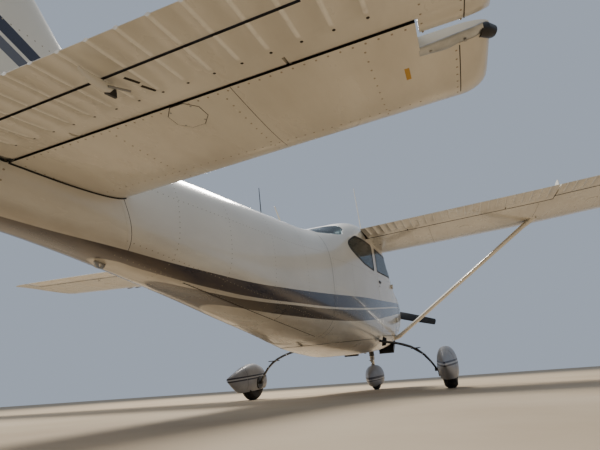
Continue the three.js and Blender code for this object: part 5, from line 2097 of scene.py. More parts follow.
@dataclass
class Wings:
    """The wings with their flaps, ailerons, fences and struts."""

    finishes: Finishes
    flap: tuple[float, float] = (612, 2686)
    flap_tracks: tuple[float, ...] = (1100, 2200)
    aileron: tuple[float, float] = (2700, 5140)
    aileron_lugs: tuple[float, ...] = (3200, 4700)
    bead_pitch: float = 84.0

    FLAP_NOSE = ((0.8, 1), (0.786, 0.93), (0.772, 0.82), (0.759, 0.71), (0.748, 0.58), (0.739, 0.44),
                 (0.733, 0.3), (0.731, 0.2), (0.731, 0.12), (0.733, 0.05), (0.738, 0))
    FLAP_COVE = ((0.789, 1.6), (0.789, 1), (0.777, 0.96), (0.764, 0.9), (0.751, 0.79), (0.741, 0.66),
                 (0.733, 0.5), (0.727, 0.34), (0.725, 0), (0.725, -0.8))
    TRACK = ((0.7, 0.2), (0.765, 0.25), (0.765, 0.7), (0.7, 0.75))
    TRACK_SLOT = ((0.6, -1), (0.779, -1), (0.779, 2), (0.6, 2))

    def build(self) -> None:
        """Makes both wings."""
        self.panel()
        self.flaps()
        self.ailerons()
        self.struts()

    def tracks(self, outline: Sequence[Sequence[float]], half: float) -> list[Mesh]:
        """Plates across the flap's nose: its tracks, or the slots that they stand in."""
        return [Mesh().loft([inside_wing(span, outline) for span in (x - half, x + half)])
                for x in self.flap_tracks]

    def panel(self) -> None:
        """The fixed wing with its coves and stall fence."""
        wing = WING.whole(500, WING_TIP[0], 44).build("wing_left_skin")
        start, end = self.flap
        bay = Mesh().loft([np.concatenate([inside_wing(span, self.FLAP_COVE),
                                           WING.at(span, [1.3, 1.3, 0.789], [-0.2, 0.2, 0.2])])
                           for span in WING.spans(500, end + RUN)])
        cove = WING.cove(self.aileron[0] - RUN, self.aileron[1] + RUN, aileron_hinge, RUN)
        carve(wing, [HULL.solid(1450, 4600)])
        # The flap bay and aileron cove are lined dark brown: painted shade in the recesses.
        carve(wing, [bay, cove], lining=self.finishes.shadow)
        fence = slab([(2300, 2000), (2900, 2000), (2900, 2222), (2880, 2228), (2840, 2230),
                      (2420, 2180), (2330, 2130)], 2880, 2886)
        lugs = [WING.plate(x, AILERON_HINGE, **LUG) for x in self.aileron_lugs]
        carve(wing, [fence, *self.tracks(self.TRACK, 4), *lugs], Cut.JOIN)
        dress_pair(wing, self.finishes.plain, "white_paint", "wing_{}")

    def flaps(self) -> None:
        """The slotted flaps, beaded along the chord."""
        start, end = self.flap
        beads = Beads(np.arange(start + 60, end - 30, self.bead_pitch), start=0.8, rise=3.2)
        back = np.array([1, 0.998, 0.985, 0.96, 0.93, 0.9, 0.87, 0.84, 0.82, 0.805])
        rings = [np.concatenate([WING.skin(span, back, 1, beads), inside_wing(span, self.FLAP_NOSE),
                                 WING.skin(span, np.append(0.76, back[::-1]), -1, beads)])
                 for span in WING.spans(start, end, beads.spans())]
        made = Mesh().loft(rings).build("flap_left_skin")
        carve(made, self.tracks(self.TRACK_SLOT, 4.9))
        dress_pair(made, self.finishes.flap, "white_paint", "flap_{}")

    def ailerons(self) -> None:
        """The ailerons, beaded along the chord."""
        start, end = self.aileron
        beads = Beads(np.arange(start + 60, end - 30, self.bead_pitch), start=0.83, rise=3.0)
        made = WING.flap(start, end, aileron_hinge, beads).build("aileron_left_skin")
        carve(made, [WING.plate(x, AILERON_HINGE, **LUG_SLOT) for x in self.aileron_lugs])
        dress_pair(made, self.finishes.aileron, "white_paint", "aileron_{}")

    def struts(self) -> None:
        """The streamlined lift struts with their cuffs."""
        turn = around(36)
        aft, high = np.cos(turn) * 64, np.sin(turn) * 26 * (1 - 0.35 * np.cos(turn))
        # The foot's cuff bends in level to the fuselage; the head's widens under the wing.
        path = [(*center, size) for center, size in (((440, 1868, 612), 1.1), ((490, 1870, 611), 1.12),
                                                     ((528, 1873, 613), 1.14), ((556, 1878, 622), 1.15))]
        for t, size in ((0.035, 1.13), (0.05, 1.03), (0.06, 1), (0.93, 1), (0.945, 1.06),
                        (0.955, 1.2), (0.975, 1.3), (1, 1.5)):
            path.append((*(STRUT_FOOT + (STRUT_HEAD - STRUT_FOOT) * t), size))
        rows = np.array(path)
        rings = []
        for center, size, along in zip(rows[:, :3], rows[:, 3], np.gradient(rows[:, :3], axis=0)):
            up = np.cross((0, 1, 0), along)
            up /= np.linalg.norm(up)
            rings.append(center + np.outer(aft * size, (0, 1, 0)) + np.outer(high * size, up))
        made = Mesh().loft(rings).build("wing_strut_left_skin")
        above = WING.whole(1500, 3500, 40).build("above")
        carve(made, [HULL.solid(1450, 2400), above])
        dress_pair(made, self.finishes.strut, "white_paint", "wing_strut_{}")


@dataclass
class CarriedOver:
    """Construction nodes that show as they are, with soft edges and a real finish."""

    finishes: Finishes
    bevel_mm: float = 1.2

    def build(self) -> None:
        """Finishes each of them."""
        f = self.finishes
        names = {
            f.firewall: ("firewall",), f.iron: ("engine_block",), f.exhaust: ("exhaust_pipe",),
            # On the nose strut this dark finish is painted shade; the strut stands in shade under the
            # cowl.
            f.leg: ("gear_leg_left", "gear_leg_right", "cowl_flap_left", "cowl_flap_right",
                    "nose_strut"),
            f.steel: ("nose_fork", "elevator_torque_tube"),
            f.plain: ("aerial_tail_blade", "aerial_roof_whip"), f.seal: ("aerial_tail_whip",),
            f.panel: ("instrument_panel",), f.carpet: ("baggage_bulkhead",),
        }
        group = self.softener()
        for material, nodes in names.items():
            for name in nodes:
                self.finish(frame["nodes"][name], material, group)

    def finish(self, node: bpy.types.Object, material: bpy.types.Material,
               group: bpy.types.NodeTree) -> None:
        """Gives one node its material, small bevels and smooth shading.

        Args:
            node: The node.
            material: Its material.
            group: Node group that shades it smooth.
        """
        if node.material_slots:
            node.material_slots[0].link = "OBJECT"
            node.material_slots[0].material = material
        else:
            node.data.materials.append(material)
        bevel = node.modifiers.new("edge", "BEVEL")
        bevel.width = self.bevel_mm * MM
        bevel.segments = 2
        bevel.limit_method = "ANGLE"
        bevel.angle_limit = math.radians(40)
        shade = node.modifiers.new("shade", "NODES")
        shade.node_group = group

    def softener(self) -> bpy.types.NodeTree:
        """A node group that shades faces smooth, but for steep edges.

        Returns:
            The node group.
        """
        group = bpy.data.node_groups.new("smooth_by_angle", "GeometryNodeTree")
        group.interface.new_socket("Geometry", in_out="INPUT", socket_type="NodeSocketGeometry")
        group.interface.new_socket("Geometry", in_out="OUTPUT", socket_type="NodeSocketGeometry")
        kinds = ("NodeGroupInput", "NodeGroupOutput", "GeometryNodeInputMeshEdgeAngle",
                 "FunctionNodeCompare", "GeometryNodeSetShadeSmooth", "GeometryNodeSetShadeSmooth")
        start, end, angle, steep, faces, edges = (group.nodes.new(kind) for kind in kinds)
        steep.operation = "LESS_THAN"
        steep.inputs[1].default_value = math.radians(35)
        edges.domain = "EDGE"
        for source, target in ((start.outputs[0], faces.inputs[0]), (faces.outputs[0], edges.inputs[0]),
                               (angle.outputs[0], steep.inputs[0]), (steep.outputs[0], edges.inputs[2]),
                               (edges.outputs[0], end.inputs[0])):
            group.links.new(source, target)
        return group


Spot = tuple[np.ndarray, np.ndarray]


def spaced(start: float, end: float, pitch: float) -> np.ndarray:
    """Places from one end to the other, about a pitch apart."""
    return np.linspace(start, end, max(2, round(abs(end - start) / pitch) + 1))


def spot(surface: Surface, span: float, aft: float, side: Side) -> Spot:
    """Point and outward direction on a lifting surface.

    Args:
        surface: The surface.
        span: Place along its span.
        aft: Level y of the point.
        side: Upper or port skin, or lower or starboard skin.

    Returns:
        The two.
    """
    u = surface.share(span, aft)
    point = surface.skin(span, u, side)
    way = np.cross(surface.skin(span, u + 0.004, side) - point,
                   surface.skin(span + 4, u, side) - point)
    way *= np.sign(way[0 if surface.upright else 2]) * side
    return point, way / np.linalg.norm(way)


def on_section(y: float, angle: np.ndarray | float) -> tuple[np.ndarray, np.ndarray]:
    """Across and up from the widest height, at an angle from the horizontal in degrees.

    Args:
        y: Station.
        angle: One angle or several.

    Returns:
        Distances across and up.
    """
    low, high, wide, half, upper, lower = HULL.section(y)
    turn = np.radians(angle)
    power = np.where(turn > 0, upper, lower)
    reach = np.where(turn > 0, high - wide, wide - low)
    return np.cos(turn) ** (2 / power) * half, boxed(np.sin(turn), 2 / power) * reach


def hoop(y: float, start: float, end: float, pitch: float = 30.0, lean: float = 0.0) -> list[Spot]:
    """Spots around the port side of the fuselage.

    Args:
        y: Station of the hoop at the widest height.
        start: Lowest angle in degrees, -90 at the keel.
        end: Highest angle, 90 at the spine.
        pitch: Distance between spots.
        lean: How far aft it leans for each millimetre up.

    Returns:
        The spots.
    """
    x, z = on_section(y, np.linspace(start, end, 240))
    length = np.concatenate([[0], np.cumsum(np.hypot(np.diff(x), np.diff(z)))])
    wide = HULL.section(y)[2]
    places = spaced(0, length[-1], pitch)
    return [hull_spot(y + lean * up, wide + up, None if lean else across)
            for up, across in zip(np.interp(places, length, z), np.interp(places, length, x))]


def stringer(angle: float, start: float, end: float, pitch: float) -> list[Spot]:
    """Spots along the port side of the fuselage at one angle of its sections.

    Args:
        angle: The angle in degrees, -90 at the keel.
        start: First station.
        end: Last station.
        pitch: Distance between spots.

    Returns:
        The spots.
    """
    made = []
    for y in spaced(start, end, pitch):
        x, z = on_section(y, angle)
        made.append(hull_spot(y, HULL.section(y)[2] + float(z), float(x)))
    return made


def hull_spot(y: float, z: float, across: float | None = None) -> Spot:
    """Point and outward direction on the port side of the fuselage.

    Args:
        y: Station.
        z: Height.
        across: Distance from the middle plane, where it is known.

    Returns:
        The two.
    """
    low, high, wide, half, upper, lower = HULL.section(y)
    power, reach = (upper, high - wide) if z > wide else (lower, wide - low)
    x = HULL.side_x(y, z) if across is None else across
    rise = min(abs(z - wide) / reach, 1.0)
    way = np.array([(max(x, 0.0) / half) ** (power - 1) / half, 0.0,
                    math.copysign(rise ** (power - 1) / reach, z - wide)])
    way /= np.linalg.norm(way)
    ahead = np.array([HULL.side_x(y - 20, z), y - 20, z]) - [HULL.side_x(y + 20, z), y + 20, z]
    if way[0] > 0.3:
        way = np.cross(ahead, np.cross(way, ahead))
        way /= np.linalg.norm(way)
    return np.array([x, y, z]), way


def line(places: Iterable[Sequence[float]]) -> list[Spot]:
    """Spots on the port side of the fuselage from y and z places."""
    return [hull_spot(y, z) for y, z in places]


def ribbon(spots: Sequence[Spot], half: float, proud: float, closed: bool = False,
           shift: float = 0.0) -> Mesh:
    """A flat strip that lies along spots on a skin.

    Args:
        spots: Points on its middle line, with their outward directions.
        half: Half of its width.
        proud: How far it stands out.
        closed: Whether it closes on itself.
        shift: How far it is moved sideways.

    Returns:
        Its mesh.
    """
    points = np.array([place for place, _ in spots])
    ways = np.array([way for _, way in spots])
    if closed:
        ahead = np.roll(points, -1, 0) - np.roll(points, 1, 0)
    else:
        ahead = np.gradient(points, axis=0)
    across = np.cross(ways, ahead)
    across /= np.linalg.norm(across, axis=1)[:, None]
    rows = np.stack([points + across * (shift + half * share) + ways * rise
                     for share, rise in strip_section(proud, -1.6)], 1)
    rings = [*rows, rows[0]] if closed else rows
    return Mesh().loft(rings, capped=not closed)


def disc(place: Spot, radius: float, proud: float, sides: int = 20, inner: float = 0.0) -> Mesh:
    """A round plate on a skin, or a ring where it has an inner radius.

    Args:
        place: Its middle and outward direction.
        radius: Its radius.
        proud: How far it stands out.
        sides: Sides of its outline.
        inner: Radius of the hole, or 0 for none.

    Returns:
        Its mesh.
    """
    point, way = place
    across, up = along_skin(way)
    turn = around(sides, 0.5)
    ring = np.outer(np.cos(turn), across) + np.outer(np.sin(turn), up)
    edge = min(1.0, proud * 0.5)
    rows = [point - way * 1.6 + ring * radius, point + way * (proud - edge) + ring * radius,
            point + way * proud + ring * (radius - edge)]
    if inner:
        rows += [point + way * proud + ring * inner, point - way * 1.6 + ring * inner, rows[0]]
    return Mesh().loft(rows, capped=not inner)


class Trim:
    """Seams, rivets and small fittings of one moving body, gathered by finish."""

    def __init__(self, finishes: Finishes, name: str, carrier: str,
                 paint: bpy.types.Material) -> None:
        """Starts empty.

        Args:
            finishes: Every material.
            name: Start of the pieces' names.
            carrier: Construction node whose body they ride on.
            paint: Finish of the skin that they are on.
        """
        self.name, self.carrier = name, carrier
        self.parts: dict[str, list[Mesh]] = {}
        # Dark strips and spots share one look: dirt along seams and round covers, painted shade in
        # holes, slots and bead mouths.
        self.looks = {
            "laps": (paint, "white_paint"), "dirt_and_shade": (finishes.shadow, "tyre_rubber"),
            "rivets": (finishes.rivet, "white_paint"), "screws": (finishes.steel, "bare_steel"),
            "covers": (paint, "white_paint"), "black_parts": (finishes.black_paint, "panel_plastic"),
            "grey_parts": (finishes.fibre, "grey_paint"), "seals": (finishes.seal, "tyre_rubber"),
            "bright_parts": (finishes.bright, "bare_steel"), "label": (finishes.label, "panel_plastic"),
            "red_lens": (finishes.red, "window"), "green_lens": (finishes.green, "window"),
            "clear_lens": (finishes.clear, "window"),
        }

    def put(self, kind: str, *meshes: Mesh) -> "Trim":
        """Adds meshes to one kind of fitting."""
        self.parts.setdefault(kind, []).extend(meshes)
        return self

    def both(self, kind: str, *meshes: Mesh) -> "Trim":
        """Adds meshes and their mirror images."""
        return self.put(kind, *meshes, *(mesh.mirrored() for mesh in meshes))

    def seam(self, spots: Sequence[Spot], both: bool = True, half: float = 11.0,
             closed: bool = False, dirt: float = 1.3) -> "Trim":
        """Adds a lap seam: the upper sheet's edge, with dirt along it.

        Args:
            spots: Spots on its middle line.
            both: Whether it is also mirrored.
            half: Half of its width.
            closed: Whether it closes on itself.
            dirt: Half of the width of the dirt.

        Returns:
            This trim.
        """
        lay = self.both if both else self.put
        lay("laps", ribbon(spots, half, 0.9, closed))
        return lay("dirt_and_shade", ribbon(spots, dirt, 1.0, closed, half + 0.6))

    def rivets(self, spots: Sequence[Spot], both: bool = True, radius: float = 3.2) -> "Trim":
        """Adds a row of rivet heads."""
        heads = Rivets(radius).heads(spots)
        return self.both("rivets", heads) if both else self.put("rivets", heads)

    def cover(self, place: Spot, radius: float, both: bool = True, screws: int = 4,
              sides: int = 28) -> "Trim":
        """Adds an inspection cover with its screws.

        Args:
            place: Its middle and outward direction.
            radius: Its radius.
            both: Whether it is also mirrored.
            screws: How many screws.
            sides: Sides of its outline.

        Returns:
            This trim.
        """
        lay = self.both if both else self.put
        lay("covers", disc(place, radius, 1.4, sides))
        lay("dirt_and_shade", disc(place, radius + 2.2, 0.5, sides, radius - 1))
        point, way = place
        across = np.cross(way, (0, 1, 0))
        up = np.cross(way, across)
        heads = [(point + way * 1.4 + (across * math.cos(t) + up * math.sin(t)) * (radius - 9), way)
                 for t in around(screws, 0.5)]
        return lay("screws", Rivets(3.4, 1.2, 10).heads(heads))

    def build(self, other: str | None = None) -> None:
        """Makes one piece for each kind.

        Args:
            other: Node on the other side that a mirror image of each piece rides with.
        """
        for kind, meshes in self.parts.items():
            look, slot = self.looks[kind]
            made = merged(meshes).build(f"{self.name}_{kind}")
            if other:
                dress(twin(made, f"{other}_{kind}"), look, slot, other)
            dress(made, look, slot, self.carrier)


@dataclass
class TailTrim:
    """Seams, rivets, covers and fittings of the tail."""

    finishes: Finishes
    tail: Tail
    rib_places: tuple[float, ...] = (190, 610, 1030, 1450)
    rear_row: float = 7226.0
    tip_seam: float = 1685.0
    lead_bare: float = 45.0  # no rivets this near the leading edge
    cover_place: tuple[float, float] = (880.0, 7180.0)
    label_place: tuple[float, float] = (1542.0, 7058.0)

    def build(self) -> None:
        """Makes the trim of each body."""
        self.plane()
        self.elevators()
        self.fin()
        self.rudder()

    def chord_row(self, x: float, start: float, end: float, side: Side, pitch: float) -> list[Spot]:
        """Spots along the chord of the tailplane, from behind its leading edge.

        Args:
            x: Place along the span.
            start: Level y of the first.
            end: Level y of the last.
            side: Upper or lower skin.
            pitch: Distance between spots.

        Returns:
            The spots.
        """
        start = max(start, float(PLANE.row(x)[0]) + self.lead_bare)
        return [spot(PLANE, x, y, side) for y in spaced(start, end, pitch)]

    def plane(self) -> None:
        """The fixed tailplane."""
        f = self.finishes
        trim = Trim(f, "stabilizer", "stabilizer_left", f.plain)
        for side in BOTH:
            for x in self.rib_places:
                trim.rivets(self.chord_row(x, 6800, self.rear_row - 30, side, 36))
            for y in (6885, self.rear_row):
                trim.rivets([spot(PLANE, x, y, side) for x in spaced(240, 1560, 34)])
            tip = self.chord_row(self.tip_seam, 6860, 7112, side, 18)
            trim.both("dirt_and_shade", ribbon(tip, 1.4, 0.5))
            trim.rivets([(point + [-9, 0, 0], way) for point, way in tip[::2]])
            trim.both("dirt_and_shade", ribbon(self.chord_row(1065, 6800, 7236, side, 40), 1.0, 0.4))
            # A dark rubber strip along the root: a seal, and painted shade in the corner between
            # tailplane and fuselage.
            root = [hull_spot(y, float(PLANE.skin(190, PLANE.share(190, y), side)[2]))
                    for y in spaced(6752, 7240, 20)]
            trim.both("seals", ribbon(root, 5.0, 4.0))
        trim.cover(spot(PLANE, *self.cover_place, -1), 60, screws=4, sides=8)
        x, y = self.label_place
        label = ribbon([spot(PLANE, x, y + step, -1) for step in (-26, 0, 26)], 7, 0.4)
        trim.put("label", label.mirrored())
        channel = [(x, 7126.0, z) for x, z in ((1582, 1304), (1650, 1305), (1722, 1311), (1744, 1317))]
        trim.both("bright_parts", bar(channel, (7, 9, 9, 8), 20, 2.5))
        trim.both("black_parts", bar([(1736, 7122, 1315), (1750, 7116, 1318), (1768, 7096, 1321),
                                      (1774, 7080, 1323)], (16, 19, 17, 7), 24))
        heads = [(np.array([x, 7126.0, 1296.0]), np.array([0.0, 0.0, -1.0])) for x in (1612, 1700)]
        trim.both("screws", Rivets(4, 1.6, 10).heads(heads))
        trim.build()

    def elevators(self) -> None:
        """The elevators: rivets along the hinge spar, the tab's actuator and its rod."""
        f, droop = self.finishes, self.tail.drooped
        trim = Trim(f, "elevator", "elevator_left", f.elevator)
        for side in BOTH:
            ends = [spot(PLANE, x, y, side) for x in (1600, 1692) for y in spaced(7190, 7480, 36)]
            trim.both("rivets", droop(Rivets(3.0).heads(ends)))
            tip = [spot(PLANE, 1700, y, side) for y in spaced(7190, 7505, 30)]
            trim.both("dirt_and_shade", droop(ribbon(tip, 1.3, 0.5)))
        # Dark strips over the two slots by the tab's actuator: painted shade in the openings.
        for x, y in ((868, 7400), (877, 7350)):
            slot = [spot(PLANE, x + step * 0.4, y - step, -1) for step in (-19, 0, 19)]
            trim.put("dirt_and_shade", droop(ribbon(slot, 5, 0.8)).mirrored())
        # Dark spots where the beads open at the hinge and before the tab: painted shade.
        for y in (7316, TAB.hinge - 14):
            mouths = [spot(PLANE, x, y, -1) for x in ELEVATOR_BEADS.places]
            trim.both("dirt_and_shade", droop(Rivets(4.5, 1.0, 9).heads(mouths)))
        # Larger dark spots where the beads open at the trailing edge: painted shade.
        ends = [spot(PLANE, x, 7537, -1) for x in ELEVATOR_BEADS.places]
        trim.both("dirt_and_shade", droop(Rivets(5.5, 1.5, 9).heads(ends)))
        horn = [(829, 7425, 1299), (828, 7442, 1288), (829, 7462, 1284), (831, 7500, 1288),
                (832, 7530, 1300)]
        trim.put("covers", droop(bar(horn, (7, 13, 17, 13, 5), 20, 0.6)).mirrored())
        trim.put("screws", droop(bar([(846, 7385, 1295), (838, 7452, 1284)], 3.2, 12)).mirrored())
        bracket = block((818, 826), (7412, 7446), (1272, 1302))
        trim.put("black_parts", droop(bracket).mirrored())
        trim.build()

    def fin(self) -> None:
        """The fin's rivets, its fillet and the beacon on its top."""
        f = self.finishes
        trim = Trim(f, "fin", "fin", f.fin)
        for side in BOTH:
            for z in (1960, 2180, 2400, 2620, 2840):
                lead = float(FIN.row(z)[0])
                hinge = fin_hinge_y(z)
                trim.rivets([spot(FIN, z, y, side) for y in spaced(lead + 40, hinge - 25, 34)], False)
            for back in (30, 210):
                row = [spot(FIN, z, fin_hinge_y(z) - back, side) for z in spaced(1760, 2930, 34)]
                trim.rivets(row, False)
            fillet = [spot(FIN, 1640 + (y - 5800) * 0.12, y, side) for y in spaced(6240, 7120, 40)]
            trim.put("dirt_and_shade", ribbon(fillet, 1.4, 0.6))
        dome = [(ON_AXLE, 3096), (34, 3096), (34, 3106), (30, 3124), (18, 3136), (ON_AXLE, 3139)]
        trim.put("red_lens", lathe(dome, BEACON, "z", 28))
        trim.put("bright_parts", lathe(washer(ON_AXLE, 38, 3060, 3095), BEACON, "z", 28))
        trim.build()

    def rudder(self) -> None:
        """The rudder's rivets."""
        f = self.finishes
        trim = Trim(f, "rudder", "rudder", f.fin)
        for side in BOTH:
            row = [spot(FIN, z, fin_hinge_y(z) + 45, side) for z in spaced(1180, 2940, 32)]
            trim.rivets(row, False)
        trim.build()


@dataclass
class FuselageTrim:
    """Seams, rivets, doors and fittings of the fuselage."""

    finishes: Finishes
    frames: tuple[float, ...] = (4990, 5490, 5990, 6420)
    lap_frames: tuple[float, ...] = (4500,)
    stringers: tuple[float, ...] = (-66, -38, 22, 60)
    baggage_door: Outline = ((3170, 850), (3600, 850), (3600, 1330), (3170, 1330))

    def build(self) -> None:
        """Makes the trim of each body."""
        self.tail_cone()
        self.cabin()
        self.cowl()
        self.doors()

    def tail_cone(self) -> None:
        """Frames, stringers and fittings of the tail cone."""
        trim = Trim(self.finishes, "tail_cone", "tail_cone", self.finishes.hull)
        for y in self.lap_frames:
            trim.seam(hoop(y, -84, 84))
            trim.rivets(hoop(y, -84, 84, 26))
        for y in self.frames:
            trim.rivets(hoop(y, -84, 84, 30))
        slanted = hoop(6760, -60, 62, 24, 0.45)
        trim.seam(slanted).rivets([(point + [0, -8, 0], way) for point, way in slanted], radius=2.4)
        for angle in self.stringers:
            trim.rivets(stringer(angle, 4540, 6700, 36))
        # Below, oil and dust gather along the laps.
        trim.seam(stringer(-70, 4540, 6240, 40), dirt=2.6)
        trim.seam(hoop(5262, -88, -44, 26), dirt=2.4)
        trim.rivets(line((7250, z) for z in spaced(1345, 1195, 38)), radius=4.2)
        trim.both("rivets", disc(hull_spot(7212, 1313), 10, 1.5, 20, 6))
        trim.both("covers", disc(hull_spot(6738, 1331), 13, 2.0, 4))
        dome = [(ON_AXLE, 7515), (24, 7515), (24, 7530), (17, 7548), (ON_AXLE, 7556)]
        trim.put("clear_lens", lathe(dome, TAIL_LIGHT, "y", 24))
        trim.put("bright_parts", lathe(washer(ON_AXLE, 29, 7500, 7524), TAIL_LIGHT, "y", 24))
        trim.build()

    def cabin(self) -> None:
        """Rivet rows, a static port, the luggage door and the seams of the cabin."""
        f = self.finishes
        trim = Trim(f, "cabin", "cabin_side_left", f.hull)
        for y in (1530, 3060, 3990, 4440):
            trim.rivets(line((y, z) for z in spaced(690, 1400, 30)))
        trim.rivets(line((y, 1395) for y in spaced(3080, 4440, 34)))
        trim.rivets([hull_spot(y, 724 if y < 3100 else 724 + (y - 3100) * 0.08)
                     for y in [*spaced(1530, 1920, 30), *spaced(3010, 4440, 34)]])
        trim.put("black_parts", disc(hull_spot(1640, 1180), 11, 1.2))
        trim.put("dirt_and_shade", skin_trim(rounded(self.baggage_door, 50), 1.0, 2.4, 0.6))
        trim.put("screws", disc(hull_spot(3585, 1110), 14, 4))
        for z in (940, 1240):
            trim.put("covers", bar([(HULL.side_x(3178, z) + 3, 3178, z - 30),
                                    (HULL.side_x(3178, z) + 3, 3178, z + 30)], 6, 14))
        for y in (3062, 4435):
            trim.seam(hoop(y, -89, -42, 40))
        trim.rivets(hoop(2300, -80, -50, 30)).rivets(hoop(3700, -80, -50, 30))
        trim.seam(line((y, 606) for y in spaced(3120, 4400, 34)), dirt=2.6)
        trim.build()

    def cowl(self) -> None:
        """Inlet rings, fasteners, the oil door and the seam of the engine cowl."""
        f = self.finishes
        trim = Trim(f, "cowl", "cowl_upper", f.hull)
        lip = [(70, 394), (78, 394), (81, 404), (78, 416), (71, 416)]
        trim.both("bright_parts", lathe(lip, (INLET[0], 0, INLET[1]), "y", 40))
        trim.put("black_parts", lathe(washer(57, 66, 396, 410), (0, 0, THRUST), "y", 40))
        trim.both("dirt_and_shade", ribbon(line((y, 1085) for y in spaced(470, 1470, 40)), 1.5, 0.6))
        trim.both("screws", Rivets(6.5, 2, 12).heads(line((y, 1070) for y in spaced(520, 1450, 116))))
        trim.both("screws", Rivets(6.5, 2, 12).heads(hoop(1462, -62, 82, 105)))
        trim.both("dirt_and_shade", ribbon(hoop(1482, -75, 86, 30), 1.8, 0.5))
        trim.put("covers", disc(stringer(58, 900, 1000, 200)[0], 95, 1.6, 4))
        trim.put("dirt_and_shade", disc(stringer(58, 900, 1000, 200)[0], 98, 0.5, 4, 93))
        trim.put("screws", disc(stringer(47, 900, 1000, 200)[0], 12, 2.8))
        trim.build()

    def doors(self) -> None:
        """Each door's rivets and the lower lip of its window."""
        f = self.finishes
        trim = Trim(f, "door_left", "door_left", f.hull)
        trim.rivets(line((y, 700) for y in spaced(1990, 2940, 34)), False)
        for y in (1972, 2960):
            trim.rivets(line((y, z) for z in spaced(740, 1420, 34)), False)
        trim.rivets(line((y, 1418) for y in spaced(2000, 2940, 34)), False)
        trim.build("door_right")


@dataclass
class WingTrim:
    """Seams, rivets, lamps and fittings of the wings."""

    finishes: Finishes
    ribs: tuple[float, ...] = (700, 1120, 1540, 1960, 2380, 2960, 3380, 3800, 4220, 4640, 5060)
    laps: tuple[float, ...] = (1330, 2545, 3900)
    covers: tuple[float, ...] = (1750, 3150, 3990, 4850)

    def build(self) -> None:
        """Makes the trim of each body."""
        self.panels()
        self.fittings()
        self.flaps()

    def row(self, share: float, side: Side, start: float, end: float, pitch: float) -> list[Spot]:
        """Spots along the span at a share of the chord.

        Args:
            share: The share.
            side: Upper or lower skin.
            start: Inboard end.
            end: Outboard end.
            pitch: Distance between spots.

        Returns:
            The spots.
        """
        made = []
        for x in spaced(start, end, pitch):
            lead, trail = WING.row(x)[:2]
            made.append(spot(WING, x, lead + (trail - lead) * share, side))
        return made

    def rib(self, x: float, side: Side, end: float, pitch: float) -> list[Spot]:
        """Spots along the chord.

        Args:
            x: Place along the span.
            side: Upper or lower skin.
            end: Share of the chord where they end.
            pitch: Distance between spots.

        Returns:
            The spots.
        """
        lead, trail = WING.row(x)[:2]
        return [spot(WING, x, y, side) for y in spaced(lead + 50, lead + (trail - lead) * end, pitch)]

    def panels(self) -> None:
        """Skins: ribs, spars, laps and inspection covers."""
        f = self.finishes
        trim = Trim(f, "wing", "wing_left", f.plain)
        for side in BOTH:
            for x in self.ribs:
                trim.rivets(self.rib(x, side, 0.7 if x < 2700 else 0.77, 42))
            for share in (0.04, 0.27, 0.68):
                trim.rivets(self.row(share, side, 720, 5230, 42))
            for x in self.laps:
                trim.seam(self.rib(x, side, 0.7, 60))
            tip = self.rib(5268, side, 0.96, 40)
            trim.both("dirt_and_shade", ribbon(tip, 1.6, 0.5)).rivets([(p + [14, 0, 0], w) for p, w in tip])
        for x in self.covers:
            trim.cover(self.row(0.5, -1, x, x + 1, 5)[0], 58, screws=6)
        trim.build()

    def fittings(self) -> None:
        """Fuel caps, lamps, the pitot tube, tie-down rings and vents."""
        f = self.finishes
        trim = Trim(f, "wing_fittings", "wing_left", f.plain)
        cap = spot(WING, 1180, 2560, 1)
        trim.both("covers", disc(cap, 62, 2.0, 32)).both("black_parts", disc(cap, 42, 5.5, 32))
        # A dark disc over the hole in the lower skin: painted shade in it.
        hole = spot(WING, 676, 2907, -1)
        trim.both("dirt_and_shade", disc(hole, 15, 0.8))
        trim.both("screws", bar([(2602, 2640, 1926), (2602, 2640, 1884), (2602, 2648, 1866),
                                 (2602, 2664, 1866), (2602, 2672, 1884), (2602, 2672, 1926)], 4, 14))
        level = wing_level(3300) - 40
        trim.put("bright_parts", bar([(3300, 2330, level), (3300, 2322, level - 62),
                                      (3300, 2296, level - 84), (3300, 2150, level - 86)], 8, 16))
        for x in (3950, 4120):
            lead = WING.row(x)[0]
            trim.put("clear_lens", disc(spot(WING, x, lead + 22, -1), 62, 4, 32))
            trim.put("bright_parts", disc(spot(WING, x, lead + 22, -1), 72, 1.6, 32))
        tip = wing_level(5490)
        lamp = bar([(5462, 2560, tip), (5484, 2590, tip), (5496, 2632, tip), (5498, 2676, tip)],
                   (8, 17, 18, 8), 20)
        strobe = bar([(5498, 2690, tip), (5504, 2712, tip), (5502, 2745, tip)], (7, 13, 7), 20)
        trim.put("red_lens", lamp).put("green_lens", lamp.mirrored()).both("clear_lens", strobe)
        # The dark disc inside the inlet's ring is painted shade in the opening.
        inlet = spot(WING, 720, 2117.5, -1)
        trim.both("dirt_and_shade", disc(inlet, 26, 1.2)).both("bright_parts", disc(inlet, 31, 2.4, 28, 26))
        vent = [(2330, 2610, 1866), (2330, 2625, 1800), (2330, 2600, 1778)]
        trim.put("bright_parts", bar(vent, 6, 12))
        trim.build()

    def flaps(self) -> None:
        """Rivets and rods of the flaps and ailerons."""
        f = self.finishes
        flap = Trim(f, "flap_left", "flap_left", f.flap)
        aileron = Trim(f, "aileron_left", "aileron_left", f.aileron)
        for side in BOTH:
            flap.rivets(self.row(0.812, side, 640, 2660, 30), False)
            aileron.rivets(self.row(0.822, side, 2725, 5115, 30), False)
        flap.build("flap_right")
        horn = [WING.at(3700, 0.84, -0.022), WING.at(3700, 0.815, -0.045), WING.at(3700, 0.80, -0.03)]
        aileron.put("screws", bar(horn, 5, 14))
        aileron.build("aileron_right")


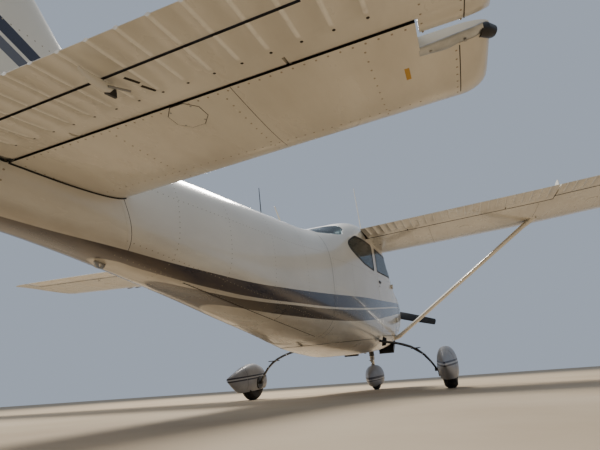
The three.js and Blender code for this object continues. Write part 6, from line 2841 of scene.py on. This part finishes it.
@dataclass(frozen=True)
class Wheel:
    """A tyre on its hub: place of the axle, radius, width and radius of the rim."""

    axle: tuple[float, float, float]
    radius: float
    width: float
    rim: float
    bore: float

    def tyre(self) -> Mesh:
        """The tyre, with three grooves in its tread and a ring moulded in each wall.

        Returns:
            Its mesh.
        """
        half, deep = self.width / 2, self.radius - self.rim
        wall = [(self.rim, 0.66), (self.rim + deep * 0.12, 0.8), (self.rim + deep * 0.28, 0.93),
                (self.rim + deep * 0.42, 0.985), (self.rim + deep * 0.45, 0.96),
                (self.rim + deep * 0.49, 0.96), (self.rim + deep * 0.52, 0.985),
                (self.radius - 30, 0.93), (self.radius - 18, 0.78), (self.radius - 7, 0.58),
                (self.radius - 1.5, 0.42)]
        tread = []
        for groove in (0.24, 0.0, -0.24):
            tread += [(self.radius, groove * half + 4.5), (self.radius - 6, groove * half + 3),
                      (self.radius - 6, groove * half - 3), (self.radius, groove * half - 4.5)]
        profile = [(r, share * half) for r, share in wall] + tread
        profile += [(r, -share * half) for r, share in wall[::-1]]
        return lathe(profile, self.axle, "x", 72)

    def hub(self) -> Mesh:
        """The cast hub with its flanges, bolts and cap.

        Returns:
            Its mesh.
        """
        half, edge = self.width * 0.31, self.rim - SEAT
        profile = [(self.bore, 0.6), (edge * 0.42, 0.6), (edge * 0.5, 0.36), (edge - 18, 0.3),
                   (edge - 9, 0.36), (edge - 6, 0.96), (edge, 1.0)]
        rows = [(r, share * half) for r, share in profile]
        whole = [lathe(rows + [(r, -along) for r, along in rows[::-1]], self.axle, "x", 60)]
        x, y, z = self.axle
        for turn in around(6):
            at = (y + math.cos(turn) * edge * 0.62, z + math.sin(turn) * edge * 0.62)
            whole.append(bar([(x - half * 0.5, *at), (x + half * 0.5, *at)], 5.5, 6))
        cap = washer(self.bore + 3, self.bore + 9, half * 0.55, half * 0.8)
        return merged([*whole, lathe(cap, self.axle, "x", 32)])

    def brake(self) -> Mesh:
        """The brake disc on the hub's inner side."""
        inner = -self.width * 0.31
        return lathe(washer(self.rim * 0.42, self.rim * 0.92, inner - 9, inner - 2), self.axle, "x", 48)


MAIN_WHEEL = Wheel((1275.0, 3024.5, 211.2), 212, 152, 92.3, 20)
NOSE_WHEEL = Wheel((0.0, 1235.6, 8.7), 166, 120, 68.3, 13)


@dataclass
class LandingGear:
    """Wheels with their fairings, spring legs and the sprung nose strut."""

    finishes: Finishes
    leg: tuple[Point, ...] = ((430, 2985, 618), (560, 2998, 578), (740, 3008, 540), (890, 3015, 486),
                              (1010, 3020, 404), (1090, 3023, 306), (1138, 3024, 228))
    step: tuple[float, float, float] = (940, 3015, 470)
    strut_top: tuple[float, float, float] = (0, 1345, 640)

    # y, low, high and half width of each section; the nose rows are from the axle
    MAIN_FAIRING = ((2700, 192, 262, 22), (2732, 136, 318, 62), (2805, 86, 384, 94),
                    (2925, 60, 443, 109), (3043, 54, 462, 112), (3190, 64, 450, 108),
                    (3400, 140, 396, 74), (3640, 285, 322, 10))
    LOWER_EDGE = 124.0
    OVAL = 0.86  # power of a fairing's sections, 1 for an ellipse
    NOSE_FAIRING = ((-300, -30, 40, 26), (-270, -70, 96, 66), (-190, -105, 160, 108),
                    (-80, -122, 206, 132), (40, -122, 216, 138), (150, -108, 206, 126),
                    (270, -76, 170, 92), (380, -30, 120, 48), (440, 10, 84, 12))

    def build(self) -> None:
        """Makes the gear."""
        self.wheels()
        self.main_fairings()
        self.nose_fairing()
        self.legs()
        self.nose_strut()

    def wheels(self) -> None:
        """Tyres, hubs and brake discs."""
        f = self.finishes
        tyre, hub = MAIN_WHEEL.tyre().build("tyre_left"), MAIN_WHEEL.hub().build("hub_left")
        brake = MAIN_WHEEL.brake().build("brake_disc_left")
        dress_pair(tyre, f.tyre, "tyre_rubber", "main_tyre_{}", "tyre_{}")
        dress_pair(hub, f.plain, "white_paint", "main_hub_{}", "hub_{}")
        dress(twin(brake, "brake_disc_right"), f.steel, "bare_steel", "main_hub_right")
        dress(brake, f.steel, "bare_steel", "main_hub_left")
        dress(NOSE_WHEEL.tyre().build("tyre_nose"), f.tyre, "tyre_rubber", "nose_tyre", "nose_tyre")
        dress(NOSE_WHEEL.hub().build("hub_nose"), f.plain, "white_paint", "nose_hub", "nose_hub")

    def shell(self, table: Sequence[Sequence[float]], center: Point) -> Mesh:
        """A streamlined fairing through oval sections.

        Args:
            table: Place aft, low, high and half width of each section.
            center: The level point that the table is from.

        Returns:
            Its mesh.
        """
        rows = np.array(table, float)
        places = np.concatenate([np.linspace(a, b, 5)[:-1] for a, b in zip(rows[:, 0], rows[1:, 0])]
                                + [rows[-1:, 0]])
        turn = around(56, 0.5)
        cos, sin = np.cos(turn), np.sin(turn)
        rings = []
        for y in places:
            low, high, half = (self.eased(rows[:, 0], rows[:, k], y) for k in (1, 2, 3))
            x = boxed(cos, self.OVAL) * half
            z = (high + low) / 2 + boxed(sin, self.OVAL) * (high - low) / 2
            rings.append(np.stack([x, np.full_like(x, y), z], 1) + center)
        return Mesh().loft(rings)

    def eased(self, places: np.ndarray, values: np.ndarray, at: float) -> float:
        """A value on a smooth curve through a column of a table.

        Args:
            places: Where the values are.
            values: The values.
            at: The place.

        Returns:
            The value there.
        """
        slopes = np.gradient(values, places)
        i = int(np.clip(np.searchsorted(places, at), 1, len(places) - 1))
        span = places[i] - places[i - 1]
        return float(cubic((at - places[i - 1]) / span, span, values[i - 1 : i + 1],
                           slopes[i - 1 : i + 1]))

    def arch(self, wheel: Wheel, half: float, below: float) -> list[Mesh]:
        """Room for a wheel inside its fairing.

        Args:
            wheel: The wheel.
            half: Half of the room's width.
            below: Level down to which it is open.

        Returns:
            Its parts.
        """
        x, y, z = wheel.axle
        room = wheel.radius + 10
        side = [(ON_AXLE, half), (room - 46, half), (room - 22, half * 0.88), (room, half * 0.54)]
        return [lathe(side + [(r, -along) for r, along in side[::-1]], wheel.axle, "x", 64),
                block((x - half, x + half), (y - room, y + room), (below, z))]

    def main_fairings(self) -> None:
        """Main fairings with their plates, bolts and seams."""
        f = self.finishes
        x, y, z = MAIN_WHEEL.axle
        made = self.shell(self.MAIN_FAIRING, (x, 0, 0)).build("main_fairing_left")
        socket = bar([(1000, y, z), (x, y, z)], 19 + SEAT, 24)
        room = block((1000, x - 109), (y - 40, y + 40), (150, 500))
        below = block((x - 200, x + 200), (2600, 3600), (-100, self.LOWER_EDGE))
        carve(made, [*self.arch(MAIN_WHEEL, 85, -60), socket, room, below])
        trim = Trim(f, "fairing_left", "wheel_fairing_left", f.fibre)
        inner = x - 112
        plate = [(21, inner - 7), (76, inner - 7), (80, inner - 3), (80, inner + 8), (21, inner + 8)]
        trim.put("black_parts", lathe(plate, (0, y, z), "x", 48))
        bolts = [(np.array([inner - 7, y + 64 * math.cos(t), z + 64 * math.sin(t)]),
                  np.array([-1.0, 0.0, 0.0])) for t in around(8, 0.5)]
        trim.put("screws", Rivets(5, 3, 6).heads(bolts))
        rows = np.array(self.MAIN_FAIRING, float)
        for at in (2860, 3300):
            low, high, half = (self.eased(rows[:, 0], rows[:, k], at) for k in (1, 2, 3))
            spots = []
            for t in np.linspace(-0.6, math.pi + 0.6, 40):
                place = (x + boxed(math.cos(t), self.OVAL) * half, at,
                         (high + low) / 2 + boxed(math.sin(t), self.OVAL) * (high - low) / 2)
                spots.append((np.array(place), np.array([math.cos(t), 0.0, math.sin(t)])))
            trim.put("dirt_and_shade", ribbon(spots, 1.6, 0.7))
            trim.put("screws", Rivets(4.2, 1.6, 10).heads(
                [(point + [0, 9, 0], way) for point, way in spots[3::6]]))
        trim.build("wheel_fairing_right")
        dress_pair(made, f.fibre, "grey_paint", "wheel_fairing_{}", "main_fairing_{}")

    def down(self, t: float) -> np.ndarray:
        """A place on the nose strut, from its top to the axle."""
        return np.array(self.strut_top) * (1 - t) + np.array(NOSE_WHEEL.axle) * t

    def nose_fairing(self) -> None:
        """The nose fairing, open for the fork and the wheel."""
        axle = NOSE_WHEEL.axle
        made = self.shell(self.NOSE_FAIRING, axle).build("nose_fairing_skin")
        crown_top = axle[2] + NOSE_WHEEL.radius + 30
        side = NOSE_WHEEL.width / 2 + 8
        _, top_y, top_z = self.strut_top
        crown_y = axle[1] + (top_y - axle[1]) * (crown_top - 8 - axle[2]) / (top_z - axle[2])
        room = block((-side - 16, side + 16), (crown_y - 44, crown_y + 44), (axle[2], crown_top + 4))
        carve(made, [*self.arch(NOSE_WHEEL, side + 20, axle[2] - 400), room,
                     bar([self.down(0.42), self.down(0.9)], 26 + SEAT, 24)])
        dress(made, self.finishes.fibre_nose, "grey_paint", "nose_fairing", "nose_fairing")

    def legs(self) -> None:
        """Brake hoses and their clips on the spring legs, and the grip on each step."""
        f = self.finishes
        path = np.array(self.leg) + [0, 30, -10]
        trim = Trim(f, "gear_leg_left", "gear_leg_left", f.plain)
        trim.put("seals", bar([*path[1:], (1168, 3056, 212)], 4.5, 12))
        for center in path[2:6]:
            trim.put("screws", bar([center + [-5, 0, 1], center + [5, 0, -1]], 8, 12))
        x, y, z = self.step
        for k in range(5):
            start = x - 44 + k * 19
            trim.put("black_parts", block((start, start + 12), (y - 71, y + 71), (z, z + 3)))
        collar = [path[1] + [-8, -30, 14], path[1] + [34, -29, 4]]
        trim.put("seals", bar(collar, (58, 44), 28, 0.55))
        trim.build("gear_leg_right")

    def nose_strut(self) -> None:
        """The chromed piston, torque-link pins and steering boot of the nose gear."""
        f = self.finishes
        chrome = bar([self.down(0.525), self.down(0.672)], 26.8, 40)
        dress(chrome.build("nose_piston"), f.chrome, "bare_steel", "nose_fork")
        pins = []
        elbow = np.array([0.0, self.down(0.6)[1] + 108, 304.0])
        for place in (self.down(0.47) + [0, 34, 0], elbow, self.down(0.642) + [0, 34, 0]):
            for reach, radius, sides in ((26, 8, 16), (31, 4.5, 12)):
                pins.append(bar([place - [reach, 0, 0], place + [reach, 0, 0]], radius, sides))
        dress(merged(pins).build("torque_link_pins"), f.steel, "bare_steel", "nose_fork")
        rings = [bar([self.down(t), self.down(t + 0.012)], 44, 32) for t in (0.2, 0.3, 0.4)]
        damper = bar([(-70, 1405, 560), (-40, 1405, 560), (60, 1405, 560), (100, 1405, 560)],
                     (7, 17, 17, 7), 20)
        # The strut's bands share its dark finish, painted shade.
        dress(merged([*rings, damper]).build("nose_strut_bands"), f.leg, "leg_steel", "nose_strut")


@dataclass
class Airscrew:
    """The two-bladed propeller and its spinner, standing as they were left."""

    finishes: Finishes
    disc: float = 262.0
    radius: float = 1075.0
    root: float = 60.0
    rest_degrees: float = 197.0
    length: float = 372.0
    base: float = 176.0

    # share of the radius, chord and thickness of each section of a blade
    BLADE = ((0, 84, 66), (0.06, 92, 60), (0.13, 118, 47), (0.2, 146, 38), (0.3, 160, 29),
             (0.45, 156, 19), (0.65, 140, 12), (0.85, 120, 9), (1, 108, 7))

    def build(self) -> None:
        """Makes the blades, the spinner and its fittings."""
        f = self.finishes
        rest = math.radians(self.rest_degrees)
        turn = np.array([[math.cos(rest), 0, -math.sin(rest)], [0, 1, 0],
                         [math.sin(rest), 0, math.cos(rest)]])
        about = (0, 0, THRUST)
        half_turn = np.diag([-1.0, 1.0, -1.0])
        hub = lathe([(ON_AXLE, self.disc - 58), (62, self.disc - 58), (72, self.disc - 48),
                     (72, self.disc + 100), (ON_AXLE, self.disc + 100)], about, "y", 40)
        blade = self.blade()
        pair = merged([blade, blade.turned(half_turn, about)]).turned(turn, about)
        screw = merged([pair, hub]).build("propeller_skin")
        dress(screw, f.blade, "propeller_paint", "propeller", "propeller")
        cone = self.spinner().build("spinner_skin")
        reach = np.array([400.0, 0, 0])
        place = np.array([0, self.disc, THRUST])
        carve(cone, [bar([place - turn @ reach, place + turn @ reach], 64, 48)])
        dress(cone, f.plain, "white_paint", "spinner", "spinner")
        self.fittings()

    def blade(self) -> Mesh:
        """One twisted blade along x with a rounded tip.

        Returns:
            Its mesh.
        """
        rows = np.array(self.BLADE)
        steps = np.concatenate([np.linspace(0, 0.96, 44), 0.96 + 0.04 * np.sin(np.linspace(0.15, 1, 8)
                                                                             * np.pi / 2)])
        turn = around(32)
        rings = []
        for t in steps:
            chord, thick = (np.interp(t, rows[:, 0], rows[:, k]) for k in (1, 2))
            chord *= math.sqrt(max(1 - max((t - 0.98) / 0.0205, 0) ** 2, 0.3))
            pitch = math.radians(52 + (14 - 52) * t ** 0.6)
            a = np.cos(turn) * chord / 2
            b = np.sin(turn) * thick / 2 * (1 + 0.3 * min(t * 6, 1) * np.cos(turn))
            rings.append(np.stack([np.full_like(a, self.root + (self.radius - self.root) * t),
                                   self.disc + a * math.sin(pitch) + b * math.cos(pitch),
                                   THRUST + a * math.cos(pitch) - b * math.sin(pitch)], 1))
        return Mesh().loft(rings)

    def spinner(self) -> Mesh:
        """A spun shell with its back plate.

        Returns:
            Its mesh.
        """
        rise = np.linspace(0, 1, 40)
        along, out = self.length * rise**1.9, self.base * np.sin(np.pi / 2 * rise) ** 0.95
        outer = list(zip(np.maximum(out, ON_AXLE), along))
        inner = [(max(r - 5, ON_AXLE), max(y, 8) if r < 9 else y)
                 for r, y in outer if y < self.length - 9]
        plate = [(72.5, self.length), (72.5, self.length - 8), (self.base - 7, self.length - 8)]
        return lathe([*outer, *plate, *inner[::-1]], (0, 0, THRUST), "y", 72)

    def fittings(self) -> None:
        """The spinner's ring and screws."""
        trim = Trim(self.finishes, "spinner", "spinner", self.finishes.plain)
        trim.put("bright_parts", lathe(washer(171, 177.5, 357, 371), (0, 0, THRUST), "y", 72))
        heads = []
        for t in around(18, 0.5):
            way = np.array([math.cos(t), 0.0, math.sin(t)])
            heads.append((np.array([0, 350.0, THRUST]) + way * 174.6, way))
        trim.put("screws", Rivets(4.5, 1.8, 10).heads(heads))
        trim.build()


@dataclass(frozen=True)
class Cushion:
    """A stuffed pad with sewn channels: crowned, with sides that pull in between corners.

    Attributes:
        size: Width, length and thickness.
        channels: Sewn lines across its face, as shares of the half width.
        crown: How much the middle swells.
    """

    size: tuple[float, float, float]
    channels: tuple[float, ...] = (-0.55, 0.0, 0.55)
    crown: float = 10.0

    def mesh(self, center: Point, tilt: float) -> Mesh:
        """The pad about a center, its length tilted up from +Y by an angle in degrees.

        Args:
            center: Its center.
            tilt: The angle.

        Returns:
            Its mesh.
        """
        wide, long, thick = (value / 2 for value in self.size)
        rings = []
        turn = around(72)
        cos, sin = np.cos(turn), np.sin(turn)
        for v in np.sin(np.linspace(-1, 1, 34) * math.pi / 2):
            taper = (1 - abs(v) ** 7) ** (1 / 3)
            x = boxed(cos, 0.42) * wide * (1 - 0.022 * (1 - v**2))
            x = x * (0.86 + 0.14 * taper)
            swell = self.crown * (1 - v**2) * (1 - (x / wide) ** 2).clip(0)
            for channel in self.channels:
                swell = swell - 9 * np.exp(-((x / wide - channel) * wide / 9) ** 2)
            z = boxed(sin, 0.5) * (thick * max(taper, 0.02)) + np.sign(sin) * swell * taper
            rings.append(np.stack([x, np.full_like(x, v * long), z], 1))
        lean = math.radians(tilt)
        turned = np.array([[1, 0, 0], [0, math.cos(lean), -math.sin(lean)],
                           [0, math.sin(lean), math.cos(lean)]])
        return Mesh().loft(np.array(rings) @ turned.T + np.asarray(center, float))

    def piping(self, center: Point, tilt: float) -> Mesh:
        """The welt sewn round its edge.

        Args:
            center: The pad's center.
            tilt: The pad's angle.

        Returns:
            Its mesh.
        """
        wide, long = self.size[0] / 2 * 0.995, self.size[1] / 2 * 0.985
        turn = 2 * np.pi * np.arange(65) / 64
        lean = math.radians(tilt)
        path = []
        for t in turn:
            x, along = boxed(math.cos(t), 0.3) * wide, boxed(math.sin(t), 0.3) * long
            path.append(np.asarray(center) + [x, along * math.cos(lean), along * math.sin(lean)])
        return bar(path, 4.5, 8)


@dataclass
class Cabin:
    """Seats, belts, controls and instruments."""

    finishes: Finishes
    floor: float = 600.0
    # Node, middle x, y of the seat's front foot and width of its cushions
    seats: tuple[tuple[str, float, float, float], ...] = (
        ("seat_front_left", 270, 2230, 430), ("seat_front_right", -270, 2230, 430),
        ("seat_rear", 0, 3150, 960))
    panel_face: float = 1765.0
    dial_rows: tuple[float, ...] = (1315, 1195)
    dial_places: tuple[float, ...] = (170, 285, 400)

    def build(self) -> None:
        """Makes the whole cabin."""
        for seat in self.seats:
            self.seat(*seat)
        self.carpet()
        self.instruments()
        self.controls()

    def seat(self, node: str, middle: float, foot: float, wide: float) -> None:
        """One seat: cushions with their piping, a frame and its belts.

        Args:
            node: Its construction node.
            middle: Level x of its middle.
            foot: Level y of its front foot.
            wide: Width of its cushions.
        """
        f = self.finishes
        channels = (-0.5, 0.0, 0.5) if wide < 600 else (-0.76, -0.38, 0.0, 0.38, 0.76)
        base = Cushion((wide, 450, 96), channels)
        back = Cushion((wide * 0.97, 500, 78), channels)
        places = (("base", base, (middle, foot + 205, self.floor + 272), 2.0),
                  ("back", back, (middle, foot + 436, self.floor + 590), 80.0))
        for name, pad, center, tilt in places:
            made = dress(pad.mesh(center, tilt).build(f"{node}_{name}_cushion", 60), f.cloth,
                         "cabin_cloth", node, node)
            dress(pad.piping(center, tilt).build(f"{node}_{name}_piping"), f.seal, "panel_plastic",
                  node)
        heads = (-wide / 4, wide / 4) if wide > 600 else (0.0,)
        for k, x in enumerate(heads):
            rest = Cushion((235, 120, 66), (), 7.0)
            made = rest.mesh((middle + x, foot + 480, self.floor + 858), 80)
            made = dress(made.build(f"{node}_head_cushion_{k}", 60), f.cloth, "cabin_cloth", node)
        self.frame(node, middle, foot, wide, heads)

    def frame(self, node: str, middle: float, foot: float, wide: float,
              heads: Sequence[float]) -> None:
        """Tubes, rails and belts of one seat.

        Args:
            node: The seat's construction node.
            middle: Level x of its middle.
            foot: Level y of its front foot.
            wide: Width of its cushions.
            heads: Middles of its head rests, from its own middle.
        """
        f, half, up = self.finishes, wide / 2 - 30, self.floor + 222
        tubes = []
        for x in (middle - half, middle + half):
            tubes += [bar([(x, foot + 5, up), (x, foot + 440, up), (x, foot + 512, up + 530)], 11, 14),
                      *(bar([(x, foot + top, up), (x, foot + low, self.floor + 8)], 10, 12)
                        for top, low in ((40, 20), (390, 420))),
                      block((x - 14, x + 14), (foot - 10, foot + 450), (self.floor + 1, self.floor + 9))]
        tubes.append(bar([(middle - half, foot + 40, up), (middle + half, foot + 40, up)], 10, 12))
        for x in heads:
            tubes += [bar([(middle + x + dx, foot + 466, self.floor + 790),
                           (middle + x + dx, foot + 478, self.floor + 850)], 6, 10) for dx in (-45, 45)]
        dress(merged(tubes).build(f"{node}_frame"), f.leg, "leg_steel", node)
        across = spaced(-wide / 2 + 14, wide / 2 - 14, 30)
        lap = [(np.array([middle + x, foot + 268.0, self.floor + 327 + 9 * (1 - (2 * x / wide) ** 2)]),
                np.array([0.0, 0.1, 1.0])) for x in across]
        belts = [ribbon(lap, 23, 2.2)]
        side = 1 if middle >= 0 else -1
        shoulder = [(middle + side * wide * 0.36, foot + 480 - 0.19 * down,
                     self.floor + 830 - down) for down in (0, 120, 250, 380, 480)]
        belts.append(ribbon([(np.array(place) + [0, -52, 0], np.array([0.0, -1.0, 0.17]))
                             for place in shoulder], 23, 2.2))
        dress(merged(belts).build(f"{node}_belts"), f.carpet, "cabin_cloth", node)
        buckle = block((middle - 30, middle + 34), (foot + 240, foot + 296),
                       (self.floor + 337, self.floor + 347))
        dress(buckle.build(f"{node}_buckle"), f.steel, "bare_steel", node)

    def carpet(self) -> None:
        """Carpet on the floor behind the pedals."""
        low = [((-430, 430), (2196, 3096), (600.4, 604)), ((-400, 400), (1836, 2186), (608.4, 611))]
        made = merged(block(*sizes) for sizes in low).build("floor_carpet")
        dress(made, self.finishes.carpet, "cabin_cloth", "belly")

    def instruments(self) -> None:
        """Dials with their bezels, ticks and needles, radios and knobs."""
        f, y = self.finishes, self.panel_face
        rims, faces, marks, knobs = [], [], [], []
        dials = [(x * side, z, 42.0) for x in self.dial_places for z in self.dial_rows
                 for side in (1, -1) if side > 0 or x < 300]
        dials += [(40, 1330, 27), (-40, 1330, 27), (40, 1262, 27), (-40, 1262, 27)]
        for x, z, radius in dials:
            rim = [(radius, y - 1), (radius + 6, y - 1), (radius + 5, y + 6), (radius, y + 6)]
            rims.append(lathe(rim, (x, 0, z), "y", 32))
            faces.append(bar([(x, y - 1, z), (x, y + 1.2, z)], radius + 1, 32))
            for tick in range(12):
                turn = math.radians(30 * tick)
                way = np.array([math.cos(turn), 0.0, math.sin(turn)])
                start = np.array([x, y + 1.6, z])
                marks.append(bar([start + way * radius * 0.78, start + way * radius * 0.93],
                                 radius * 0.025, 4))
            hand = math.radians(70 + (x * 0.7 + z) % 200)
            tip = np.array([math.cos(hand), 0.0, math.sin(hand)]) * radius * 0.7
            marks.append(bar([np.array([x, y + 2.6, z]) - tip * 0.2, np.array([x, y + 2.6, z]) + tip],
                             [radius * 0.05, 0.6], 6))
        for k, z in enumerate((1190, 1130, 1075, 1030)):
            faces.append(block((-80, 80), (y - 1, y + 7), (z - 22, z + 22)))
            marks.append(block((-50, 30), (y + 7, y + 7.6), (z - 7, z + 9)))
            knobs += [bar([(x, y + 6, z - 4), (x, y + 24, z - 4)], 9, 18) for x in (-66, 62)]
        knobs += [bar([(x, y - 1, 1010), (x, y + 46, 1006), (x, y + 47, 1006), (x, y + 62, 1005)],
                      (4, 4, 14, 12), 18) for x in (-30, 25, 140)]
        node = "instrument_panel"
        for parts, name, finish in ((rims, "dial_bezels", f.black_paint), (faces, "dial_faces", f.dial),
                                    (marks, "dial_marks", f.ink), (knobs, "panel_knobs", f.black_paint)):
            dress(merged(parts).build(name), finish, "panel_plastic", node)

    def controls(self) -> None:
        """The two control yokes and the pedals."""
        f, y = self.finishes, self.panel_face
        yokes, pedals = [], []
        for side in (1, -1):
            x = 270 * side
            yokes.append(bar([(x, y, 1085), (x, y + 150, 1085)], 11, 18))
            yokes.append(bar([(x - 30, y + 156, 1085), (x + 30, y + 156, 1085)], (26, 26), 18, 0.6))
            grip = [(-112, 1190), (-124, 1150), (-118, 1100), (-92, 1078), (-40, 1078), (40, 1078),
                    (92, 1078), (118, 1100), (124, 1150), (112, 1190)]
            yokes.append(bar([(x + dx, y + 158 + abs(dx) * 0.12, z) for dx, z in grip], 12, 14))
            for dx in (-85, 85):
                pedals += [block((x + dx - 45, x + dx + 45), (1700, 1712), (690, 790)),
                           bar([(x + dx, 1706, 700), (x + dx, 1706, 640), (x + dx, 1640, 616)], 8, 12)]
        dress(merged(yokes).build("control_yokes"), f.black_paint, "panel_plastic", "instrument_panel")
        dress(merged(pedals).build("rudder_pedals"), f.leg, "leg_steel", "belly")


@dataclass
class Stage:
    """The pale floor, the soft lights and the camera at the photograph's place."""

    lens_mm: float = 24.03
    shift: tuple[float, float] = (-0.0275, 0.0131)
    camera_level: tuple[float, float, float] = (-1571.2, 8088.2, 569.7)
    yaw: float = -18.87533
    pitch: float = 16.06726
    roll: float = -5.65845
    sky: float = 0.66
    floor_reach: float = 400.0
    # Name, place, target, diameter, watts and colour of each lamp
    lamps: tuple[tuple, ...] = (
        ("key", (4, -8, 13), (0, 0, 1), 5.0, 3700, (1, 0.95, 0.87)),
        ("fill", (10, 10, 9), (0, 1, 1), 9.0, 700, (0.93, 0.96, 1)),
    )

    def build(self) -> None:
        """Sets it all up."""
        self.floor()
        self.lights()
        self.camera()

    def floor(self) -> None:
        """A wide floor of pale sealed concrete."""
        data = bpy.data.meshes.new("floor")
        corners = [(x * self.floor_reach, y * self.floor_reach, 0)
                   for x, y in ((-1, -1), (1, -1), (1, 1), (-1, 1))]
        data.from_pydata(corners, [], [(0, 1, 2, 3)])
        made = bpy.data.objects.new("floor", data)
        bpy.context.scene.collection.objects.link(made)
        material, tree = blank("pale_sealed_concrete")
        cloud = mottle(tree, 900, 5.0)
        colour = blend(tree, ranged(tree, cloud, 0.3, 0.7), linear("#a8957a"), linear("#b5a48b"))
        grit = mottle(tree, 6, 3.0)
        principled(tree, {
            "Base Color": colour, "Roughness": 0.8, "IOR": 1.45, "Normal": relief(tree, grit, 0.4),
        })
        data.materials.append(material)
        made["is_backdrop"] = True

    def lights(self) -> None:
        """A pale sky and two broad, soft lamps."""
        world = bpy.data.worlds.new("studio")
        bpy.context.scene.world = world
        world.use_nodes = True
        background = world.node_tree.nodes["Background"]
        background.inputs["Color"].default_value = linear("#c3d0e2")
        background.inputs["Strength"].default_value = self.sky
        for name, place, target, size, power, colour in self.lamps:
            lamp = bpy.data.lights.new(name, "AREA")
            lamp.shape = "DISK"
            lamp.size = size
            lamp.energy = power
            lamp.color = colour
            made = bpy.data.objects.new(name, lamp)
            made.location = place
            made.rotation_euler = (Vector(target) - Vector(place)).to_track_quat("-Z", "Y").to_euler()
            bpy.context.scene.collection.objects.link(made)

    def camera(self) -> None:
        """A wide lens low behind the starboard tailplane."""
        yaw, pitch, roll = map(math.radians, (self.yaw, self.pitch, self.roll))
        ahead = np.array([-math.sin(yaw) * math.cos(pitch), -math.cos(yaw) * math.cos(pitch),
                          math.sin(pitch)])
        right = np.cross(ahead, (0, 0, 1))
        right /= np.linalg.norm(right)
        up = np.cross(right, ahead)
        across = math.cos(roll) * right + math.sin(roll) * up
        upward = -math.sin(roll) * right + math.cos(roll) * up
        data = bpy.data.cameras.new("camera")
        data.sensor_width = 36.0
        data.lens = self.lens_mm
        data.shift_x, data.shift_y = self.shift
        made = bpy.data.objects.new("camera", data)
        turn = Matrix([STAND.direction(way) for way in (across, upward, -ahead)]).transposed()
        place = Vector(STAND.place([self.camera_level])[0])
        made.matrix_world = Matrix.Translation(place) @ turn.to_4x4()
        bpy.context.scene.collection.objects.link(made)
        bpy.context.scene.camera = made


def main() -> None:
    """Builds the aircraft piece by piece and logs how many pieces show."""
    logging.basicConfig(level=logging.INFO, format="%(name)s %(message)s")
    Stage().build()
    finishes = Finishes()
    tail = Tail(finishes)
    for part in (CarriedOver(finishes), Fuselage(finishes), tail, Wings(finishes),
                 TailTrim(finishes, tail), FuselageTrim(finishes), WingTrim(finishes),
                 LandingGear(finishes), Airscrew(finishes), Cabin(finishes)):
        part.build()
        LOG.info("%s done, %d pieces so far", type(part).__name__, len(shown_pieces()))


if __name__ == "__main__":
    main()
